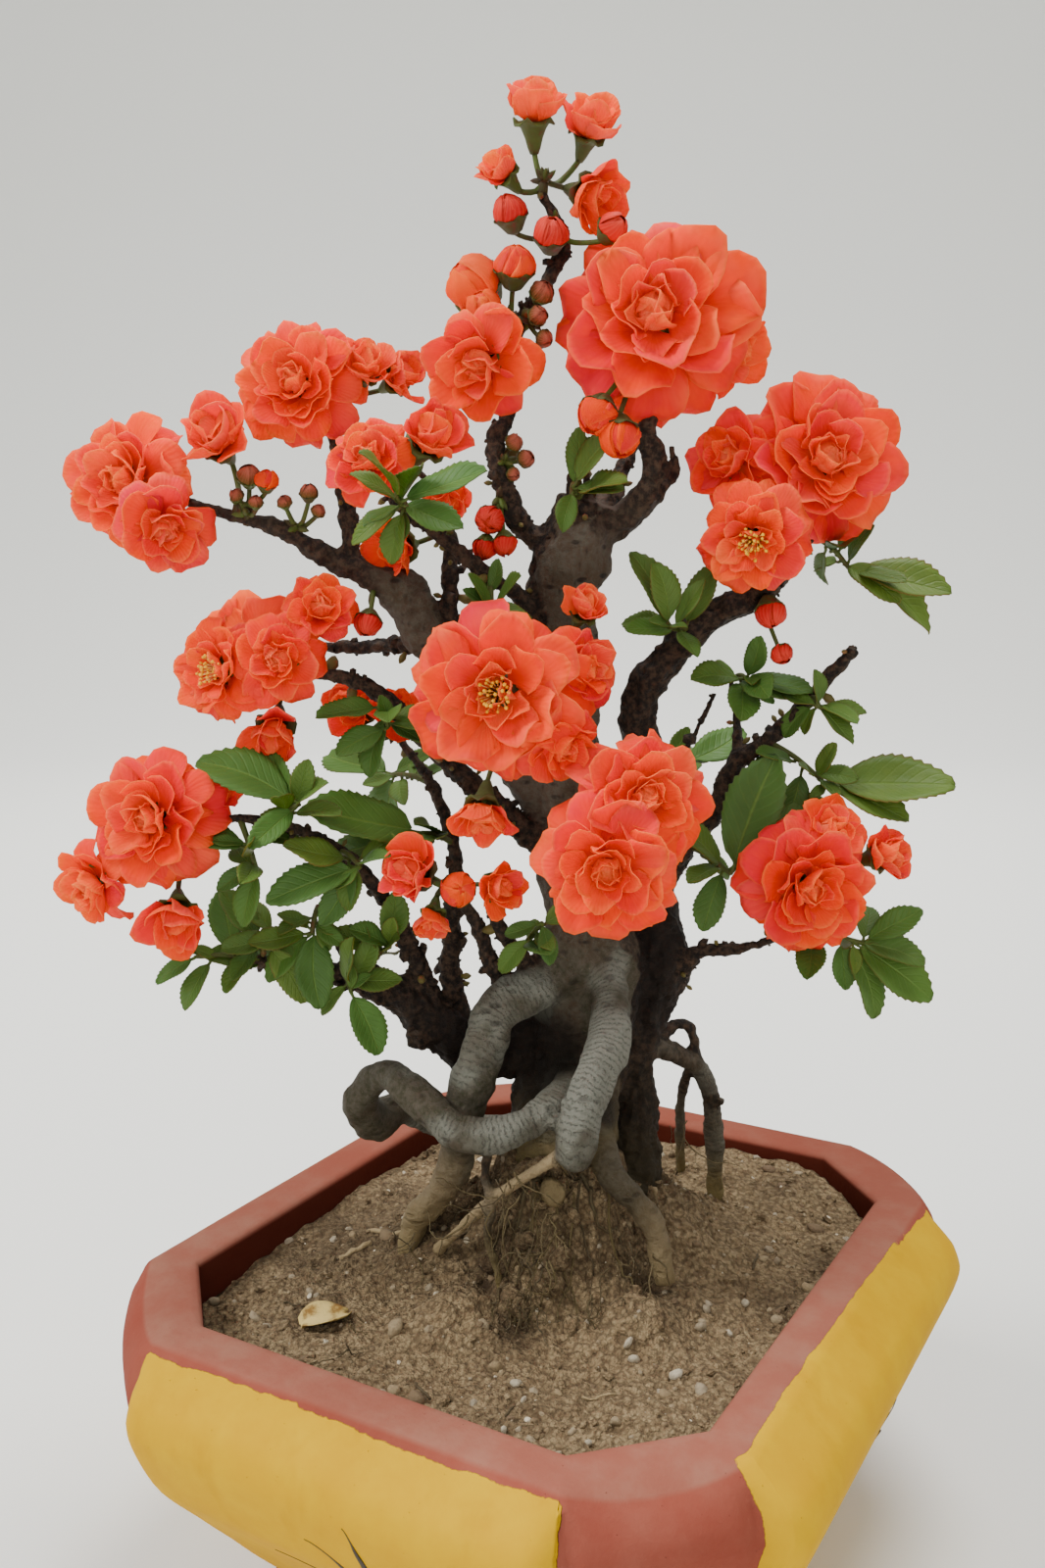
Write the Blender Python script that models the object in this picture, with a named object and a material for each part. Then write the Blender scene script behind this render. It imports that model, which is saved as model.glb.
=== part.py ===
"""A flowering quince bonsai in its pot: pot, soil, roots and branches, blooms, buds and leaves."""

import math

import bmesh
import bpy
from mathutils import Matrix, Vector

MM = 0.001
OBJECT_NAME = "flowering_quince_bonsai"

# Pot, in millimetres. Its front side faces -Y and the origin is the middle of its flat foot.
POT_HEIGHT = 120.0
RIM_HALF_X = 117.0
RIM_HALF_Y = 135.0
RIM_WIDTH = 17.0
RIM_CORNER_CUT = 41.0
CORNER_CUT_TAPER = 0.6
CORNER_SHARES = (0.0, 0.3, 0.7, 1.0)
SWELL_EDGE = 6.0
FLOOR_HEIGHT = 14.0
DRAIN_RADIUS = 6.0
DRAIN_SPACING = 64.0
# Outside of the pot's wall: how far out from the rim's edge, how high, and how far the corners and
# the sides swell out there.
POT_OUTSIDE = (
    (-46, 0, 6, 0), (-44, 14, 5, 0), (-20, 42, 1, 1.5), (-9, 58, 1, 4), (1, 74, 1, 7), (7, 92, 1, 9),
    (7.8, 102, 1.5, 10), (4.6, 113, 3, 6.5), (-1, POT_HEIGHT, 4, 0),
)
# Inside of the wall: how far out from the rim's edge, and how high.
POT_INSIDE = (
    (-RIM_WIDTH, POT_HEIGHT), (-RIM_WIDTH - 0.5, 103), (-RIM_WIDTH - 9, 60), (-RIM_WIDTH - 24, 42),
    (-RIM_WIDTH - 44, FLOOR_HEIGHT),
)

# Soil
SOIL_EDGE_HEIGHT = 106.0
SOIL_GAP = 0.35
SOIL_RINGS = (0.85, 0.71, 0.6, 0.5, 0.41, 0.32, 0.22, 0.11)
# Mounds on the soil: middle across, middle away, height, half width across, half width away.
SOIL_MOUNDS = (
    (0, 0, 10, 66, 66), (-30, 0, 20, 17, 20), (32, 6, 24, 20, 22), (28, -58, 8, 9, 9), (-33, -52, 9, 10, 9),
)
ROOT_BALL = (1, -18, 36, 25, 28)
ROOT_BALL_STEEPNESS = 7.0

# The tree's own frame lies turned on the pot, with x across, y away and z up.
TREE_TURN = math.radians(29.9)
FIT_GAP = 0.35

# Branch and bloom places are read off a front view: across and down in points, and depth in mm.
VIEW_FOCAL = 1421.0
VIEW_MIDDLE = (533.0, 800.0)
VIEW_TILT = math.radians(8.728)
VIEW_FROM = Vector((-11.6, -502.4, 370.0))

# Routes: name, sides, then across, down, depth and thickness in mm for each point.
ROOTS = (
    ("root_core", 8, ((605, 930, 6, 28), (604, 985, 7, 42), (590, 1060, 7, 38), (580, 1120, 2, 40),
                       (575, 1180, -10, 38), (572, 1250, -16, 36))),
    ("leg_left", 7, ((578, 980, -2, 22), (558, 1000, -10, 18), (508, 1032, -18, 17), (497, 1060, -24, 16.5),
                     (486, 1094, -28, 16), (477, 1128, -28, 15), (470, 1160, -26, 13), (461, 1192, -22, 11.5),
                     (449, 1215, -18, 10.5), (424, 1248, -12, 10), (414, 1290, -8, 8))),
    ("root_loop", 6, ((560, 1146, 4, 9), (460, 1150, 20, 9.5), (412, 1134, 14, 11), (382, 1146, 4, 14.5),
                      (367, 1127, -8, 13), (378, 1105, -14, 11.5), (398, 1098, -22, 11.5),
                      (424, 1116, -30, 12.5), (452, 1145, -39, 12.5), (486, 1158, -44, 13),
                      (520, 1156, -44, 13), (548, 1142, -41, 12.5), (572, 1122, -28, 12),
                      (585, 1095, -8, 12))),
    ("leg_right", 7, ((600, 980, -5, 19), (620, 1012, -14, 15), (623, 1055, -30, 14.5), (609, 1100, -42, 15),
                      (593, 1139, -49, 15.5), (584, 1170, -51, 15), (583, 1186, -50, 11))),
    ("outer_root", 5, ((655, 1062, 16, 8.5), (671, 1069, 18, 8), (699, 1080, 24, 7.5), (716, 1094, 29, 7.5),
                       (725, 1122, 32, 7.5), (729, 1172, 36, 7.5), (729, 1240, 40, 6.5))),
    ("outer_root_stub", 4, ((722, 1124, 31, 4.5), (739, 1124, 26, 3.5))),
    ("thin_root", 4, ((704, 1084, 28, 4.5), (694, 1130, 47, 4.5), (695, 1205, 66, 4.5))),
    ("arc_root", 4, ((666, 1064, 18, 4.5), (688, 1046, 24, 4.5), (702, 1047, 25, 4.5), (709, 1066, 27, 4),
                     (713, 1094, 29, 3.5))),
    ("pale_root", 4, ((576, 1176, -46, 4), (508, 1220, -40, 3.5), (446, 1276, -18, 3.5))),
    ("low_root", 6, ((602, 1130, -8, 12), (621, 1195, -36, 9.5), (649, 1223, -40, 9), (668, 1251, -42, 9),
                     (678, 1310, -44, 8.5))),
    ("middle_root", 4, ((503, 1160, -42, 5), (496, 1225, -44, 4), (512, 1330, -46, 3))),
)
TRUNKS = (
    ("centre_trunk", 8, ((588, 1000, 0, 30), (592, 930, 2, 27), (585, 850, 4, 25.5), (578, 760, 4, 25),
                         (575, 680, 2, 25), (575, 600, 0, 24.5), (587, 560, 0, 27), (602, 512, 0, 23.5))),
    ("dark_trunk", 7, ((650, 1225, 5, 22), (648, 1158, 12, 18), (649, 1060, 14, 15.5), (672, 990, 12, 21),
                       (668, 920, 16, 16.5), (662, 850, 18, 15), (658, 780, 16, 13.5), (652, 715, 10, 13),
                       (706, 646, 2, 12), (773, 603, -4, 10.5), (812, 560, -2, 8), (840, 505, 4, 4.5))),
    ("upper_left_limb", 7, ((560, 830, 6, 15.5), (505, 745, 6, 16.5), (440, 650, 4, 16.5), (405, 602, 0, 15),
                            (375, 588, -2, 10), (330, 567, -4, 7), (288, 540, -6, 6.5), (240, 528, -8, 4.5),
                            (204, 516, -8, 3.5), (168, 505, -4, 3))),
    ("low_left_limb", 7, ((570, 1060, 12, 22), (500, 1068, 6, 21), (452, 1049, 0, 19), (410, 1018, -6, 15),
                          (368, 996, -10, 11), (346, 995, -12, 9), (317, 990, -14, 6.5), (280, 984, -17, 5),
                          (242, 975, -20, 3.5))),
    ("low_left_stub", 6, ((440, 1046, -2, 9.5), (421, 1064, -12, 8.5))),
    ("right_limb", 5, ((668, 915, 16, 10.5), (700, 862, 14, 9), (730, 825, 10, 8), (750, 779, 6, 7),
                       (783, 756, 2, 6.5), (826, 712, -4, 5.5), (872, 661, -8, 5))),
    ("low_right_limb", 5, ((668, 1012, 14, 13), (690, 1000, 10, 9.5), (706, 974, 4, 6), (750, 968, -6, 4.5),
                           (785, 960, -14, 4), (812, 945, -18, 3))),
)
BRANCHES = (
    ("crown_branch", 5, ((600, 545, 0, 18), (637, 528, -2, 12), (669, 488, -6, 10.5), (667, 461, -8, 8.5),
                         (661, 442, -10, 7), (668, 400, -8, 5), (675, 350, 0, 3.5))),
    ("crown_twig", 4, ((668, 500, -6, 5.5), (690, 485, -4, 3.5), (684, 455, -2, 2.5))),
    ("top_branch", 5, ((570, 570, 2, 12), (546, 549, 0, 8.5), (525, 528, -2, 8), (509, 477, -4, 7),
                       (506, 448, -4, 6.5), (519, 418, -4, 6.5), (528, 341, -2, 6), (550, 300, 0, 5.5),
                       (567, 272, 0, 5.5), (576, 246, 0, 5), (566, 222, 0, 4.5), (551, 196, 0, 3.5))),
    ("snag_left", 4, ((586, 525, -9, 3.5), (580, 505, -9, 3), (582, 480, -10, 2.5))),
    ("snag_right", 4, ((606, 520, -6, 3.5), (598, 488, -6, 3), (608, 446, -6, 2.5))),
    ("red_branch", 5, ((560, 660, 0, 8), (530, 610, -8, 6.5), (500, 588, -14, 6), (455, 552, -20, 5.5),
                       (414, 522, -24, 5), (392, 497, -24, 3))),
    ("left_upright", 5, ((360, 588, -3, 7), (354, 516, -4, 6.5), (345, 470, -4, 5.5), (338, 435, -4, 4),
                         (318, 402, 0, 3))),
    ("middle_upright", 4, ((459, 650, 4, 7), (459, 600, 4, 6.5), (459, 546, 6, 5.5), (446, 505, 8, 3.5),
                           (425, 478, 8, 3))),
    ("lower_left_branch", 5, ((575, 880, 2, 10.5), (520, 835, -2, 9), (470, 790, -6, 8), (430, 750, -8, 7),
                              (388, 710, -10, 6.5), (345, 690, -12, 5), (290, 688, -8, 3))),
    ("low_left_twig", 4, ((363, 993, -10, 5), (340, 952, -14, 4), (325, 925, -16, 3))),
    ("left_stem", 5, ((444, 1028, -2, 8.5), (420, 970, -6, 7), (393, 920, -12, 6.5), (360, 880, -20, 5),
                      (310, 850, -28, 4.5), (250, 835, -32, 3.5), (200, 840, -30, 3))),
    ("rear_stem", 5, ((464, 1050, 4, 10), (460, 970, 4, 8.5), (463, 920, 2, 7), (462, 860, 2, 5.5),
                      (440, 800, 8, 4.5), (408, 755, 18, 3))),
    ("short_stem", 4, ((520, 1010, -4, 8), (500, 980, -12, 6.5), (480, 931, -22, 5), (452, 902, -28, 3))),
    ("middle_stem", 4, ((550, 985, -6, 8.5), (530, 975, -14, 6.5), (503, 934, -26, 5), (500, 895, -32, 3))),
    ("heart_spur", 4, ((578, 770, 0, 8), (545, 738, -25, 5.5), (520, 718, -40, 4.5))),
    ("front_spur", 4, ((592, 930, 0, 8.5), (608, 908, -28, 5.5), (618, 892, -46, 4))),
    ("right_twig", 4, ((750, 785, 6, 5), (752, 740, 10, 4), (746, 694, 14, 3))),
    ("thin_twig", 4, ((668, 805, 14, 3.5), (700, 765, 12, 3), (730, 706, 12, 2.5))),
    ("rear_high_branch", 4, ((600, 540, 4, 10), (640, 470, 22, 6), (668, 380, 30, 4), (672, 345, 34, 3))),
    ("rear_middle_branch", 4, ((578, 740, 6, 9), (555, 705, 28, 6), (535, 690, 46, 4))),
    ("rear_low_branch", 4, ((664, 900, 18, 9), (655, 868, 40, 6), (650, 848, 56, 4))),
    ("rear_left_branch", 4, ((440, 655, 8, 8), (370, 660, 22, 5.5), (300, 660, 26, 3.5))),
)

# Bloom shapes: rings of petals, each with how many, reach by the bloom's radius, rise in degrees and
# whether its petals have rounded tips.
PETAL_THICKNESS = 0.8
# A petal's outline: turn by a petal's share of the ring, and reach by the ring's.
ROUND_PETAL = ((-0.41, 0.83), (0, 1.0), (0.41, 0.83))
PLAIN_PETAL = ((-0.36, 0.92), (0.36, 0.92))
RING_FOOT = 0.46
PETAL_UNEVENNESS = 0.06
FULL = "full"
OPEN = "open"
CUP = "cup"
SMALL = "small"
BUD = "bud"
PETAL_RINGS = {
    FULL: ((5, 1.0, 10, True), (5, 0.84, 38, False), (3, 0.66, 64, False)),
    OPEN: ((5, 1.0, 10, True), (5, 0.8, 32, False)),
    CUP: ((5, 1.0, 28, False), (3, 0.8, 60, False)),
    SMALL: ((5, 1.0, 42, False),),
}
PETAL_UNEVENNESS_TURN = 2.4
RING_TURN = 0.6
RING_RISE = 0.1
LEAST_RING_RISE = 1.4
HEART_TOP = 1.6
BASE_BEHIND = {FULL: 0.3, OPEN: 0.22, CUP: 0.34, SMALL: 0.4, BUD: 0.75}
# A bud's sections: height and width by its radius, and turn.
BUD_RINGS = ((-0.05, 0.35, 0.0), (0.5, 0.97, 0.1), (1.15, 0.85, 0.35), (1.75, 0.22, 0.8))
# A bud has a step where each of its petals ends: the widths at either side of it.
BUD_STEPS = (1.0, 0.84)
BUD_SIDES = 6
BUD_STALK_RISE = 0.12
STALK_SHARE = 0.32
STALK_RADIUS = 1.9
PEDICEL_RADIUS = 1.3
STALK_SIDES = 4
PEDICEL_SIDES = 3

# Blooms: where they leave the wood, then across, down, depth, radius in mm, facing across and up, shape.
BLOOM_GROUPS = (
    ("blooms_top", (551, 196, 0), (
        (544, 112, -2, 11.5, -5, 70, SMALL), (602, 128, 2, 10.5, 25, 50, SMALL),
        (511, 173, -8, 8.5, -50, 35, SMALL),
        (606, 200, -6, 12, 45, -20, SMALL))),
    ("blooms_upper_left", (530, 330, -2), (
        (482, 287, -6, 10, -40, 25, BUD), (525, 270, -12, 7, 10, 60, BUD), (493, 312, -14, 6, -20, 30, BUD),
        (487, 372, -24, 19, -20, -25, CUP))),
    ("blooms_crown", (675, 350, 0), (
        (668, 318, -24, 34, -5, 5, FULL), (748, 352, -6, 17.5, 50, -15, CUP),
        (609, 425, -30, 7, -30, -50, BUD),
        (632, 447, -30, 7, 0, -60, BUD))),
    ("blooms_right_top", (840, 505, 4), (
        (848, 468, -16, 29.5, 8, 5, FULL), (768, 552, -28, 19.5, -15, -15, OPEN),
        (744, 470, -8, 17.5, -45, 10, CUP))),
    ("blooms_far_left", (168, 505, -4), (
        (122, 490, -14, 24, -25, 8, FULL), (168, 540, -26, 16.5, 15, -20, CUP))),
    ("bloom_left_ridge", (240, 528, -8), (
        (222, 447, -16, 12.5, -10, 30, SMALL), (272, 490, -18, 4, 20, 60, BUD))),
    ("blooms_left_high", (318, 402, 0), (
        (300, 388, -14, 22, -12, 10, FULL), (372, 374, -6, 9.5, 20, 40, SMALL),
        (408, 384, -2, 9.5, 45, 20, SMALL))),
    ("blooms_left_middle", (392, 497, -24), (
        (375, 468, -36, 14.5, -10, 15, CUP), (440, 446, -34, 11.5, 35, 35, SMALL))),
    ("blooms_middle_back", (459, 546, 6), (
        (405, 560, 0, 10.5, -30, -10, SMALL), (456, 516, -4, 9.5, 10, 10, SMALL))),
    ("blooms_left_low", (290, 688, -8), (
        (219, 684, -24, 19, -30, 5, OPEN), (284, 674, -32, 15, 5, 5, CUP), (328, 618, -18, 13.5, 20, 30, CUP),
        (280, 748, -22, 12, 0, -35, SMALL))),
    ("blooms_heart", (520, 718, -40), (
        (505, 708, -60, 31, -8, 3, OPEN), (598, 682, -46, 14, 40, 10, CUP), (572, 764, -58, 14, 25, -30, CUP),
        (597, 620, -36, 8.5, 30, 45, SMALL), (492, 832, -46, 11, -10, -50, SMALL))),
    ("blooms_front", (618, 892, -46), (
        (660, 816, -68, 22.5, 12, 12, FULL), (618, 890, -78, 23.5, -8, -5, FULL))),
    ("blooms_low_middle", (452, 902, -28), (
        (421, 888, -40, 11.5, -25, 20, SMALL), (468, 908, -44, 6, 10, 10, BUD),
        (441, 938, -38, 7.5, -10, -45, SMALL),
        (508, 906, -40, 9, 30, 5, SMALL))),
    ("blooms_low_left", (200, 840, -30), (
        (150, 836, -44, 23.5, -12, 10, FULL), (180, 938, -40, 12.5, 10, -30, SMALL),
        (92, 905, -40, 14.5, -35, -15, CUP), (222, 812, -26, 8, 20, 40, SMALL))),
    ("blooms_behind_left", (408, 755, 18), (
        (362, 722, 14, 12, -20, 10, SMALL), (408, 730, 8, 10.5, 15, 20, SMALL))),
    ("blooms_right_low", (812, 945, -18), (
        (826, 908, -36, 24.5, 5, 0, FULL), (848, 846, -26, 14, 15, 40, CUP),
        (903, 872, -20, 10, 55, 20, SMALL))),
    ("blooms_rear_high", (672, 345, 34), ((680, 330, 50, 22, 170, 10, OPEN),)),
    ("blooms_rear_middle", (535, 690, 46), (
        (505, 700, 62, 23, 190, 5, CUP),)),
    ("blooms_rear_low", (650, 848, 56), (
        (640, 835, 76, 23, 175, 0, OPEN),)),
    ("blooms_rear_left", (300, 660, 26), ((262, 655, 40, 20, 200, 10, CUP),)),
)
BUD_GROUPS = (
    ("buds_top", (566, 222, 0), (
        (520, 216, -8, 6, -30, 60, BUD), (562, 238, -12, 6, 0, 50, BUD), (626, 232, -16, 5.5, 40, 30, BUD))),
    ("buds_middle", (512, 492, -4), (
        (499, 531, -12, 5, -10, -20, BUD), (494, 560, -10, 4.5, -20, -60, BUD),
        (515, 556, -12, 4.5, 10, -60, BUD))),
    ("bud_limb", (383, 592, -2), ((375, 637, -14, 5, -10, -50, BUD),)),
    ("buds_right", (773, 603, -4), ((786, 626, -14, 5.5, 10, -60, BUD), (798, 668, -10, 4, 10, -30, BUD))),
)

# Leaves, by size 1 = LEAF_LENGTH: where the shoot leaves the wood, where it ends, and each leaf's tip.
LEAF_LENGTH = 38.0
LEAF_WIDTH_RATIO = 0.52
LEAF_THICKNESS = 0.8
LEAST_PETIOLE = 0.1
LEAF_STEP = 2.1
PETIOLE_RADIUS = 0.7
# Which way a blade's upper face looks, where the first number swings from leaf to leaf.
LEAF_FACE = (0.35, -0.7, 0.75)
RIB_PAST_NOTCH = 0.04
LEAF_CUP = 0.1
LEAF_DROOP = 0.12
SHOOT_RADIUS = 1.2
LARGE_LEAF = 0.95
# Half outline of a blade: how far along it, and how wide. Each pair is a tooth and its notch.
LARGE_EDGE = ((0.2, 0.66), (0.25, 0.6), (0.47, 1.0), (0.53, 0.88), (0.75, 0.74), (0.8, 0.58))
SMALL_EDGE = ((0.3, 0.84), (0.36, 0.76), (0.64, 0.92), (0.7, 0.74))
LEAF_SPRAYS = (
    ("leaves_low_left_front", (345, 868, -22), (368, 884, -34), ((271, 915, -46, 1.0), (326, 943, -40, 0.8))),
    ("leaves_left_large", (462, 860, 2), (430, 850, -16), ((318, 817, -36, 1.1), (325, 868, -14, 0.7))),
    ("leaves_left_stem", (280, 843, -30), (306, 820, -34), (
        (201, 773, -34, 1.0), (254, 863, -48, 0.8), (277, 768, -26, 0.6))),
    ("leaves_left_lower", (245, 836, -32), (262, 888, -36), ((245, 945, -42, 0.8), (222, 905, -44, 0.6))),
    ("leaves_limb_end", (250, 977, -19), (280, 955, -24), ((225, 967, -30, 0.8),)),
    ("leaves_low_twig", (325, 925, -16), (318, 952, -22), (
        (268, 998, -28, 0.9), (328, 1028, -32, 1.0), (350, 962, -26, 0.6))),
    ("leaves_low_stub", (352, 994, -11), (358, 1012, -24), ((388, 1076, -30, 1.0),)),
    ("leaf_low_twig_side", (376, 985, -9), (398, 966, -18), ((358, 946, -26, 0.8),)),
    ("leaf_under_bloom", (262, 980, -18), (200, 976, -26), ((158, 1002, -30, 0.7),)),
    ("leaf_cut_top", (592, 512, -8), (584, 498, -16), ((636, 496, -22, 0.9),)),
    ("leaves_red_branch", (414, 522, -24), (408, 512, -46), (
        (490, 472, -58, 1.1), (424, 466, -60, 0.8), (470, 534, -52, 0.9))),
    ("leaf_crotch", (500, 588, -14), (502, 630, -20), ((478, 600, -26, 0.7),)),
    ("leaves_left_inner", (388, 710, -10), (396, 742, -20), (
        (343, 768, -30, 0.8), (432, 752, -24, 0.8), (372, 790, -24, 0.7))),
    ("leaf_trunk_front", (530, 975, -14), (553, 942, -34), ((562, 984, -42, 0.8),)),
    ("leaves_right_crotch", (706, 646, 2), (682, 640, -12), (
        (672, 576, -20, 1.0), (650, 560, -8, 0.7), (712, 590, -16, 0.8), (640, 640, -16, 0.7))),
    ("leaves_right_twig", (746, 694, 14), (762, 692, 0), (
        (774, 650, -8, 0.9), (828, 700, -12, 1.1), (790, 716, -2, 0.9))),
    ("leaves_far_right", (828, 545, 2), (868, 582, 8), (
        (972, 598, -2, 1.0), (958, 635, 4, 0.8), (919, 612, -4, 0.6))),
    ("leaves_cut_limb", (826, 712, -4), (836, 722, -12), ((884, 726, -14, 0.7), (873, 754, -18, 0.9))),
    ("leaves_right_middle", (783, 756, 2), (842, 800, -2), (
        (975, 797, -10, 1.3), (930, 826, -14, 0.8), (850, 758, -8, 0.7), (816, 780, -12, 0.7))),
    ("leaves_right_dark", (700, 862, 14), (745, 892, -6), (
        (790, 772, -16, 1.3), (838, 812, -8, 1.3), (716, 948, -14, 0.9))),
    ("leaves_right_low", (800, 952, -16), (880, 962, -12), (
        (938, 926, -16, 0.8), (945, 980, -20, 0.9), (956, 1016, -22, 1.0), (902, 1036, -22, 0.9),
        (864, 1010, -18, 0.6))),
    ("leaves_rear_left", (440, 800, 8), (400, 790, 40), ((330, 760, 60, 1.0), (380, 850, 58, 1.0))),
    ("leaves_rear_right", (668, 800, 16), (700, 780, 44), ((760, 740, 58, 1.0), (720, 860, 66, 1.0))),
)

# Stamens: the bloom group and which of its blooms, and the tuft's size by the bloom's radius.
STAMEN_BLOOMS = (("stamens_heart", "blooms_heart", 0), ("stamens_left_low", "blooms_left_low", 0),
                 ("stamens_right_top", "blooms_right_top", 1))
STAMEN_COUNT = 5
STAMEN_RADIUS = 0.6
STAMEN_FOOT = 1.6
STAMEN_GAP = 0.8
STAMEN_SPREAD = 0.2
STAMEN_LENGTH = 0.24
GOLDEN_TURN = math.radians(137.5)
# The start of the frames along a route: any way that no route runs.
FIRST_ACROSS = Vector((0.31, 0.17, 0.05))
# Keeps a flat corner cut parallel to itself as the outline grows.
FLAT_CUT_TAPER = 2 - math.sqrt(2)
FLAT_ENOUGH = math.radians(0.8)
WELD_METRES = 2e-6


def clear_scene():
    """Removes every object that the file starts with."""
    for obj in list(bpy.data.objects):
        bpy.data.objects.remove(obj)


def new_collection(name):
    collection = bpy.data.collections.new(name)
    bpy.context.scene.collection.children.link(collection)
    return collection


def new_material(name, colour, roughness, metallic=0.0):
    material = bpy.data.materials.new(name)
    material.use_nodes = True
    shader = material.node_tree.nodes["Principled BSDF"]
    shader.inputs["Base Color"].default_value = (*colour, 1.0)
    shader.inputs["Roughness"].default_value = roughness
    shader.inputs["Metallic"].default_value = metallic
    return material


def spot(across, down, depth):
    """The place, in the tree's own frame in mm, that the front view shows at this point and depth."""
    x = across - VIEW_MIDDLE[0]
    y = down - VIEW_MIDDLE[1]
    ahead = VIEW_FOCAL * math.cos(VIEW_TILT) - y * math.sin(VIEW_TILT)
    rise = -y * math.cos(VIEW_TILT) - VIEW_FOCAL * math.sin(VIEW_TILT)
    return VIEW_FROM + Vector((x, ahead, rise)) * ((depth - VIEW_FROM.y) / ahead)


def on_pot(place):
    """A place in the tree's own frame in mm, as metres in the pot's frame."""
    return Matrix.Rotation(TREE_TURN, 3, "Z") @ Vector(place) * MM


def facing(across, up):
    """The direction, in the tree's frame, turned from the front view by these degrees."""
    turn = math.radians(across)
    rise = math.radians(up)
    return Vector((math.sin(turn) * math.cos(rise), -math.cos(turn) * math.cos(rise), math.sin(rise)))


def object_from_bmesh(name, shape, collection):
    """A new object from the bmesh, which is freed."""
    bmesh.ops.recalc_face_normals(shape, faces=shape.faces)
    mesh = bpy.data.meshes.new(name)
    shape.to_mesh(mesh)
    shape.free()
    obj = bpy.data.objects.new(name, mesh)
    collection.objects.link(obj)
    return obj


def loft(rings):
    """A closed bmesh through rings of equally many points, with a flat face on the first and last."""
    shape = bmesh.new()
    loops = [[shape.verts.new(point) for point in ring] for ring in rings]
    for lower, upper in zip(loops, loops[1:]):
        for i in range(len(lower)):
            j = (i + 1) % len(lower)
            shape.faces.new((lower[i], lower[j], upper[j], upper[i]))
    shape.faces.new(loops[0])
    shape.faces.new(loops[-1])
    return shape


def section_frames(places):
    """A pair of crosswise directions at each place of a route, turning as little as they can."""
    frames = []
    across = FIRST_ACROSS.copy()
    for i, place in enumerate(places):
        before = places[max(i - 1, 0)]
        after = places[min(i + 1, len(places) - 1)]
        along = (after - before).normalized()
        across = (across - along * across.dot(along)).normalized()
        frames.append((across.copy(), along.cross(across)))
    return frames


def route_tube(name, sides, points, swell, collection):
    """A tube of this many sides with its own thickness at each point, as unlike sections need."""
    places = [Vector(place) for place, thickness in points]
    places[0] += (places[0] - places[1]).normalized() * swell
    places[-1] += (places[-1] - places[-2]).normalized() * swell
    rings = []
    for place, (side, other), (_, thickness) in zip(places, section_frames(places), points):
        radius = thickness / 2 + swell
        turns = [2 * math.pi * k / sides for k in range(sides)]
        rings.append([on_pot(place + (side * math.cos(t) + other * math.sin(t)) * radius) for t in turns])
    return object_from_bmesh(name, loft(rings), collection)


def stick(name, start, end, radius, sides, collection):
    """A straight closed rod between two places in mm."""
    start = on_pot(start)
    end = on_pot(end)
    shape = bmesh.new()
    length = (end - start).length
    bmesh.ops.create_cone(shape, cap_ends=True, segments=sides, radius1=radius * MM, radius2=radius * MM,
                          depth=length)
    turn = (end - start).to_track_quat("Z", "Y").to_matrix().to_4x4()
    bmesh.ops.transform(shape, verts=shape.verts, matrix=Matrix.Translation((start + end) / 2) @ turn)
    return object_from_bmesh(name, shape, collection)


def placing(base, axis, roll):
    """The matrix, from mm round an upright axis to metres on the pot, of a bloom that faces along axis."""
    upright = axis.to_track_quat("Z", "Y").to_matrix().to_4x4()
    turned = Matrix.Translation(base) @ upright @ Matrix.Rotation(roll, 4, "Z")
    return Matrix.Scale(MM, 4) @ Matrix.Rotation(TREE_TURN, 4, "Z") @ turned


def thick_sheet(name, points, faces, thickness, matrix, collection):
    """A closed blade: the sheet, in mm, given its thickness and then placed by the matrix."""
    shape = bmesh.new()
    verts = [shape.verts.new(point) for point in points]
    for face in faces:
        shape.faces.new([verts[i] for i in face])
    bmesh.ops.recalc_face_normals(shape, faces=shape.faces)
    bmesh.ops.solidify(shape, geom=shape.faces[:], thickness=thickness)
    bmesh.ops.transform(shape, verts=shape.verts, matrix=matrix)
    return object_from_bmesh(name, shape, collection)


def petal_ring(count, reach, rise, rounded, radius, seed):
    """Points and faces of one ring of petals round +Z, joined at their flat foot and parted by notches."""
    lift = math.radians(rise)
    foot = RING_FOOT * reach * radius
    step = 2 * math.pi / count
    outline = ROUND_PETAL if rounded else PLAIN_PETAL
    points = []
    for k in range(count):
        size = reach * radius * (1 + PETAL_UNEVENNESS * math.sin(seed + PETAL_UNEVENNESS_TURN * k))
        points.append(above_foot((k - 0.5) * step, foot, foot, lift))
        points.extend(above_foot((k + turn) * step, out * size, foot, lift) for turn, out in outline)
    per_petal = len(outline) + 1
    total = count * per_petal
    faces = [[per_petal * k for k in range(count)]]
    for k in range(count):
        faces.append([(k * per_petal + i) % total for i in range(per_petal + 1)])
    return points, faces


def above_foot(turn, reach, foot, lift):
    """A place at this turn round +Z, on the cone that rises from the edge of the foot."""
    out = foot + (reach - foot) * math.cos(lift)
    return (out * math.cos(turn), out * math.sin(turn), (reach - foot) * math.sin(lift))


def bud_shape(radius):
    """Three petals wrapped over each other, as a loft whose rings step at each petal's edge."""
    rings = []
    for height, reach, turn in BUD_RINGS:
        ring = []
        for k in range(BUD_SIDES):
            angle = 2 * math.pi * k / BUD_SIDES + turn
            size = radius * reach * BUD_STEPS[k % 2]
            ring.append((size * math.cos(angle), size * math.sin(angle), radius * height))
        rings.append(ring)
    return loft(rings)


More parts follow.
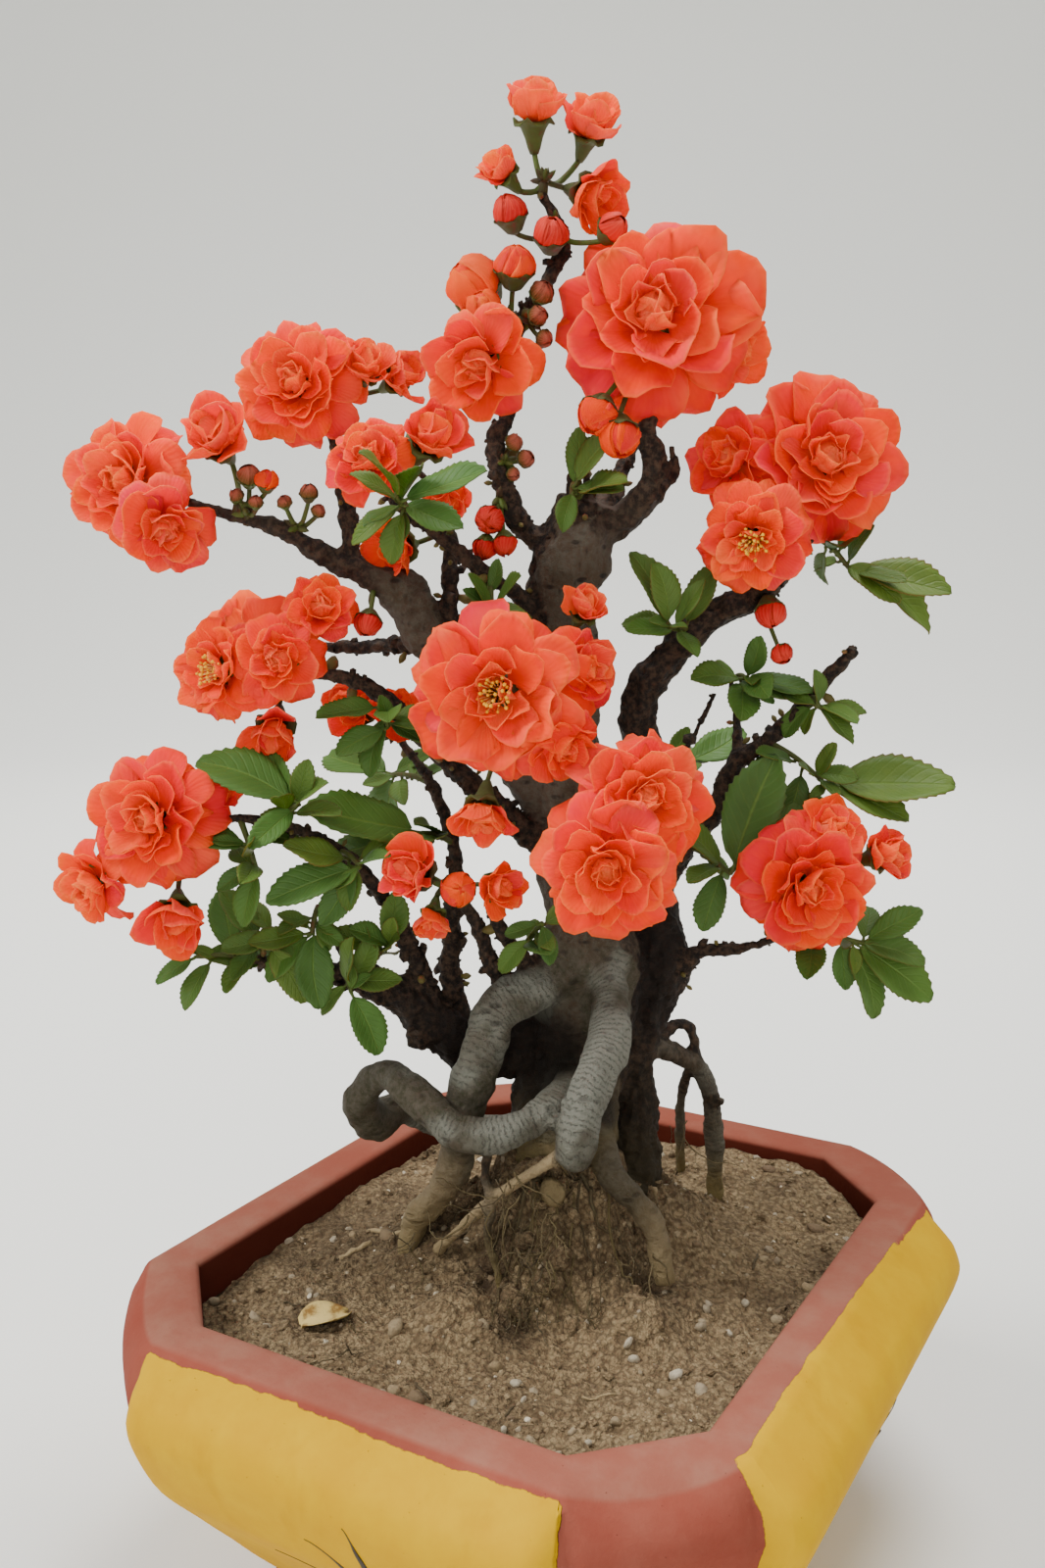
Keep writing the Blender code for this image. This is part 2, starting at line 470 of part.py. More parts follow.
def bloom_pieces(name, place, radius, axis, kind, roll, collection):
    """Where one bloom's stalk ends, and its rings of petals, or its bud, as loose objects."""
    base = place - axis * radius * BASE_BEHIND[kind]
    whole = placing(base, axis, roll)
    if kind == BUD:
        shape = bud_shape(radius)
        bmesh.ops.transform(shape, verts=shape.verts, matrix=whole)
        return base + axis * radius * BUD_STALK_RISE, [object_from_bmesh(name, shape, collection)]
    pieces = []
    for layer, (count, reach, rise, rounded) in enumerate(PETAL_RINGS[kind]):
        sheet = petal_ring(count, reach, rise, rounded, radius, roll + layer)
        up = Matrix.Translation((0, 0, ring_height(layer, radius)))
        matrix = whole @ up @ Matrix.Rotation(RING_TURN * layer, 4, "Z")
        pieces.append(thick_sheet(name, *sheet, PETAL_THICKNESS, matrix, collection))
    heart = ring_height(len(PETAL_RINGS[kind]) - 1, radius) + HEART_TOP
    return base + axis * heart, pieces


def ring_height(layer, radius):
    """How high above the bloom's foot this ring of petals sits, in mm."""
    return layer * max(RING_RISE * radius, LEAST_RING_RISE)


def leaf(name, start, tip, size, order, collection):
    """One toothed blade with its petiole, from the shoot to the tip."""
    whole = (tip - start).length
    length = min(size * LEAF_LENGTH, whole * (1 - LEAST_PETIOLE))
    along = (tip - start).normalized()
    swing, forward, upward = LEAF_FACE
    towards = Vector((swing * math.sin(order * GOLDEN_TURN), forward, upward))
    up = (towards - along * towards.dot(along)).normalized()
    matrix = Matrix((along.cross(up), along, up)).transposed().to_4x4()
    matrix = Matrix.Scale(MM, 4) @ Matrix.Rotation(TREE_TURN, 4, "Z") @ Matrix.Translation(start) @ matrix
    edge = LARGE_EDGE if size >= LARGE_LEAF else SMALL_EDGE
    return thick_sheet(name, *blade(length, whole - length, edge), LEAF_THICKNESS, matrix, collection)


def blade(length, petiole, edge):
    """Points and faces of a leaf along +Y: its petiole, then a blade folded a little along its midrib."""
    half = length * LEAF_WIDTH_RATIO / 2

    def raised(x, along):
        return (x, petiole + along * length, abs(x) * LEAF_CUP * 2 - LEAF_DROOP * length * along * along)

    ribs = [0.0] + [edge[i][0] + RIB_PAST_NOTCH for i in range(1, len(edge) - 1, 2)] + [1.0]
    points = [raised(0, along) for along in ribs]
    strip = len(points)
    points += [(-PETIOLE_RADIUS, 0, 0), (PETIOLE_RADIUS, 0, 0), (PETIOLE_RADIUS, petiole, 0),
               (-PETIOLE_RADIUS, petiole, 0)]
    faces = [(strip, strip + 1, strip + 2, 0, strip + 3)]
    for sign, corner in ((1, strip + 2), (-1, strip + 3)):
        first = len(points)
        points.extend(raised(sign * half * width, along) for along, width in edge)
        for k in range(len(ribs) - 1):
            outer = [first + i for i in range(2 * k - 1, 2 * k + 2)] if k else [corner, first, first + 1]
            if k == len(ribs) - 2:
                outer = outer[:1] + list(range(outer[1], len(points)))
            face = [k] + outer + [k + 1]
            faces.append(face if sign > 0 else face[::-1])
    return points, faces


def joined(name, pieces, collection):
    """The pieces fused by one Boolean union, with loose scraps dropped and sealed hollows filled."""
    body = pieces[0]
    if len(pieces) > 1:
        rest = bpy.data.collections.new(name + "_pieces")
        for piece in pieces[1:]:
            rest.objects.link(piece)
        union = body.modifiers.new("fuse", "BOOLEAN")
        union.operation = "UNION"
        union.operand_type = "COLLECTION"
        union.collection = rest
        union.solver = "EXACT"
        body = applied(body)
        for piece in list(rest.objects):
            bpy.data.objects.remove(piece)
        bpy.data.collections.remove(rest)
    keep_largest(body)
    return named(body, name, collection)


def named(body, name, collection):
    """The body under this name, in this collection alone."""
    for owner in list(body.users_collection):
        owner.objects.unlink(body)
    collection.objects.link(body)
    body.name = name
    body.data.name = name
    return body


def applied(body):
    """The object with its modifiers applied."""
    bpy.context.view_layer.update()
    graph = bpy.context.evaluated_depsgraph_get()
    mesh = bpy.data.meshes.new_from_object(body.evaluated_get(graph))
    body.modifiers.clear()
    body.data = mesh
    return body


def keep_largest(body):
    """Keeps the body's largest connected skin: the rest are loose scraps or the walls of sealed hollows.

    Points that lie in one flat face with their neighbours are taken out as well.
    """
    shape = bmesh.new()
    shape.from_mesh(body.data)
    bmesh.ops.remove_doubles(shape, verts=shape.verts, dist=WELD_METRES)
    bmesh.ops.dissolve_degenerate(shape, edges=shape.edges, dist=WELD_METRES)
    bmesh.ops.dissolve_limit(shape, angle_limit=FLAT_ENOUGH, verts=shape.verts, edges=shape.edges)
    unseen = set(shape.verts)
    skins = []
    while unseen:
        skin = {unseen.pop()}
        edge_of_skin = list(skin)
        while edge_of_skin:
            vert = edge_of_skin.pop()
            for edge in vert.link_edges:
                other = edge.other_vert(vert)
                if other in unseen:
                    unseen.discard(other)
                    skin.add(other)
                    edge_of_skin.append(other)
        skins.append(skin)
    skins.sort(key=skin_size)
    scraps = [vert for skin in skins[:-1] for vert in skin]
    bmesh.ops.delete(shape, geom=scraps, context="VERTS")
    shape.to_mesh(body.data)
    shape.free()


def skin_size(skin):
    """The diagonal of the box round these vertices."""
    lows = [min(vert.co[i] for vert in skin) for i in range(3)]
    highs = [max(vert.co[i] for vert in skin) for i in range(3)]
    return math.dist(lows, highs)


def cut(body, cutter):
    """The body with the cutter's room taken out of it, in one piece."""
    difference = body.modifiers.new("cut", "BOOLEAN")
    difference.operation = "DIFFERENCE"
    difference.object = cutter
    difference.solver = "EXACT"
    applied(body)
    keep_largest(body)


def level_ring(offset, height, taper, bulge, swell):
    """A level outline of cut corners and sides, this far outside the rim's edge.

    The corners swell out by bulge. The sides swell out by swell, or are plain lines where it is None.
    """
    half_x = RIM_HALF_X + offset
    half_y = RIM_HALF_Y + offset
    cut_size = RIM_CORNER_CUT + taper * offset
    corners = []
    for sx, sy in ((1, -1), (1, 1), (-1, 1), (-1, -1)):
        along_x = Vector((sx * (half_x - cut_size), sy * half_y))
        along_y = Vector((sx * half_x, sy * (half_y - cut_size)))
        start, end = (along_x, along_y) if sx * sy < 0 else (along_y, along_x)
        corners.append((start, end, Vector((sx, sy)).normalized()))
    places = []
    for i, (start, end, outward) in enumerate(corners):
        for share in CORNER_SHARES:
            places.append(start.lerp(end, share) + outward * bulge * 4 * share * (1 - share))
        if swell is not None:
            next_start = corners[(i + 1) % len(corners)][0]
            along = (next_start - end).normalized()
            out = Vector((along.y, -along.x)) * swell
            places += [end + along * SWELL_EDGE + out, next_start - along * SWELL_EDGE + out]
    return [(place.x * MM, place.y * MM, height * MM) for place in places]


def inner_ring(offset, height, swell=None):
    """The pot's inner outline, with flat cut corners."""
    return level_ring(offset, height, FLAT_CUT_TAPER, 0, swell)


def build_pot(collection, cutters):
    """The thick-walled pot, with two drain holes either side of the middle of its floor."""
    rings = [level_ring(offset, height, CORNER_CUT_TAPER, bulge, swell)
             for offset, height, bulge, swell in POT_OUTSIDE]
    rings += [inner_ring(offset, height, 0) for offset, height in POT_INSIDE]
    pot = object_from_bmesh("pot", loft(rings), collection)
    for sign in (-1, 1):
        shape = bmesh.new()
        bmesh.ops.create_cone(shape, cap_ends=True, segments=12, radius1=DRAIN_RADIUS * MM,
                              radius2=DRAIN_RADIUS * MM, depth=4 * FLOOR_HEIGHT * MM)
        bmesh.ops.translate(shape, verts=shape.verts, vec=(sign * DRAIN_SPACING / 2 * MM, 0, 0))
        drain = object_from_bmesh("drain_cutter", shape, cutters)
        cut(pot, drain)
        bpy.data.objects.remove(drain)
    return pot


def soil_height(x, y):
    """How high the soil stands at a place in the tree's own frame, in mm."""
    height = SOIL_EDGE_HEIGHT
    for across, away, rise, wide, deep in SOIL_MOUNDS:
        height += rise * math.exp(-((x - across) / wide) ** 2 / 2 - ((y - away) / deep) ** 2 / 2)
    across, away, rise, wide, deep = ROOT_BALL
    reach = math.hypot((x - across) / wide, (y - away) / deep)
    return height + rise / (1 + math.exp(ROOT_BALL_STEEPNESS * (reach - 1)))


def build_soil(collection, wood_room):
    """The soil, which fills the pot and is mounded up round the roots."""
    rings = [inner_ring(offset - SOIL_GAP, height + SOIL_GAP) for offset, height in reversed(POT_INSIDE[1:])]
    edge = inner_ring(POT_INSIDE[1][0] - SOIL_GAP, SOIL_EDGE_HEIGHT)
    to_tree = Matrix.Rotation(-TREE_TURN, 3, "Z")
    rings.append(edge)
    for share in SOIL_RINGS:
        ring = []
        for point in edge:
            place = Vector((point[0] * share, point[1] * share, 0))
            x, y, _ = to_tree @ place / MM
            ring.append((place.x, place.y, soil_height(x, y) * MM))
        rings.append(ring)
    soil = object_from_bmesh("soil", loft(rings), collection)
    cut(soil, wood_room)
    return soil


def wood_tubes(swell, collection):
    """Every root, trunk and branch as a loose tube, thickened by swell."""
    tubes = []
    for name, sides, route in ROOTS + TRUNKS + BRANCHES:
        points = [(spot(across, down, depth), thickness) for across, down, depth, thickness in route]
        tubes.append(route_tube(name, sides, points, swell, collection))
    return tubes


def build_bloom_group(name, spur, blooms, collection, wood_room):
    """One node of blooms or buds that grow from one point of the wood, on stalks of their own."""
    start = spot(*spur)
    parts = []
    hearts = []
    for order, (across, down, depth, radius, turn, up, kind) in enumerate(blooms):
        axis = facing(turn, up)
        place = spot(across, down, depth)
        heart, pieces = bloom_pieces(name, place, radius, axis, kind, order * GOLDEN_TURN, collection)
        hearts.append(heart)
        parts.extend(pieces)
    joint = start + (sum(hearts, Vector()) / len(hearts) - start) * STALK_SHARE
    past_joint = joint + (joint - start).normalized() * PEDICEL_RADIUS
    parts.append(stick(name, start, past_joint, STALK_RADIUS, STALK_SIDES, collection))
    parts.extend(stick(name, joint, heart, PEDICEL_RADIUS, PEDICEL_SIDES, collection) for heart in hearts)
    body = joined(name, parts, collection)
    cut(body, wood_room)
    return body


def build_leaf_spray(name, spur, end, leaves, collection, wood_room):
    """One node of leaves on a green shoot."""
    joint = spot(*end)
    start = spot(*spur)
    past_joint = joint + (joint - start).normalized() * PETIOLE_RADIUS
    parts = [stick(name, start, past_joint, SHOOT_RADIUS, STALK_SIDES, collection)]
    for order, (across, down, depth, size) in enumerate(leaves):
        foot = joint.lerp(start, min(order * LEAF_STEP / (joint - start).length, 1 - LEAST_PETIOLE))
        parts.append(leaf(name, foot, spot(across, down, depth), size, order, collection))
    body = joined(name, parts, collection)
    cut(body, wood_room)
    return body


def build_stamens(name, bloom, collection):
    """The tuft of stamens in the middle of an open bloom."""
    across, down, depth, radius, turn, up, kind = bloom
    axis = facing(turn, up)
    base = spot(across, down, depth) - axis * radius * BASE_BEHIND[kind]
    heart = ring_height(len(PETAL_RINGS[kind]) - 1, radius) + HEART_TOP
    middle = base + axis * (heart + STAMEN_GAP + STAMEN_FOOT)
    side = axis.orthogonal().normalized()
    foot, top = middle - axis * STAMEN_FOOT, middle + axis * STAMEN_FOOT
    parts = [stick(name, foot, top, STAMEN_FOOT, STALK_SIDES, collection)]
    for k in range(STAMEN_COUNT):
        lean = Matrix.Rotation(2 * math.pi * k / STAMEN_COUNT, 3, axis) @ side
        top = middle + axis * radius * STAMEN_LENGTH + lean * radius * STAMEN_SPREAD
        parts.append(stick(name, middle, top, STAMEN_RADIUS, PEDICEL_SIDES, collection))
    return joined(name, parts, collection)


def dress(objects, material):
    """Gives the objects their material and smooth shading."""
    for obj in objects:
        obj.data.materials.clear()
        obj.data.materials.append(material)
        for polygon in obj.data.polygons:
            polygon.use_smooth = True


def main():
    clear_scene()
    parts = new_collection(OBJECT_NAME)
    cutters = new_collection("cutters")
    wood_room = joined("wood_room", wood_tubes(FIT_GAP, cutters), cutters)
    wood_room.hide_render = True
    wood_room.display_type = "WIRE"
    pot = build_pot(parts, cutters)
    wood = joined("wood", wood_tubes(0.0, parts), parts)
    soil = build_soil(parts, wood_room)
    blooms = [build_bloom_group(*group, parts, wood_room) for group in BLOOM_GROUPS]
    buds = [build_bloom_group(*group, parts, wood_room) for group in BUD_GROUPS]
    sprays = [build_leaf_spray(*spray, parts, wood_room) for spray in LEAF_SPRAYS]
    groups = {name: flowers for name, _, flowers in BLOOM_GROUPS}
    stamens = [build_stamens(name, groups[group][which], parts) for name, group, which in STAMEN_BLOOMS]
    dress([pot], new_material("pot_clay", (0.32, 0.1, 0.065), 0.55))
    dress([soil], new_material("soil", (0.26, 0.19, 0.1), 0.95))
    dress([wood], new_material("bark", (0.07, 0.05, 0.035), 0.85))
    dress(blooms, new_material("petals", (0.84, 0.12, 0.05), 0.5))
    dress(buds, new_material("buds", (0.7, 0.06, 0.07), 0.45))
    dress(sprays, new_material("leaves", (0.08, 0.2, 0.04), 0.4))
    dress(stamens, new_material("stamens", (0.85, 0.6, 0.08), 0.6))


main()
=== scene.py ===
"""The looks of a flowering quince bonsai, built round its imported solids.

Sizes are in millimetres in the tree's own frame (x across, y away, z up) unless a name says
otherwise, and every finished piece is in metres in the pot's frame, as the solids are.
"""

import logging
import math
import random
from dataclasses import dataclass, field
from enum import Enum
from functools import partialmethod
from typing import Iterable, NamedTuple, Sequence

import bmesh
import bpy
import numpy as np
from mathutils import Euler, Matrix, Vector, noise
from mathutils.kdtree import KDTree


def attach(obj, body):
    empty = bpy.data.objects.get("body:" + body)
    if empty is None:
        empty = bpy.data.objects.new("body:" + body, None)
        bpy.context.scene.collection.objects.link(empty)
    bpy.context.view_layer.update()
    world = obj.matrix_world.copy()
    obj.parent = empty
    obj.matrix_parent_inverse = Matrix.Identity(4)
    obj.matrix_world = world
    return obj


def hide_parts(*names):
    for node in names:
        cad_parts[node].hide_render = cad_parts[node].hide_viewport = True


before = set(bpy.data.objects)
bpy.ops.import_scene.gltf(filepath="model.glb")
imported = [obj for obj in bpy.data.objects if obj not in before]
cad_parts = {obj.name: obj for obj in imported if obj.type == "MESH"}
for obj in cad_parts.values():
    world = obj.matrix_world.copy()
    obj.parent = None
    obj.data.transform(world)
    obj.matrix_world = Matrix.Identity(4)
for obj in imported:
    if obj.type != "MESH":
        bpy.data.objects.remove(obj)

LOG = logging.getLogger("bonsai")
MM = 0.001
ROOT_BODY = "root"
FULL_TURN = 2 * math.pi
GOLDEN_TURN = math.radians(137.5)

# The tree's own frame lies turned on the pot.
TREE_TURN = math.radians(29.9)
TO_POT = Matrix.Rotation(TREE_TURN, 4, "Z")

# Places on the tree are read off a front view: across and down in points, and depth in mm.
VIEW_FOCAL = 1421.0
VIEW_MIDDLE = (533.0, 800.0)
VIEW_LONG_SIDE = 1600.0
VIEW_TILT = math.radians(8.728)
VIEW_FROM = Vector((-11.6, -502.4, 370.0))
SENSOR_MM = 36.0

# How far a petal foot lies behind the middle of a bloom, by the bloom's radius.
FOOT_BEHIND = {"full": 0.3, "open": 0.22, "cup": 0.34, "small": 0.4, "bud": 0.75}
# How far from the wood to the blooms a spur's shared stalk reaches.
STALK_SHARE = 0.32
WIDEST_CALYX = 11.5
LEAF_LENGTH = 38.0
LEAF_STEP = 2.1
LEAST_PETIOLE = 0.1

Point = tuple[float, float, float]
Face = tuple[int, ...]
Span = tuple[float, float]
Table = tuple[tuple[float, ...], ...]


def spot(across: float, down: float, depth: float) -> Vector:
    """The place in the tree's own frame that the front view shows at this point and depth.

    Args:
        across: Points from the picture's left edge.
        down: Points from the picture's top edge.
        depth: How far away from the middle of the pot, in mm.

    Returns:
        The place in mm.
    """
    x = across - VIEW_MIDDLE[0]
    y = down - VIEW_MIDDLE[1]
    ahead = VIEW_FOCAL * math.cos(VIEW_TILT) - y * math.sin(VIEW_TILT)
    rise = -y * math.cos(VIEW_TILT) - VIEW_FOCAL * math.sin(VIEW_TILT)
    return VIEW_FROM + Vector((x, ahead, rise)) * ((depth - VIEW_FROM.y) / ahead)


def on_pot(place: Sequence[float]) -> Vector:
    """A place in the tree's own frame in mm, as metres in the pot's frame."""
    return TO_POT @ (Vector(place) * MM)


def held(value: float) -> float:
    """The value, held between 0 and 1."""
    return min(1.0, max(0.0, value))


def read_off(place: float, table: Table, beyond: float | None = None) -> float:
    """What a table of places and values gives at a place; beyond is its value past the last row."""
    return float(np.interp(place, *zip(*table), right=beyond))


def random_way(rng: random.Random, *leans: float) -> Vector:
    """A random vector that leans by this much along each axis."""
    return Vector([rng.gauss(0, 1) + lean for lean in leans])


class Tone(Enum):
    """How the bark of a route looks: young and dark, old and grey, or a bared root's olive or tan."""

    DARK = 0.0
    MIXED = 0.5
    GREY = 1.0
    OLIVE = 1.4
    TAN = 2.0


class BloomKind(Enum):
    """How far a bloom has opened."""

    FULL = "full"
    OPEN = "open"
    CUP = "cup"
    SMALL = "small"
    BUD = "bud"


class PetalForm(Enum):
    """The stance and fold of a petal, from the outer ones to the closed heart."""

    WIDE = 0
    CUPPED = 1
    UPRIGHT = 2
    CLASPED = 3
    WRAP = 4
    CORE = 5


DARK, MIXED, GREY, OLIVE, TAN = Tone
FULL, OPEN, CUP, SMALL, BUD = BloomKind
WIDE, CUPPED, UPRIGHT, CLASPED, WRAP, CORE = PetalForm


@dataclass(frozen=True)
class Route:
    """One root, trunk or branch: across, down, depth and thickness in mm for each point."""

    name: str
    tone: Tone
    rings: float
    points: Table


@dataclass(frozen=True)
class Bloom:
    """One bloom or bud: its place in the front view, radius, facing in degrees and kind."""

    across: float
    down: float
    depth: float
    radius: float
    turn: float
    rise: float
    kind: BloomKind

    @property
    def axis(self) -> Vector:
        """The way it faces: turned to the right and up from the front view."""
        side, lift = math.radians(self.turn), math.radians(self.rise)
        return Vector((math.sin(side) * math.cos(lift), -math.cos(side) * math.cos(lift), math.sin(lift)))

    @property
    def foot(self) -> Vector:
        """Where its petals start."""
        return spot(self.across, self.down, self.depth) - self.axis * self.radius * FOOT_BEHIND[self.kind.value]

    @property
    def stance(self) -> Matrix:
        """The turn that brings the Z axis to the way it faces."""
        return self.axis.to_track_quat("Z", "Y").to_matrix()


@dataclass(frozen=True)
class BloomGroup:
    """Blooms or buds that grow from one spur of the wood."""

    node: str
    spur: Point
    blooms: tuple[Bloom, ...]


@dataclass(frozen=True)
class Spray:
    """Leaves on one shoot: where it starts and ends, and each leaf's tip and size."""

    node: str
    spur: Point
    end: Point
    leaves: Table
    youth: float = 0.0


@dataclass(frozen=True)
class PetalRing:
    """One ring of petals in a bloom, with its sizes by the bloom's radius."""

    count: int
    form: PetalForm
    reach: float
    rise: float
    out: float = 0.045
    lift: float = 0.0
    inner: float = 0.0


ROOTS = (
    Route("root_core", MIXED, 0.3, ((605, 930, 6, 28), (604, 985, 7, 42), (590, 1060, 7, 38), (580, 1120, 2, 40),
        (575, 1180, -10, 38), (572, 1250, -16, 36))),
    Route("leg_left", GREY, 1, ((578, 980, -2, 22), (558, 1000, -10, 18), (508, 1032, -18, 17),
        (497, 1060, -24, 16.5), (486, 1094, -28, 16), (477, 1128, -28, 15), (470, 1160, -26, 13),
        (461, 1192, -22, 11.5))),
    Route("left_foot", OLIVE, 0.3, ((466, 1178, -24, 12), (461, 1192, -22, 11.5), (449, 1215, -18, 10.5),
        (424, 1248, -12, 10), (414, 1290, -8, 8))),
    Route("root_loop", GREY, 1, ((560, 1146, 4, 9), (460, 1150, 20, 9.5), (409, 1130, 13, 12.5), (384, 1143, 4, 16),
        (368, 1127, -8, 13.5), (378, 1105, -14, 11.5), (398, 1098, -22, 11.5), (424, 1116, -30, 12.5),
        (452, 1145, -39, 12.5), (486, 1158, -44, 13), (520, 1156, -44, 13), (548, 1142, -41, 12.5),
        (572, 1122, -28, 12), (585, 1095, -8, 12))),
    Route("leg_right", GREY, 1, ((600, 980, -5, 19), (620, 1012, -14, 15), (623, 1055, -30, 14.5),
        (609, 1100, -42, 15), (593, 1139, -49, 15.5), (584, 1170, -51, 15), (583, 1186, -50, 11))),
    Route("outer_root", MIXED, 0.6, ((655, 1062, 16, 8.5), (671, 1069, 18, 8), (699, 1080, 24, 7.5),
        (716, 1094, 29, 7.5), (725, 1122, 32, 7.5), (729, 1172, 36, 7.5), (729, 1240, 40, 6.5))),
    Route("outer_root_stub", MIXED, 0, ((722, 1124, 31, 4.5), (739, 1124, 26, 3.5))),
    Route("thin_root", MIXED, 0.4, ((704, 1084, 28, 4.5), (694, 1130, 47, 4.5), (695, 1205, 66, 4.5))),
    Route("arc_root", MIXED, 0.3, ((666, 1064, 18, 4.5), (688, 1046, 24, 4.5), (702, 1047, 25, 4.5),
        (709, 1066, 27, 4), (713, 1094, 29, 3.5))),
    Route("pale_root", TAN, 0.5, ((576, 1176, -47, 5), (508, 1220, -44, 4.6), (446, 1276, -23, 4.6))),
    Route("knot", OLIVE, 0, ((564, 1219, -28, 9.5), (564, 1217, -40, 9))),
    Route("low_root", GREY, 0.6, ((602, 1130, -8, 12), (621, 1195, -36, 9.5), (649, 1223, -40, 9),
        (662, 1242, -41.4, 9))),
    Route("right_foot", OLIVE, 0.4, ((656, 1233, -40.8, 9), (668, 1251, -42, 9), (678, 1310, -44, 8.5))),
    Route("middle_root", MIXED, 0.3, ((503, 1160, -42, 5), (495, 1196, -43, 4), (501, 1230, -44, 4.4),
        (497, 1262, -45, 3.4), (507, 1296, -46, 3.2), (514, 1334, -46, 2.6))),
)

TRUNKS = (
    Route("centre_trunk", GREY, 0.15, ((588, 1000, 0, 30), (592, 930, 2, 27), (585, 850, 4, 25.5), (578, 760, 4, 25),
        (575, 680, 2, 25), (575, 600, 0, 24.5), (587, 560, 0, 27), (602, 512, 0, 23.5))),
    Route("dark_trunk", DARK, 0.1, ((650, 1225, 5, 22), (648, 1158, 12, 18), (649, 1060, 14, 15.5),
        (672, 990, 12, 21), (668, 920, 16, 16.5), (662, 850, 18, 15), (658, 780, 16, 13.5), (652, 715, 10, 13),
        (706, 646, 2, 12), (773, 603, -4, 10.5), (812, 560, -2, 8), (840, 505, 4, 4.5))),
    Route("upper_left_limb", GREY, 0.1, ((560, 830, 6, 15.5), (505, 745, 6, 16.5), (440, 650, 4, 16.5),
        (405, 602, 0, 15), (375, 588, -2, 10), (330, 567, -4, 7), (288, 540, -6, 6.5), (240, 528, -8, 4.5),
        (204, 516, -8, 3.5), (168, 505, -4, 3))),
    Route("low_left_limb", DARK, 0.1, ((570, 1060, 12, 22), (500, 1068, 6, 21), (452, 1049, 0, 19),
        (410, 1018, -6, 15), (368, 996, -10, 11), (346, 995, -12, 9), (317, 990, -14, 6.5), (280, 984, -17, 5),
        (242, 975, -20, 3.5))),
    Route("low_left_stub", DARK, 0, ((440, 1046, -2, 9.5), (421, 1064, -12, 8.5))),
    Route("right_limb", DARK, 0.1, ((668, 915, 16, 10.5), (700, 862, 14, 9), (730, 825, 10, 8), (750, 779, 6, 7),
        (783, 756, 2, 6.5), (826, 712, -4, 5.5), (872, 661, -8, 5))),
    Route("low_right_limb", DARK, 0, ((668, 1012, 14, 13), (690, 1000, 10, 9.5), (706, 974, 4, 6),
        (750, 968, -6, 4.5), (785, 960, -14, 4), (812, 945, -18, 3))),
)

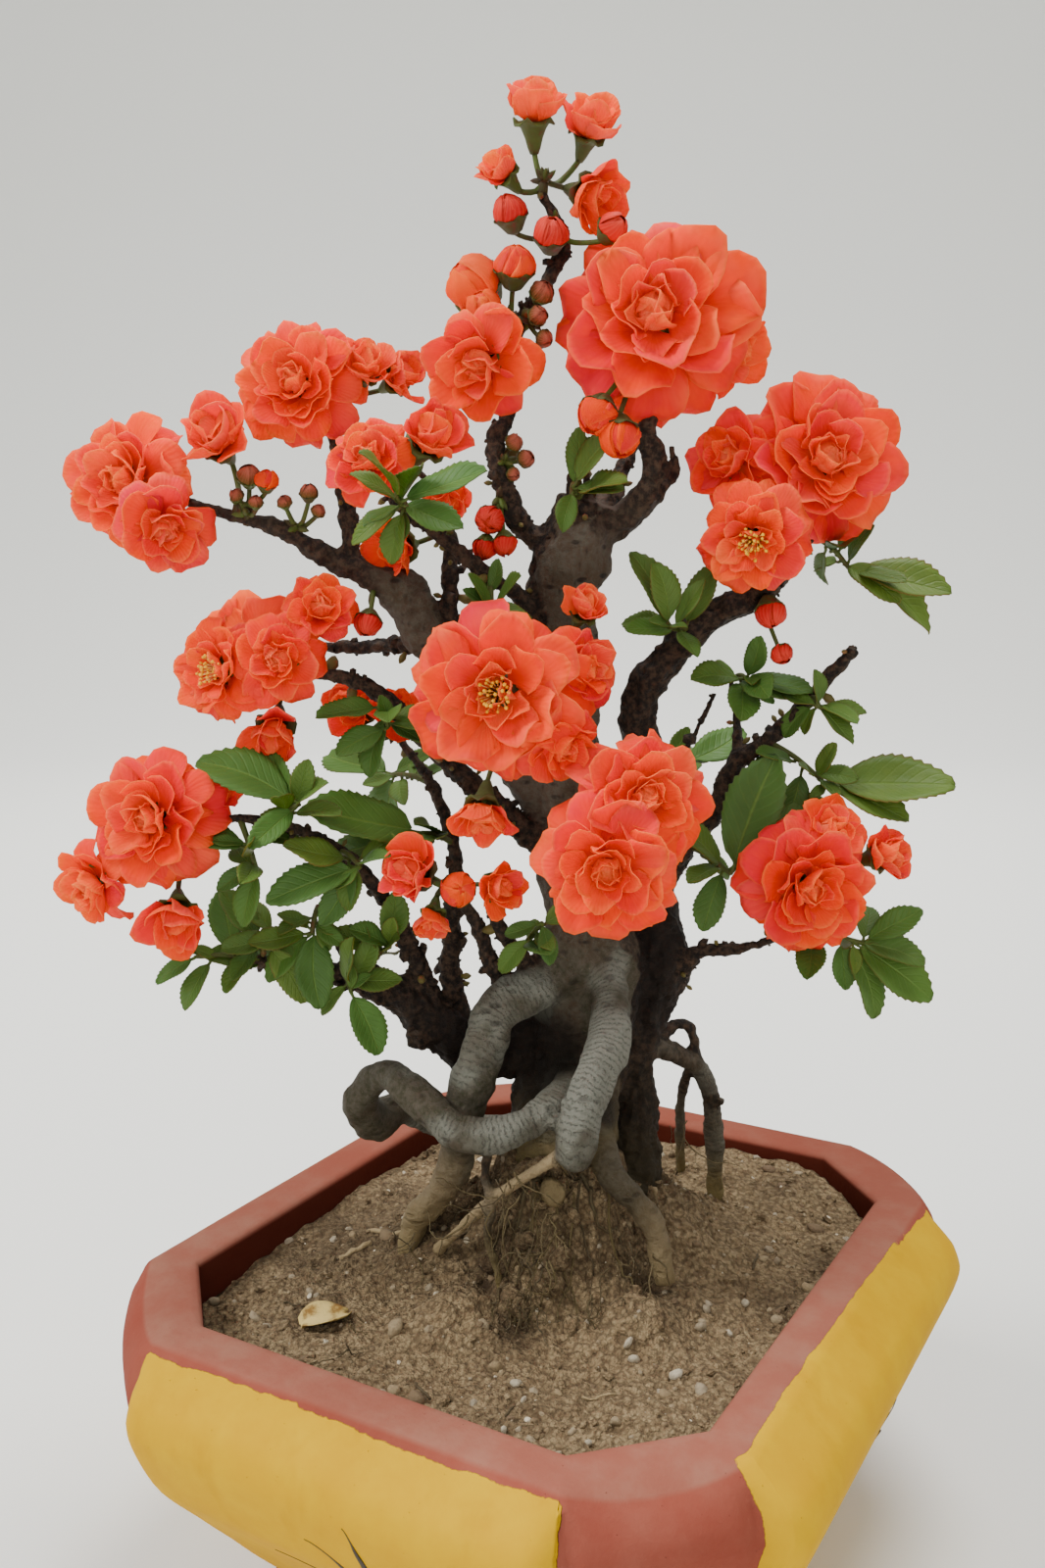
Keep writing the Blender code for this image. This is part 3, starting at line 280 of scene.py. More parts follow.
BRANCHES = (
    Route("crown_branch", MIXED, 0.1, ((600, 545, 0, 18), (637, 528, -2, 12), (669, 488, -6, 10.5),
        (667, 461, -8, 8.5), (661, 442, -10, 7), (668, 400, -8, 5), (675, 350, 0, 3.5))),
    Route("crown_twig", DARK, 0, ((668, 500, -6, 5.5), (690, 485, -4, 3.5), (684, 455, -2, 2.5))),
    Route("top_branch", DARK, 0, ((570, 570, 2, 12), (546, 549, 0, 8.5), (525, 528, -2, 8), (509, 477, -4, 7),
        (506, 448, -4, 6.5), (519, 418, -4, 6.5), (528, 341, -2, 6), (550, 300, 0, 5.5), (567, 272, 0, 5.5),
        (576, 246, 0, 5), (566, 222, 0, 4.5), (551, 196, 0, 3.5))),
    Route("snag_left", DARK, 0, ((586, 525, -9, 3.5), (580, 505, -9, 3), (582, 480, -10, 2.5))),
    Route("snag_right", DARK, 0, ((606, 520, -6, 3.5), (598, 488, -6, 3), (608, 446, -6, 2.5))),
    Route("red_branch", DARK, 0, ((560, 660, 0, 8), (530, 610, -8, 6.5), (500, 588, -14, 6), (455, 552, -20, 5.5),
        (414, 522, -24, 5), (392, 497, -24, 3))),
    Route("left_upright", DARK, 0, ((360, 588, -3, 7), (354, 516, -4, 6.5), (345, 470, -4, 5.5), (338, 435, -4, 4),
        (318, 402, 0, 3))),
    Route("middle_upright", DARK, 0, ((459, 650, 4, 7), (459, 600, 4, 6.5), (459, 546, 6, 5.5), (446, 505, 8, 3.5),
        (425, 478, 8, 3))),
    Route("lower_left_branch", DARK, 0, ((575, 880, 2, 10.5), (520, 835, -2, 9), (470, 790, -6, 8), (430, 750, -8, 7),
        (388, 710, -10, 6.5), (345, 690, -12, 5), (290, 688, -8, 3))),
    Route("low_left_twig", DARK, 0, ((363, 993, -10, 5), (340, 952, -14, 4), (325, 925, -16, 3))),
    Route("left_stem", DARK, 0, ((444, 1028, -2, 8.5), (420, 970, -6, 7), (393, 920, -12, 6.5), (360, 880, -20, 5),
        (310, 850, -28, 4.5), (250, 835, -32, 3.5), (200, 840, -30, 3))),
    Route("rear_stem", DARK, 0, ((464, 1050, 4, 10), (460, 970, 4, 8.5), (463, 920, 2, 7), (462, 860, 2, 5.5),
        (440, 800, 8, 4.5), (408, 755, 18, 3))),
    Route("short_stem", DARK, 0, ((520, 1010, -4, 8), (500, 980, -12, 6.5), (480, 931, -22, 5), (452, 902, -28, 3))),
    Route("middle_stem", DARK, 0, ((550, 985, -6, 8.5), (530, 975, -14, 6.5), (503, 934, -26, 5),
        (500, 895, -32, 3))),
    Route("heart_spur", DARK, 0, ((578, 770, 0, 8), (545, 738, -25, 5.5), (520, 718, -40, 4.5))),
    Route("front_spur", DARK, 0, ((592, 930, 0, 8.5), (608, 908, -28, 5.5), (618, 892, -46, 4))),
    Route("right_twig", DARK, 0, ((750, 785, 6, 5), (752, 740, 10, 4), (746, 694, 14, 3))),
    Route("thin_twig", DARK, 0, ((668, 805, 14, 3.5), (700, 765, 12, 3), (730, 706, 12, 2.5))),
    Route("rear_high_branch", DARK, 0, ((600, 540, 4, 10), (640, 470, 22, 6), (668, 380, 30, 4), (672, 345, 34, 3))),
    Route("rear_middle_branch", DARK, 0, ((578, 740, 6, 9), (555, 705, 28, 6), (535, 690, 46, 4))),
    Route("rear_low_branch", DARK, 0, ((664, 900, 18, 9), (655, 868, 40, 6), (650, 848, 56, 4))),
    Route("rear_left_branch", DARK, 0, ((440, 655, 8, 8), (370, 660, 22, 5.5), (300, 660, 26, 3.5))),
)

BLOOM_GROUPS = (
    BloomGroup("blooms_top", (551, 196, 0), (Bloom(544, 112, -2, 11.5, -5, 70, SMALL),
        Bloom(602, 128, 2, 10.5, 25, 50, SMALL), Bloom(511, 173, -8, 8.5, -50, 35, SMALL),
        Bloom(606, 200, -6, 12, 45, -20, SMALL))),
    BloomGroup("blooms_upper_left", (530, 330, -2), (Bloom(482, 287, -6, 10, -40, 25, BUD),
        Bloom(525, 270, -12, 7, 10, 60, BUD), Bloom(493, 312, -14, 6, -20, 30, BUD),
        Bloom(487, 372, -24, 19, -20, -25, CUP))),
    BloomGroup("blooms_crown", (675, 350, 0), (Bloom(668, 318, -24, 34, -5, 5, FULL),
        Bloom(748, 352, -6, 17.5, 50, -15, CUP), Bloom(609, 425, -30, 7, -30, -50, BUD),
        Bloom(632, 447, -30, 7, 0, -60, BUD))),
    BloomGroup("blooms_right_top", (840, 505, 4), (Bloom(848, 468, -16, 29.5, 8, 5, FULL),
        Bloom(768, 552, -28, 19.5, -15, -15, OPEN), Bloom(744, 470, -8, 17.5, -45, 10, CUP))),
    BloomGroup("blooms_far_left", (168, 505, -4), (Bloom(122, 490, -14, 24, -25, 8, FULL),
        Bloom(168, 540, -26, 16.5, 15, -20, CUP))),
    BloomGroup("bloom_left_ridge", (240, 528, -8), (Bloom(222, 447, -16, 12.5, -10, 30, SMALL),
        Bloom(272, 490, -18, 4, 20, 60, BUD))),
    BloomGroup("blooms_left_high", (318, 402, 0), (Bloom(300, 388, -14, 22, -12, 10, FULL),
        Bloom(372, 374, -6, 9.5, 20, 40, SMALL), Bloom(408, 384, -2, 9.5, 45, 20, SMALL))),
    BloomGroup("blooms_left_middle", (392, 497, -24), (Bloom(375, 468, -36, 14.5, -10, 15, CUP),
        Bloom(440, 446, -34, 11.5, 35, 35, SMALL))),
    BloomGroup("blooms_middle_back", (459, 546, 6), (Bloom(405, 560, 0, 10.5, -30, -10, SMALL),
        Bloom(456, 516, -4, 9.5, 10, 10, SMALL))),
    BloomGroup("blooms_left_low", (290, 688, -8), (Bloom(219, 684, -24, 19, -30, 5, OPEN),
        Bloom(284, 674, -32, 15, 5, 5, CUP), Bloom(328, 618, -18, 13.5, 20, 30, CUP),
        Bloom(280, 748, -22, 12, 0, -35, SMALL))),
    BloomGroup("blooms_heart", (520, 718, -40), (Bloom(505, 708, -60, 31, -8, 3, OPEN),
        Bloom(598, 682, -46, 14, 40, 10, CUP), Bloom(572, 764, -58, 14, 25, -30, CUP),
        Bloom(597, 620, -36, 8.5, 30, 45, SMALL), Bloom(492, 832, -46, 11, -10, -50, SMALL))),
    BloomGroup("blooms_front", (618, 892, -46), (Bloom(660, 816, -68, 22.5, 12, 12, FULL),
        Bloom(618, 890, -78, 23.5, -8, -5, FULL))),
    BloomGroup("blooms_low_middle", (452, 902, -28), (Bloom(421, 888, -40, 11.5, -25, 20, SMALL),
        Bloom(468, 908, -44, 6, 10, 10, BUD), Bloom(441, 938, -38, 7.5, -10, -45, SMALL),
        Bloom(508, 906, -40, 9, 30, 5, SMALL))),
    BloomGroup("blooms_low_left", (200, 840, -30), (Bloom(150, 836, -44, 23.5, -12, 10, FULL),
        Bloom(180, 938, -40, 12.5, 10, -30, SMALL), Bloom(92, 905, -40, 14.5, -35, -15, CUP),
        Bloom(222, 812, -26, 8, 20, 40, SMALL))),
    BloomGroup("blooms_behind_left", (408, 755, 18), (Bloom(362, 722, 14, 12, -20, 10, SMALL),
        Bloom(408, 730, 8, 10.5, 15, 20, SMALL))),
    BloomGroup("blooms_right_low", (812, 945, -18), (Bloom(826, 908, -36, 24.5, 5, 0, FULL),
        Bloom(848, 846, -26, 14, 15, 40, CUP), Bloom(903, 872, -20, 10, 55, 20, SMALL))),
    BloomGroup("blooms_rear_high", (672, 345, 34), (Bloom(680, 330, 50, 22, 170, 10, OPEN),)),
    BloomGroup("blooms_rear_middle", (535, 690, 46), (Bloom(505, 700, 62, 23, 190, 5, CUP),)),
    BloomGroup("blooms_rear_low", (650, 848, 56), (Bloom(640, 835, 76, 23, 175, 0, OPEN),)),
    BloomGroup("blooms_rear_left", (300, 660, 26), (Bloom(262, 655, 40, 20, 200, 10, CUP),)),
)

BUD_GROUPS = (
    BloomGroup("buds_top", (566, 222, 0), (Bloom(520, 216, -8, 6, -30, 60, BUD), Bloom(562, 238, -12, 6, 0, 50, BUD),
        Bloom(626, 232, -16, 5.5, 40, 30, BUD))),
    BloomGroup("buds_middle", (512, 492, -4), (Bloom(499, 531, -12, 5, -10, -20, BUD),
        Bloom(494, 560, -10, 4.5, -20, -60, BUD), Bloom(515, 556, -12, 4.5, 10, -60, BUD))),
    BloomGroup("bud_limb", (383, 592, -2), (Bloom(375, 637, -14, 5, -10, -50, BUD),)),
    BloomGroup("buds_right", (773, 603, -4), (Bloom(786, 626, -14, 5.5, 10, -60, BUD),
        Bloom(798, 668, -10, 4, 10, -30, BUD))),
)

# Half-grown buds, too small for solids of their own.
YOUNG_BUDS = (
    BloomGroup("limb_end", (252, 533, -7), (Bloom(254, 485, -15, 4.2, 10, 50, BUD),
        Bloom(241, 505, -14, 2.6, -20, 40, BUD), Bloom(261, 512, -16, 2.6, 10, 50, BUD))),
    BloomGroup("limb_middle", (300, 548, -5), (Bloom(290, 512, -14, 2.6, -10, 50, BUD),
        Bloom(315, 502, -14, 3.3, 15, 60, BUD), Bloom(325, 521, -12, 2.6, 30, 40, BUD))),
    BloomGroup("leader", (537, 330, -2), (Bloom(553, 298, -12, 4.2, 25, 35, BUD),
        Bloom(549, 322, -12, 3.4, 20, 10, BUD), Bloom(556, 346, -10, 3.2, 40, -20, BUD))),
    BloomGroup("left_trunk", (509, 472, -4), (Bloom(525, 451, -8, 3.2, 30, 25, BUD),
        Bloom(537, 468, -8, 3.2, 40, 10, BUD), Bloom(524, 484, -8, 2.5, 30, -10, BUD))),
)

LEAF_SPRAYS = (
    Spray("leaves_low_left_front", (345, 868, -22), (368, 884, -34), ((271, 915, -46, 1), (326, 943, -40, 0.8))),
    Spray("leaves_left_large", (462, 860, 2), (430, 850, -16), ((318, 817, -36, 1.1), (325, 868, -14, 0.7))),
    Spray("leaves_left_stem", (280, 843, -30), (306, 820, -34), ((201, 773, -34, 1), (254, 863, -48, 0.8),
        (277, 768, -26, 0.6))),
    Spray("leaves_left_lower", (245, 836, -32), (262, 888, -36), ((245, 945, -42, 0.8), (222, 905, -44, 0.6))),
    Spray("leaves_limb_end", (250, 977, -19), (280, 955, -24), ((225, 967, -30, 0.8),), 0.2),
    Spray("leaves_low_twig", (325, 925, -16), (318, 952, -22), ((268, 998, -28, 0.9), (328, 1028, -32, 1),
        (350, 962, -26, 0.6))),
    Spray("leaves_low_stub", (352, 994, -11), (358, 1012, -24), ((388, 1076, -30, 1),)),
    Spray("leaf_low_twig_side", (376, 985, -9), (398, 966, -18), ((358, 946, -26, 0.8),)),
    Spray("leaf_under_bloom", (262, 980, -18), (200, 976, -26), ((158, 1002, -30, 0.7),)),
    Spray("leaf_cut_top", (592, 512, -8), (584, 498, -16), ((636, 496, -22, 0.9),), 0.5),
    Spray("leaves_red_branch", (414, 522, -24), (408, 512, -46), ((490, 472, -58, 1.1), (424, 466, -60, 0.8),
        (470, 534, -52, 0.9))),
    Spray("leaf_crotch", (500, 588, -14), (502, 630, -20), ((478, 600, -26, 0.7),)),
    Spray("leaves_left_inner", (388, 710, -10), (396, 742, -20), ((343, 768, -30, 0.8), (432, 752, -24, 0.8),
        (372, 790, -24, 0.7))),
    Spray("leaf_trunk_front", (530, 975, -14), (553, 942, -34), ((562, 984, -42, 0.8),)),
    Spray("leaves_right_crotch", (706, 646, 2), (682, 640, -12), ((672, 576, -20, 1), (650, 560, -8, 0.7),
        (712, 590, -16, 0.8), (640, 640, -16, 0.7)), 0.35),
    Spray("leaves_right_twig", (746, 694, 14), (762, 692, 0), ((774, 650, -8, 0.9), (828, 700, -12, 1.1),
        (790, 716, -2, 0.9))),
    Spray("leaves_far_right", (828, 545, 2), (868, 582, 8), ((972, 598, -2, 1), (958, 635, 4, 0.8),
        (919, 612, -4, 0.6)), 0.9),
    Spray("leaves_cut_limb", (826, 712, -4), (836, 722, -12), ((884, 726, -14, 0.7), (873, 754, -18, 0.9)), 0.5),
    Spray("leaves_right_middle", (783, 756, 2), (842, 800, -2), ((975, 797, -10, 1.3), (930, 826, -14, 0.8),
        (850, 758, -8, 0.7), (816, 780, -12, 0.7)), 0.75),
    Spray("leaves_right_dark", (700, 862, 14), (745, 892, -6), ((790, 772, -16, 1.3), (838, 812, -8, 1.3),
        (716, 948, -14, 0.9))),
    Spray("leaves_right_low", (800, 952, -16), (880, 962, -12), ((938, 926, -16, 0.8), (945, 980, -20, 0.9),
        (956, 1016, -22, 1), (902, 1036, -22, 0.9), (864, 1010, -18, 0.6)), 0.25),
    Spray("leaves_rear_left", (440, 800, 8), (400, 790, 40), ((330, 760, 60, 1), (380, 850, 58, 1))),
    Spray("leaves_rear_right", (668, 800, 16), (700, 780, 44), ((760, 740, 58, 1), (720, 860, 66, 1))),
)

BLOOM_RINGS: dict[BloomKind, tuple[PetalRing, ...]] = {
    FULL: (PetalRing(7, WIDE, 0.82, -26, 0.28), PetalRing(7, WIDE, 0.82, -6, 0.26, 0.05),
           PetalRing(7, CUPPED, 0.8, 5, 0.2, 0.09), PetalRing(7, CUPPED, 0.7, 21, 0.15, 0.12, 0.02),
           PetalRing(6, CUPPED, 0.6, 36, 0.1, 0.15, 0.08), PetalRing(6, UPRIGHT, 0.48, 44, 0.06, 0.16, 0.2),
           PetalRing(5, CLASPED, 0.36, 42, 0.04, 0.17, 0.4), PetalRing(3, WRAP, 0.2, 0, 0, 0.18, 0.6),
           PetalRing(1, CORE, 0.185, 0, 0, 0.18, 0.7)),
    OPEN: (PetalRing(7, WIDE, 0.82, -20, 0.28), PetalRing(7, WIDE, 0.78, -1, 0.26, 0.04),
           PetalRing(7, CUPPED, 0.72, 8, 0.2, 0.07, 0.02), PetalRing(7, CUPPED, 0.58, 22, 0.15, 0.09, 0.05),
           PetalRing(6, UPRIGHT, 0.42, 26, 0.1, 0.1, 0.2), PetalRing(4, UPRIGHT, 0.3, 40, 0.07, 0.1, 0.5)),
    CUP: (PetalRing(6, WIDE, 1.05, 0, 0.1), PetalRing(6, CUPPED, 1.04, 14, 0.08, 0.04),
          PetalRing(5, CUPPED, 0.86, 32, 0.05, 0.08, 0.04), PetalRing(5, UPRIGHT, 0.66, 42, 0.04, 0.1, 0.2),
          PetalRing(4, CLASPED, 0.5, 44, 0.03, 0.12, 0.4), PetalRing(3, WRAP, 0.3, 0, 0, 0.12, 0.55),
          PetalRing(1, CORE, 0.28, 0, 0, 0.12, 0.6)),
    SMALL: (PetalRing(5, CUPPED, 1.4, 28), PetalRing(5, CUPPED, 1.28, 46, 0.04, 0.06, 0.04),
            PetalRing(4, CLASPED, 0.95, 50, 0.03, 0.08, 0.2), PetalRing(3, WRAP, 0.42, 0, 0, 0.1, 0.4),
            PetalRing(1, CORE, 0.39, 0, 0, 0.1, 0.45)),
    BUD: (PetalRing(1, CORE, 0.93, 0, 0), PetalRing(4, WRAP, 1.0, 0, 0), PetalRing(3, WRAP, 1.03, 0, 0, -0.03)),
}


def splined(points: np.ndarray, step: float) -> np.ndarray:
    """Points along a smooth curve through the given ones.

    Args:
        points: One row a point; the first three columns are its place and any others go along.
        step: The spacing wanted, in the points' units.

    Returns:
        The finer rows, through a Catmull-Rom curve, or a straight line through two points.
    """
    if len(points) < 3:
        count = max(2, int(np.linalg.norm(points[-1, :3] - points[0, :3]) / step) + 1)
        shares = np.linspace(0, 1, count)[:, None]
        return points[0] * (1 - shares) + points[-1] * shares
    ends = np.vstack([2 * points[0] - points[1], points, 2 * points[-1] - points[-2]])
    rows = []
    for i in range(1, len(ends) - 2):
        before, start, end, after = ends[i - 1:i + 3]
        count = max(1, int(round(np.linalg.norm(end[:3] - start[:3]) / step)))
        for t in np.arange(count) / count:
            rows.append(0.5 * (2 * start + (end - before) * t
                               + (2 * before - 5 * start + 4 * end - after) * t * t
                               + (3 * start - before - 3 * end + after) * t ** 3))
    rows.append(points[-1])
    return np.array(rows)


def linked(name: str, data: bpy.types.ID) -> bpy.types.Object:
    """Puts a new object in the scene.

    Args:
        name: Its name.
        data: Its mesh, light or camera.

    Returns:
        The object.
    """
    made = bpy.data.objects.new(name, data)
    bpy.context.scene.collection.objects.link(made)
    return made


def mark(mesh: bpy.types.Mesh, values: dict[str, Sequence[float]], kind: str = "FLOAT") -> None:
    """Gives a mesh's points these named values."""
    for name, numbers in values.items():
        mesh.attributes.new(name, kind, "POINT").data.foreach_set("value", numbers)


def smooth(mesh: bpy.types.Mesh, wanted: bool = True) -> None:
    """Shades every face of a mesh smooth, or flat."""
    mesh.polygons.foreach_set("use_smooth", [wanted] * len(mesh.polygons))


def ring_faces(levels: int, count: int) -> list[Face]:
    """The faces between levels of points that each go round once, level by level."""
    starts = [(i * count + k, i * count + (k + 1) % count) for i in range(levels - 1) for k in range(count)]
    return [(a, b, b + count, a + count) for a, b in starts]


def caps(levels: int, count: int) -> list[Face]:
    """A face over the first level of points and one over the last."""
    return [tuple(range(count)), tuple(range((levels - 1) * count, levels * count))]


def tube_shape(route: np.ndarray, sides: int, wobble: float = 0.0) -> tuple[list[Vector], list[Face]]:
    """A tube through rows of place and radius, with a flat face at each end.

    Args:
        route: Rows of x, y, z and radius.
        sides: How many sides it has.
        wobble: How uneven its outline is, by its radius.

    Returns:
        Its points and faces.
    """
    places = [Vector(row[:3]) for row in route]
    across = Vector((0.31, 0.17, 0.05))
    points: list[Vector] = []
    for i, place in enumerate(places):
        along = (places[min(i + 1, len(places) - 1)] - places[max(i - 1, 0)]).normalized()
        across = (across - along * across.dot(along)).normalized()
        other = along.cross(across)
        for k in range(sides):
            turn = FULL_TURN * k / sides
            out = across * math.cos(turn) + other * math.sin(turn)
            uneven = wobble * noise.noise(place * 0.06 + out * 0.9) if wobble else 0.0
            points.append(place + out * (route[i][3] * (1 + uneven)))
    return points, ring_faces(len(places), sides) + caps(len(places), sides)


def thick_grid(grid: np.ndarray, thickness: float) -> tuple[np.ndarray, list[Face]]:
    """A closed shell over a grid of points.

    Args:
        grid: Points as rows, columns and x, y, z.
        thickness: How far its lower skin lies under the grid.

    Returns:
        Its points, the grid's first and then the lower skin's, and its faces.
    """
    rows, columns = grid.shape[:2]
    normals = np.cross(np.gradient(grid, axis=1), np.gradient(grid, axis=0))
    normals = normals / np.maximum(np.linalg.norm(normals, axis=2, keepdims=True), 1e-12)
    points = np.concatenate([grid.reshape(-1, 3), (grid - normals * thickness).reshape(-1, 3)])
    under = rows * columns
    faces: list[Face] = []
    for a in (i * columns + j for i in range(rows - 1) for j in range(columns - 1)):
        b, c, d = a + 1, a + columns, a + columns + 1
        faces += [(a, b, d, c), (under + a, under + c, under + d, under + b)]
    edge = list(range(columns)) + [i * columns + columns - 1 for i in range(1, rows)]
    edge += [(rows - 1) * columns + j for j in range(columns - 2, -1, -1)]
    edge += [i * columns for i in range(rows - 2, 0, -1)]
    return points, faces + [(b, a, under + a, under + b) for a, b in zip(edge, edge[1:] + edge[:1])]


def grid_values(rows: int, columns: int) -> dict[str, np.ndarray]:
    """How far along and across the points of a thick grid lie, on both of its skins."""
    return {"along": np.tile(np.repeat(np.linspace(0, 1, rows), columns), 2),
            "across": np.tile(np.linspace(-1, 1, columns), rows * 2)}


class MeshSketch:
    """Points, faces and point values gathered for one piece before it becomes a mesh."""

    def __init__(self) -> None:
        """Starts empty."""
        self.points: list[Point] = []
        self.faces: list[Face] = []
        self.values: dict[str, list[float]] = {}

    def add(self, points: Iterable[Sequence[float]], faces: Iterable[Face], **values: object) -> None:
        """Adds one closed shape.

        Args:
            points: Its points, in metres in the pot's frame unless the piece is a pattern.
            faces: Its faces, by the numbers of its own points.
            values: Named values for its points: one number for all, or a list of one each.
        """
        first = len(self.points)
        fresh = [tuple(float(c) for c in point) for point in points]
        self.points.extend(fresh)
        self.faces.extend(tuple(first + i for i in face) for face in faces)
        for name in set(values) | set(self.values):
            kept = self.values.setdefault(name, [0.0] * first)
            given = values.get(name, 0.0)
            kept.extend([float(given)] * len(fresh) if np.isscalar(given) else [float(v) for v in given])

    def tube(self, route: Sequence[Sequence[float]], sides: int, step: float = 0.0, wobble: float = 0.0,
             **values: object) -> None:
        """Adds a round tube with closed ends.

        Args:
            route: Rows of place and radius, in the tree's frame in mm.
            sides: How many sides the tube has.
            step: How far apart its rows are to be, or 0 to keep them as they are.
            wobble: How uneven its outline is, by its radius.
            values: As in add.
        """
        rows = np.array(route)
        points, faces = tube_shape(splined(rows, step) if step else rows, sides, wobble)
        self.add(map(on_pot, points), faces, **values)

    def piece(self, name: str, material: bpy.types.Material | None = None) -> bpy.types.Object:
        """Makes the object, with outward faces.

        Args:
            name: The object's name.
            material: Its finish.

        Returns:
            The object, linked to the scene.
        """
        mesh = bpy.data.meshes.new(name)
        mesh.from_pydata(self.points, [], self.faces)
        mark(mesh, self.values)
        shape = bmesh.new()
        shape.from_mesh(mesh)
        bmesh.ops.recalc_face_normals(shape, faces=shape.faces)
        shape.to_mesh(mesh)
        shape.free()
        smooth(mesh)
        if material:
            mesh.materials.append(material)
        return linked(name, mesh)


def finished(piece: bpy.types.Object, slot: str, *nodes: str) -> bpy.types.Object:
    """Seats a piece on the plant's one body.

    Args:
        piece: The finished piece, with its place in its mesh.
        slot: The record's material slot; it is not used.
        nodes: The solids that it stands for.

    Returns:
        The piece.
    """
    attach(piece, ROOT_BODY)
    if nodes:
        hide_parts(*nodes)
    LOG.info("%s: %d faces", piece.name, len(piece.data.polygons))
    return piece


def paint(code: str) -> Point:
    """A colour as the shader wants it, from six hexadecimal digits."""
    parts = [int(code[i:i + 2], 16) / 255 for i in (0, 2, 4)]
    return tuple(c / 12.92 if c <= 0.04045 else ((c + 0.055) / 1.055) ** 2.4 for c in parts)


def feed(tree: bpy.types.NodeTree, socket: bpy.types.NodeSocket, value: object) -> None:
    """Links or sets one input.

    Args:
        tree: The tree that the input is in.
        socket: The input.
        value: Another node's output, a colour's code or a plain value.
    """
    value = value.end if isinstance(value, Socket) else value
    if isinstance(value, bpy.types.NodeSocket):
        tree.links.new(value, socket)
    else:
        socket.default_value = (*paint(value), 1.0) if socket.type == "RGBA" else value


def added(tree: bpy.types.NodeTree, kind: str, settings: dict[str, object], inputs: dict[object, object],
          output: int | str = 0) -> bpy.types.NodeSocket:
    """Adds a node to a tree.

    Args:
        tree: The tree.
        kind: The node's type.
        settings: Its properties.
        inputs: Its inputs, by name or number, with what feeds each.
        output: The output wanted.

    Returns:
        That output.
    """
    node = tree.nodes.new(kind)
    for name, value in settings.items():
        setattr(node, name, value)
    for key, value in inputs.items():
        feed(tree, node.inputs[key], value)
    return node.outputs[output]


class Socket:
    """A node's output; sums and products on it add Math nodes."""

    def __init__(self, book: "NodeBook", end: bpy.types.NodeSocket) -> None:
        """Wraps the output."""
        self.book, self.end = book, end

    def _maths(self, operation: str, *others: object) -> "Socket":
        """One Math node on this value and the others."""
        return self.book.node("ShaderNodeMath", {"operation": operation}, dict(enumerate((self, *others))))

    def __rsub__(self, other: object) -> "Socket":
        """Difference from a number."""
        return self.book.node("ShaderNodeMath", {"operation": "SUBTRACT"}, {0: other, 1: self})

    __add__ = __radd__ = partialmethod(_maths, "ADD")
    __sub__ = partialmethod(_maths, "SUBTRACT")
    __mul__ = __rmul__ = partialmethod(_maths, "MULTIPLY")
    __pow__ = partialmethod(_maths, "POWER")
    least = partialmethod(_maths, "MINIMUM")
    size = partialmethod(_maths, "ABSOLUTE")
    wave = partialmethod(_maths, "SINE")

    def ramp(self, low: float, high: float) -> "Socket":
        """A smooth step from 0 at low to 1 at high."""
        return self.book.node("ShaderNodeMapRange", {"interpolation_type": "SMOOTHSTEP"},
                              {"Value": self, "From Min": low, "From Max": high})


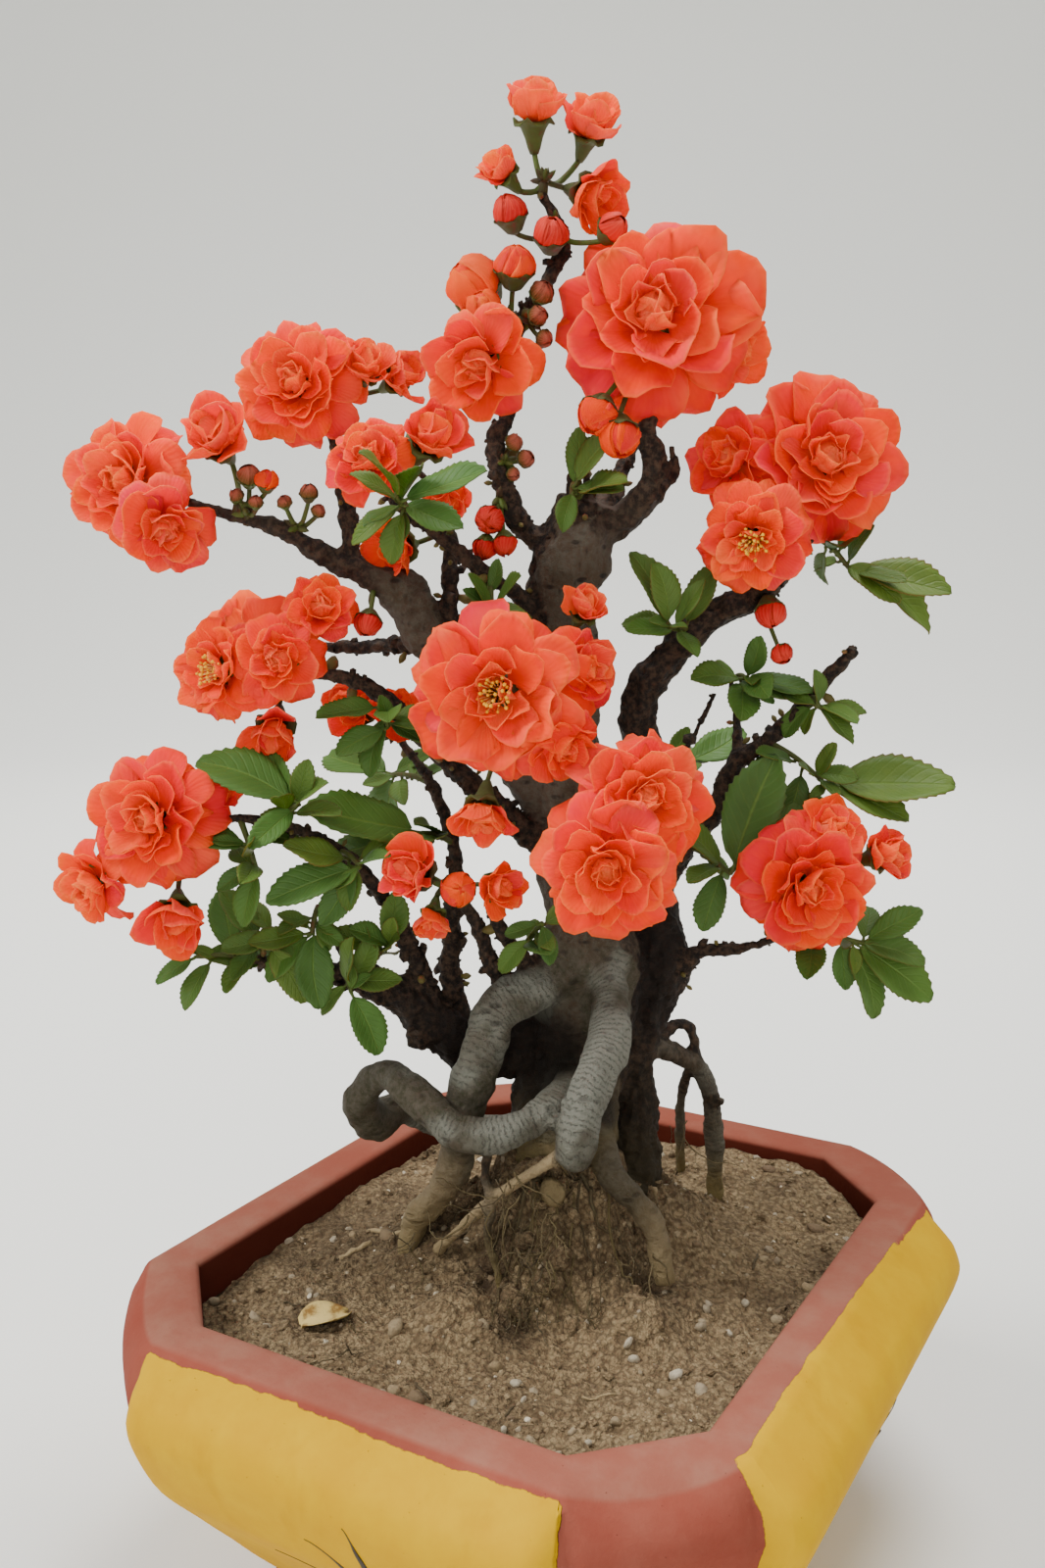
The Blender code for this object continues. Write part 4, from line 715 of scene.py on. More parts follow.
class NodeBook:
    """A new material and short ways to add its nodes."""

    def __init__(self, name: str) -> None:
        """Makes the material with a bare Principled shader."""
        self.material = bpy.data.materials.new(name)
        self.material.use_nodes = True

    def node(self, kind: str, settings: dict[str, object], inputs: dict[object, object],
             output: int | str = 0) -> Socket:
        """Adds any node, as added does."""
        return Socket(self, added(self.material.node_tree, kind, settings, inputs, output))

    def place(self) -> Socket:
        """Object coordinates, which are metres on the pot."""
        return self.node("ShaderNodeTexCoord", {}, {}, "Object")

    def attribute(self, name: str) -> Socket:
        """A value that the mesh's points carry."""
        return self.node("ShaderNodeAttribute", {"attribute_name": name}, {}, "Fac")

    def noise(self, scale: float, detail: float = 3.0, roughness: float = 0.5, at: Socket | None = None) -> Socket:
        """A cloudy pattern from 0 to 1, with features about 1 / scale metres across."""
        inputs = {"Vector": at or self.place(), "Scale": scale, "Detail": detail, "Roughness": roughness}
        return self.node("ShaderNodeTexNoise", {}, inputs, "Fac")

    def cells(self, scale: float, at: Socket | None = None) -> Socket:
        """Distance to scattered points, for grains and cracks."""
        return self.node("ShaderNodeTexVoronoi", {}, {"Vector": at or self.place(), "Scale": scale}, "Distance")

    def stretched(self, x: float, y: float, z: float) -> Socket:
        """Object coordinates with each axis scaled."""
        return self.node("ShaderNodeMapping", {}, {"Vector": self.place(), "Scale": (x, y, z)})

    def axis(self, which: int) -> Socket:
        """One of the object coordinates, in metres."""
        return self.node("ShaderNodeSeparateXYZ", {}, {0: self.place()}, which)

    def mix(self, share: object, first: object, second: object) -> Socket:
        """Two colours mixed by a share."""
        return self.node("ShaderNodeMix", {"data_type": "RGBA", "clamp_factor": True},
                         {0: share, 6: first, 7: second}, 2)

    def layered(self, body: object, *coats: tuple[object, object]) -> Socket:
        """One colour under others.

        Args:
            body: The lowest colour.
            coats: The share and the colour of each coat over it.

        Returns:
            The colour that shows.
        """
        for share, colour in coats:
            body = self.mix(share, body, colour)
        return body

    def graded(self, share: Socket, stops: Sequence[tuple[float, str]]) -> Socket:
        """A colour that changes with a share.

        Args:
            share: The share.
            stops: Shares in rising order, with each one's colour.

        Returns:
            The colour.
        """
        found = self.node("ShaderNodeValToRGB", {}, {0: share})
        ramp = found.end.node.color_ramp
        while len(ramp.elements) < len(stops):
            ramp.elements.new(1.0)
        for element, (place, code) in zip(ramp.elements, stops):
            element.position, element.color = place, (*paint(code), 1.0)
        return found

    def relief(self, height: Socket, distance: float, strength: float = 1.0) -> Socket:
        """A bumped normal from a height, with the bump's depth in metres."""
        return self.node("ShaderNodeBump", {}, {"Height": height, "Distance": distance, "Strength": strength})


class Finish:
    """A look made of shader nodes: each kind holds its colours and mixes them in its own look method."""

    name: str

    def material(self) -> bpy.types.Material:
        """Makes the material.

        Returns:
            The material, with its shader fed.
        """
        book = NodeBook(self.name)
        tree = book.material.node_tree
        for name, value in self.look(book).items():
            feed(tree, tree.nodes["Principled BSDF"].inputs[name.replace("_", " ")], value)
        return book.material

    def look(self, book: NodeBook) -> dict[str, object]:
        """Adds the nodes of this look.

        Args:
            book: The new material.

        Returns:
            What feeds the shader, by input names with _ for each space.
        """
        raise NotImplementedError


@dataclass(frozen=True)
class PetalFinish(Finish):
    """Coral petals, paler along fine veins and at the heart's petal feet, pinker towards the rim, with painted shade
    over the outer petals' feet, a painted highlight along each rim and a faint painted glow.
    """

    name: str = "coral_petals"
    orange: str = "FE4802"
    coral: str = "F4220A"
    pink: str = "E21E40"
    pale: str = "FE7434"
    heart: str = "FF9462"
    foot: str = "F88C30"
    deep: str = "B81206"
    vein_count: float = 26.0
    roughness: float = 0.7
    gloss: float = 0.04
    glow: float = 0.35
    glow_depth: float = 0.003
    painted_glow: float = 0.06

    def look(self, book: NodeBook) -> dict[str, object]:
        """As in Finish."""
        along, across, tint, inner, under = map(book.attribute, ("along", "across", "tint", "inner", "under"))
        cloud = book.noise(120.0, 2.0)
        drift = book.noise(700.0, 2.0) * 2.6
        veins = ((across * self.vein_count + drift).wave() * 0.5 + 0.5) ** 2.0
        body = book.layered(
            self.orange,
            (tint * 1.3 - 0.15 + (cloud - 0.5) * 1.1, self.coral),
            ((tint - 0.62) * 1.5 + along * 0.25 + (cloud - 0.5) * 0.8, self.pink))
        rim = (along.ramp(0.9, 1.0) + across.size().ramp(0.9, 1.0) * 0.5).least(1.0)
        body = book.layered(
            body,
            # Painted shade: darker red over the outer petals' feet, where the layers above would shade them.
            ((1.0 - along.ramp(0.12, 0.62)) * (1.0 - inner) * 0.6, self.deep),
            # Painted highlight: paler along each petal's rim.
            (rim * 0.3, self.pale),
            (veins * (0.03 + inner * 0.4) * (1.2 - along), self.pale),
            (inner * (0.1 + cloud * 0.9), self.heart),
            ((1.0 - along.ramp(0.0, 0.34)) * (inner * 2.2).least(1.0) * 0.6, self.foot),
            (under * 0.2 + (book.noise(60.0, 2.0).ramp(0.45, 0.7) * 0.35 * along), self.pale))
        lines = (across * (self.vein_count * 2) + drift).wave() * along
        normal = book.relief(lines * 0.3 + cloud, 0.0004, 0.5)
        # Painted glow: the petals give off a faint light in their own colour.
        return dict(Base_Color=body, Roughness=self.roughness, Specular_IOR_Level=self.gloss, Normal=normal,
                    Subsurface_Weight=self.glow, Subsurface_Scale=self.glow_depth,
                    Subsurface_Radius=(1.0, 0.3, 0.15), Emission_Color=body, Emission_Strength=self.painted_glow)


@dataclass(frozen=True)
class BudFinish(Finish):
    """Closed buds: waxy, deeper coral pink, with painted shade at the overlaps."""

    name: str = "bud_petals"
    body: str = "B61620"
    warm: str = "D02814"
    deep: str = "8A0C1C"
    pale: str = "F0604A"
    tip: float = 0.25
    foot_reach: float = 0.4
    foot_depth: float = 0.55
    roughness: float = 0.55
    gloss: float = 0.08

    def look(self, book: NodeBook) -> dict[str, object]:
        """As in Finish."""
        along, across, tint = map(book.attribute, ("along", "across", "tint"))
        veins = ((across * 20.0 + book.noise(600.0) * 2.0).wave() * 0.5 + 0.5) ** 2.0
        body = book.layered(
            self.body,
            (tint, self.warm),
            (veins * 0.16 + along.ramp(0.55, 1.0) * self.tip, self.pale),
            ((1.0 - along.ramp(0.0, self.foot_reach)) * self.foot_depth, self.deep),
            # Painted shade along each petal's sides, where the petals overlap.
            (across.size().ramp(0.8, 1.0) * 0.3, self.deep))
        return dict(Base_Color=body, Roughness=self.roughness, Specular_IOR_Level=self.gloss,
                    Normal=book.relief(veins, 0.0002, 0.5))


@dataclass(frozen=True)
class StalkFinish(Finish):
    """Green-brown stalks, calyxes and young shoots."""

    name: str = "stalks"
    green: str = "4C5F22"
    brown: str = "3E2A1A"
    blush: str = "702420"

    def look(self, book: NodeBook) -> dict[str, object]:
        """As in Finish."""
        ripe = book.attribute("ripe")
        cloud = book.noise(320.0, 3.0)
        body = book.layered(
            self.green,
            (ripe + (cloud - 0.5) * 0.8, self.brown),
            (cloud.ramp(0.55, 0.75) * 0.5, self.blush))
        return dict(Base_Color=body, Roughness=0.55 + cloud * 0.2, Specular_IOR_Level=0.3,
                    Normal=book.relief(cloud, 0.0004, 0.6))


@dataclass(frozen=True)
class LeafFinish(Finish):
    """Toothed leaves: glossy and dark when old, yellow-green when young, with paler ribs."""

    name: str = "leaf_blades"
    green: str = "3A6416"
    dark: str = "1A360E"
    young: str = "6C7414"
    under: str = "4C6C30"
    rib: str = "688438"
    blush: str = "6A3414"
    rib_count: float = 9.0

    def look(self, book: NodeBook) -> dict[str, object]:
        """As in Finish."""
        along, across, tint, youth, under = map(book.attribute, ("along", "across", "tint", "youth", "under"))
        side = across.size()
        cloud = book.noise(170.0, 3.0)
        slant = (along * self.rib_count - side * 2.6) * (2 * math.pi)
        ribs = ((slant + book.noise(500.0) * 1.2).wave() * 0.5 + 0.5) ** 8.0
        midrib = 1.0 - side.ramp(0.0, 0.08)
        body = book.layered(
            self.green,
            (tint * 0.9 + (cloud - 0.5) * 0.8, self.dark),
            (youth + (cloud - 0.5) * youth, self.young),
            (under * 0.6, self.under),
            ((ribs * 0.08 + midrib * 0.5).least(1.0), self.rib),
            (side.ramp(0.88, 1.0) * (0.1 + youth * 0.5), self.blush))
        height = midrib * -0.7 - ribs * 0.3 + book.noise(900.0, 2.0) * 0.3
        return dict(Base_Color=body, Roughness=0.4 + cloud * 0.25, Specular_IOR_Level=0.22,
                    Normal=book.relief(height, 0.0005, 0.7))


@dataclass(frozen=True)
class StamenFinish(Finish):
    """Pale filaments with yellow anthers."""

    name: str = "stamen_tufts"
    filament: str = "F4C070"
    anther: str = "F0B404"

    def look(self, book: NodeBook) -> dict[str, object]:
        """As in Finish."""
        along = book.attribute("along")
        grain = book.noise(1500.0)
        body = book.layered(
            self.filament,
            (along.ramp(0.75, 0.85), self.anther),
            (grain * 0.35, "B9791A"))
        return dict(Base_Color=body, Roughness=0.7, Normal=book.relief(grain, 0.0002))


@dataclass(frozen=True)
class BarkFinish(Finish):
    """Bark: dark and flaky on young wood, grey with pale breathing marks on old, ringed on roots, with painted shade in
    the hollows between the roots and on thick dark wood.
    """

    name: str = "bark_and_roots"
    dark: str = "150D08"
    umber: str = "4A382A"
    grey: str = "524B3F"
    moss: str = "35331F"
    silver: str = "7A7B70"
    pale: str = "8A7C62"
    tan: str = "A8926C"
    earth: str = "75663F"
    cut: str = "6A6054"

    def look(self, book: NodeBook) -> dict[str, object]:
        """As in Finish."""
        tone, ring, arc, soiled, cut = map(book.attribute, ("tone", "ring", "arc", "soiled", "cut"))
        broad = book.noise(70.0, 4.0, 0.6)
        fine = book.noise(420.0, 5.0, 0.62)
        grain = book.noise(1400.0, 3.0, 0.6)
        flakes = book.cells(300.0, at=book.stretched(1.0, 1.0, 0.42))
        patch = book.noise(28.0, 3.0)
        lines = (1.0 - ((arc * 3.1 + broad * 26.0 + fine * 7.0).wave() * 0.5 + 0.5)) ** 3.0
        lines = lines * ring * grain.ramp(0.36, 0.66) * patch.ramp(0.36, 0.56)
        marks = book.cells(170.0, at=book.stretched(0.6, 0.6, 1.5)).ramp(0.3, 0.14) * broad.ramp(0.4, 0.56)
        young = book.mix(fine.ramp(0.38, 0.66), self.dark, self.umber)
        old = book.layered(
            self.umber,
            (fine.ramp(0.36, 0.64), self.grey),
            (broad.ramp(0.45, 0.66) * 0.3, self.moss))
        rooty = book.layered(
            self.moss,
            (fine.ramp(0.3, 0.66), self.grey),
            (broad.ramp(0.5, 0.66) * 0.35, self.umber),
            (patch.ramp(0.44, 0.6) * 0.8, self.silver))
        old = book.mix(ring, old, rooty)
        body = book.layered(
            young,
            (tone * 1.2 + (broad - 0.5) * 1.2 - 0.08, old),
            (flakes.ramp(0.25, 0.02) * (0.4 + tone * 0.2) * (1.0 - ring * 0.7), self.dark),
            (lines * 0.6, self.dark),
            (marks * (0.2 + tone * 0.7) * (1.0 - ring * 0.5), self.dark),
            (grain.ramp(0.6, 0.78) * 0.3 * (0.3 + tone), self.pale),
            (soiled * (0.4 + fine * 0.8), self.earth),
            (book.attribute("tan") * (0.55 + fine * 0.6), self.tan),
            # Painted shade in the hollows between the roots and on thick dark wood.
            (book.attribute("hollow").ramp(0.0, 0.65) * 0.85, self.dark),
            (cut * 0.6, book.mix(grain, self.cut, self.umber)))
        height = fine * 1.2 + grain * 0.5 - lines * 0.5 + flakes * (1.0 - tone) * 1.3
        return dict(Base_Color=body, Roughness=0.6 + fine * 0.3, Specular_IOR_Level=0.28,
                    Normal=book.relief(height - marks * 0.5, 0.0012, 0.9))


@dataclass(frozen=True)
class PotFinish(Finish):
    """Red-brown clay with mustard paint on its four sides, chipped along the paint's edge."""

    name: str = "clay_and_paint"
    clay: str = "8C4638"
    clay_light: str = "9C5E4E"
    clay_dark: str = "743224"
    inside: str = "42180E"
    mustard: str = "C69600"
    mustard_light: str = "CEA200"
    mustard_dark: str = "AC7800"
    rim_top_pale: str = "98705E"
    side_inset: float = 0.6

    def look(self, book: NodeBook) -> dict[str, object]:
        """As in Finish."""
        up = book.axis(2) * 1000.0
        inner, level = map(book.attribute, ("inner_wall", "rim_top"))
        broad = book.noise(14.0, 3.0)
        cloud = book.noise(55.0, 4.0, 0.6)
        fine = book.noise(420.0, 4.0, 0.6)
        chip = book.noise(110.0, 4.0, 0.65)
        edge = book.attribute("painted") + (book.noise(30.0, 2.0) - 0.5) * 3.0 + (chip - 0.5) * 2.2
        painted = edge.ramp(self.side_inset, self.side_inset + 0.3) * (1.0 - inner)
        bare = book.layered(
            self.clay,
            (cloud.ramp(0.3, 0.75) * 0.45, self.clay_light),
            (broad.ramp(0.45, 0.7) * 0.35, self.clay_dark),
            # The rim's flat top is paler.
            (level * (0.3 + cloud.ramp(0.35, 0.8) * 0.35), self.rim_top_pale))
        # Painted shade: the clay is darker on the pot's far half, by its place on the pot.
        away = book.axis(1) * 0.867 - book.axis(0) * 0.4985
        bare = book.layered(
            bare,
            ((away * 4.0).ramp(-0.1, 0.35) * (0.35 + broad * 0.3), self.clay_dark),
            (fine.ramp(0.6, 0.85) * 0.3, self.clay_light),
            (inner * 0.85, self.inside))
        coat = book.mix(cloud.ramp(0.3, 0.8), self.mustard, self.mustard_light)
        streaks = book.noise(26.0, 4.0, 0.6, at=book.stretched(2.6, 2.6, 0.5))
        coat = book.layered(
            coat,
            (streaks.ramp(0.5, 0.8) * 0.3, self.mustard_dark),
            ((1.0 - up.ramp(4.0, 40.0)) * 0.45, self.mustard_dark))
        body = book.mix(painted, bare, coat)
        pits = book.cells(420.0).ramp(0.1, 0.02) * fine.ramp(0.5, 0.65)
        body = book.mix(pits * 0.5, body, self.clay_dark)
        height = painted * 0.9 + fine * 0.45 * (1.0 - painted * 0.6) + cloud * 0.3 - pits * 0.7
        rough = 0.7 + cloud * 0.16 - painted * 0.12
        return dict(Base_Color=body, Roughness=rough, Specular_IOR_Level=0.04,
                    Normal=book.relief(height, 0.0007, 0.9))


@dataclass(frozen=True)
class InkFinish(Finish):
    """Dry dark brush strokes, broken where the brush ran out."""

    name: str = "brush_strokes"
    ink: str = "1E100A"
    dry: str = "8A5E12"

    def look(self, book: NodeBook) -> dict[str, object]:
        """As in Finish."""
        along, across = map(book.attribute, ("along", "across"))
        at = book.node("ShaderNodeCombineXYZ", {}, {0: along * 0.05, 1: across * 0.4, 2: book.attribute("tint")})
        hairs = book.noise(60.0, 3.0, 0.6, at=at)
        body = book.mix(hairs.ramp(0.5, 0.72) * along.ramp(0.45, 1.0), self.ink, self.dry)
        return dict(Base_Color=body, Roughness=0.7, Normal=book.relief(hairs, 0.0002, 0.5))


@dataclass(frozen=True)
class SoilFinish(Finish):
    """Gritty soil: pale and dusty on top, darker where it is damp and where shade is painted."""

    name: str = "potting_soil"
    dusty: str = "A8926E"
    body: str = "7C664A"
    damp: str = "3A2A1A"
    grit: str = "C0B294"

    def look(self, book: NodeBook) -> dict[str, object]:
        """As in Finish."""
        damp = book.attribute("damp")
        broad = book.noise(38.0, 4.0, 0.6)
        crumbs = book.noise(300.0, 6.0, 0.68)
        grains = book.cells(520.0)
        small = book.cells(1300.0)
        body = book.layered(
            self.body,
            (crumbs.ramp(0.32, 0.7), self.dusty),
            # Darker where the soil is damp and where shade is painted in its hollows.
            (damp * (0.4 + broad.ramp(0.3, 0.7) * 0.6), self.damp))
        patch = book.noise(24.0, 3.0, 0.6)
        body = book.layered(
            body,
            (patch.ramp(0.5, 0.68) * 0.45, self.damp),
            (grains.ramp(0.42, 0.7) * 0.5, self.damp),
            (small.ramp(0.24, 0.08) * crumbs.ramp(0.5, 0.62) * 0.7, self.grit))
        height = crumbs * 1.2 - grains * 0.9 - small * 0.4
        return dict(Base_Color=body, Roughness=0.95, Normal=book.relief(height, 0.0022, 0.9),
                    Specular_IOR_Level=0.25)


@dataclass(frozen=True)
class GritFinish(Finish):
    """Crumbs of soil, tan pebbles and a few white ones, by each one's own tint."""

    name: str = "grit"
    crumb: str = "64503A"
    tan: str = "94805E"
    grey: str = "9A8E78"
    white: str = "D2C6AC"

    def look(self, book: NodeBook) -> dict[str, object]:
        """As in Finish."""
        tint = book.attribute("tint")
        body = book.graded(tint, ((0.0, self.crumb), (0.6, self.tan), (0.93, self.grey), (0.99, self.white)))
        fine = book.noise(900.0, 4.0, 0.65)
        body = book.mix(fine.ramp(0.4, 0.75) * 0.45, body, self.crumb)
        return dict(Base_Color=body, Roughness=0.9, Normal=book.relief(fine, 0.0006, 0.9))


@dataclass(frozen=True)
class DeadLeafFinish(Finish):
    """A dry leaf, dull yellow with brown blotches."""

    name: str = "fallen_leaf"
    dry: str = "D6BC74"
    brown: str = "8A6428"

    def look(self, book: NodeBook) -> dict[str, object]:
        """As in Finish."""
        blotch = book.noise(220.0, 4.0, 0.6)
        body = book.mix(blotch.ramp(0.45, 0.7), self.dry, self.brown)
        return dict(Base_Color=body, Roughness=0.8, Normal=book.relief(blotch, 0.0006, 0.8))


@dataclass(frozen=True)
class FloorFinish(Finish):
    """A plain pale studio floor."""

    name: str = "studio_floor"
    colour: str = "EFEEE8"

    def look(self, book: NodeBook) -> dict[str, object]:
        """As in Finish."""
        cloud = book.noise(1.2, 2.0)
        body = book.mix(cloud * 0.15, self.colour, "E4E3DC")
        return dict(Base_Color=body, Roughness=0.85)


class ShapeTree:
    """A Geometry Nodes tree that is built here and ends in Realize Instances and Set Material."""

    def __init__(self, name: str) -> None:
        """Makes the tree with a geometry input and output.

        Args:
            name: The tree's name.
        """
        self.tree = bpy.data.node_groups.new(name, "GeometryNodeTree")
        for way in ("INPUT", "OUTPUT"):
            self.tree.interface.new_socket("Geometry", in_out=way, socket_type="NodeSocketGeometry")
        self.start = self.tree.nodes.new("NodeGroupInput")
        self.keys: dict[str, str] = {}

    def asked(self, name: str, kind: str) -> bpy.types.NodeSocket:
        """Adds a named input.

        Args:
            name: Its name.
            kind: What it takes, such as Float.

        Returns:
            Where it comes out.
        """
        item = self.tree.interface.new_socket(name, in_out="INPUT", socket_type="NodeSocket" + kind)
        self.keys[name] = item.identifier
        return self.start.outputs[name]

    def node(self, kind: str, settings: dict[str, object], inputs: dict[object, object],
             output: int | str = 0) -> bpy.types.NodeSocket:
        """Adds any node, as added does."""
        return added(self.tree, kind, settings, inputs, output)

    def value(self, name: str, kind: str = "FLOAT") -> bpy.types.NodeSocket:
        """A named attribute of the geometry."""
        return self.node("GeometryNodeInputNamedAttribute", {"data_type": kind}, {"Name": name}, "Attribute")

    def set_out(self, points: bpy.types.NodeSocket, pick: bpy.types.NodeSocket, turn: bpy.types.NodeSocket,
                size: bpy.types.NodeSocket) -> None:
        """Ends the tree: shapes set on points, made real and given the Finish input's material.

        Args:
            points: Where the shapes stand.
            pick: Which shape of the Shapes input's collection each point takes.
            turn: Each one's rotation.
            size: Each one's scale.
        """
        laid = self.node("GeometryNodeCollectionInfo", {"transform_space": "ORIGINAL"}, {
            "Collection": self.asked("Shapes", "Collection"), "Separate Children": True, "Reset Children": True})
        out = self.node("GeometryNodeInstanceOnPoints", {}, {
            "Points": points, "Instance": laid, "Pick Instance": True, "Instance Index": pick, "Rotation": turn,
            "Scale": size})
        real = self.node("GeometryNodeRealizeInstances", {}, {"Geometry": out})
        dressed = self.node("GeometryNodeSetMaterial", {}, {
            "Geometry": real, "Material": self.asked("Finish", "Material")})
        self.tree.links.new(dressed, self.tree.nodes.new("NodeGroupOutput").inputs[0])

    def grown(self, base: bpy.types.Object, name: str, **inputs: object) -> bpy.types.Object:
        """The tree's result on an object, as a plain mesh; the object itself is removed.

        Args:
            base: The object that the tree starts from.
            name: The new object's name.
            inputs: Values for the tree's named inputs.

        Returns:
            The new object.
        """
        modifier = base.modifiers.new("grow", "NODES")
        modifier.node_group = self.tree
        for key, value in inputs.items():
            modifier[self.keys[key]] = value
        made = evaluated_copy(base, name)
        bpy.data.objects.remove(base)
        return made


def evaluated_copy(base: bpy.types.Object, name: str) -> bpy.types.Object:
    """A new object with the base's evaluated mesh and no modifiers.

    Args:
        base: The object with modifiers.
        name: The new object's name.

    Returns:
        The new object.
    """
    bpy.context.view_layer.update()
    graph = bpy.context.evaluated_depsgraph_get()
    mesh = bpy.data.meshes.new_from_object(base.evaluated_get(graph), preserve_all_data_layers=True, depsgraph=graph)
    mesh.name = name
    return linked(name, mesh)


def shelf(name: str, shapes: Sequence[bpy.types.Object]) -> bpy.types.Collection:
    """Puts the shapes that a tree sets out where they aren't seen.

    Args:
        name: The collection's name.
        shapes: The shapes.

    Returns:
        A collection outside the scene that holds them.
    """
    collection = bpy.data.collections.new(name)
    for shape in shapes:
        bpy.context.scene.collection.objects.unlink(shape)
        collection.objects.link(shape)
    return collection


@dataclass
class Pot:
    """The thick-walled pot: four painted sides between four bare, swelling corners."""

    half_x: float = 117.0
    half_y: float = 135.0
    height: float = 120.0
    corner_cut: float = 41.0
    cut_taper: float = 0.6
    rim_width: float = 17.0
    # Offset from the rim's edge and height, from the foot up the outside, over the rim and down the inside.
    outside: Table = (
        (-46, 0), (-45, 11), (-42, 15), (-31, 27), (-20, 42), (-9, 58), (1, 74), (6.5, 90), (8, 100), (6, 110),
        (2.6, 116.8), (0.6, 118.9))
    rim: Table = ((-0.6, 119.9), (-5, 120.2), (-11, 120.1), (-15.6, 119.9), (-16.8, 119))
    inside: Table = ((-17.1, 117.5), (-17.5, 103), (-20, 80), (-26, 60), (-41, 42), (-53, 28), (-61, 14))
    # How far the corners and the painted sides swell out, by height.
    corner_swell: Table = ((0, 6), (14, 4), (40, 1), (90, 1.3), (106, 2), (120, 1))
    side_swell: Table = (
        (27, 0), (42, 1.5), (58, 4), (74, 7), (90, 9), (100, 10), (108, 8.6), (114, 3.8), (117, 1.3), (119, 0.2))
    # How far from its seams a side's swell takes to rise, from the front side on anticlockwise.
    swell_reaches: tuple[float, ...] = (5.0, 5.0, 16.0, 16.0)
    # How low the corners' shoulders drop at the rim's edge, how far in and how far down the drop begins.
    shoulder_drop: float = 5.5
    shoulder_width: float = 12.0
    shoulder_foot: float = 96.0
    # How much of a shoulder each corner has, from the front one on anticlockwise, and how far the rim
    # swells out over a corner without one, by height.
    shoulders: tuple[float, ...] = (1.0, 0.0, 0.0, 0.6)
    rim_swell: Table = ((96, 0), (112, 4))
    # How far the paint reaches onto the front corner, by height, from the front side and the right one.
    front_reach: Table = ((75, 4.0), (119, 0.8))
    right_reach: Table = ((70, 1.5), (119, 6.0))
    # How far the right side's paint reaches over the rim, by the place along it from the front.
    rim_paint: Table = ((-100, 4.6), (-60, 4.0), (15, 2.8), (56, 0.4), (95, 0.0))
    paint_top: float = 118.6
    side_steps: int = 52
    corner_steps: int = 22
    rise_step: float = 2.4
    seam_depth: float = 2.4
    seam_width: float = 2.8
    # How far below the rim and above the foot the seams fade out.
    seam_fades: Span = (9.0, 14.0)
    drain_radius: float = 6.0
    drain_spacing: float = 64.0
    drain_steps: int = 28
    finish: PotFinish = field(default_factory=PotFinish)

    def side_out(self, side: int, seam: float, height: float) -> float:
        """How far a painted side swells out at this distance from its seam and this height, in mm."""
        most = read_off(height, self.side_swell, 0.0)
        return most * (1 - math.exp(-(max(0.0, seam) / self.swell_reaches[side]) ** 1.5))

    def drop(self, share: float, offset: float, height: float) -> float:
        """How far a corner's rounded shoulder lies under a plain rim, in mm."""
        high = max(0.0, (height - self.shoulder_foot) / (self.height - self.shoulder_foot))
        return self.shoulder_drop * 4 * share * (1 - share) * (held(1 + offset / self.shoulder_width) * high) ** 1.6

    def outline(self, offset: float, outer: bool, height: float = 120.0) -> list[tuple[Vector, float, Vector, float]]:
        """One level outline: places, distances from the nearest seam, outward directions and drops.

        Args:
            offset: How far outside the rim's edge, in mm.
            outer: Whether this is the outer face, with swelling corners and sides, or the inner.
            height: How high it lies, in mm, which sets the swell.

        Returns:
            A place, a distance that is above 0 on a painted side, a direction and a drop for each point.
        """
        reaches = [(read_off(height, self.front_reach), read_off(height, self.right_reach))] + [(0.0, 0.0)] * 3
        half_x, half_y = self.half_x + offset, self.half_y + offset
        cut = self.corner_cut + (self.cut_taper if outer else 2 - math.sqrt(2)) * offset
        signs = ((1, -1), (1, 1), (-1, 1), (-1, -1))
        ends = []
        for sx, sy in signs:
            pair = Vector((sx * (half_x - cut), sy * half_y)), Vector((sx * half_x, sy * (half_y - cut)))
            ends.append(pair if sx * sy < 0 else pair[::-1])
        normals = [Vector(side) for side in ((0, -1), (1, 0), (0, 1), (-1, 0))]
        found = []
        for corner, (start, end) in enumerate(ends):
            side = (corner + 1) % 4
            before, after = reaches[corner]
            outward = Vector(signs[corner]).normalized()
            shoulder = self.shoulders[corner]
            swell = read_off(height, self.corner_swell) + (1 - shoulder) * read_off(height, self.rim_swell)
            reach = (end - start).length
            for share in np.arange(self.corner_steps) / self.corner_steps:
                place = start.lerp(end, share) + outward * (swell * outer * 4 * share * (1 - share))
                seams = before - share * reach, after - (1 - share) * reach
                if outer:
                    place += normals[corner] * self.side_out(corner, seams[0], height)
                    place += normals[side] * self.side_out(side, seams[1], height)
                found.append((place, max(seams), outward, shoulder * self.drop(share, offset, height)))
            following, beyond = ends[side][0], reaches[side][0]
            length = (following - end).length
            for share in np.arange(self.side_steps) / self.side_steps:
                # The points stand closest together near the seams.
                share = 0.5 - 0.5 * math.cos(math.pi * share) * (0.55 + 0.45 * abs(math.cos(math.pi * share)))
                seam = min(share * length + after, (1 - share) * length + beyond)
                out = normals[side] * (self.side_out(side, seam, height) if outer else 0.0)
                found.append((end.lerp(following, share) + out, seam, normals[side], 0.0))
        return found

    def seam_inset(self, seam: float, height: float) -> float:
        """How deep the groove between a side and a corner is at this distance and height, in mm."""
        fade = held((self.height - 1 - height) / self.seam_fades[0]) * held((height - 6) / self.seam_fades[1])
        return self.seam_depth * fade * math.exp(-(seam / self.seam_width) ** 2)

    def levels(self) -> list[tuple[float, float, bool | None]]:
        """The pot's outlines, from the foot up the outside, over the rim and down the inside.

        Returns:
            Each one's offset and height, and whether it is outside, or None on the rim.
        """
        found = []
        for rows, outer in ((self.outside, True), (self.rim, None), (self.inside, False)):
            path = splined(np.array([(*row, 0.0) for row in rows]), self.rise_step)
            found += [(row[0], row[1], outer) for row in path]
        return found

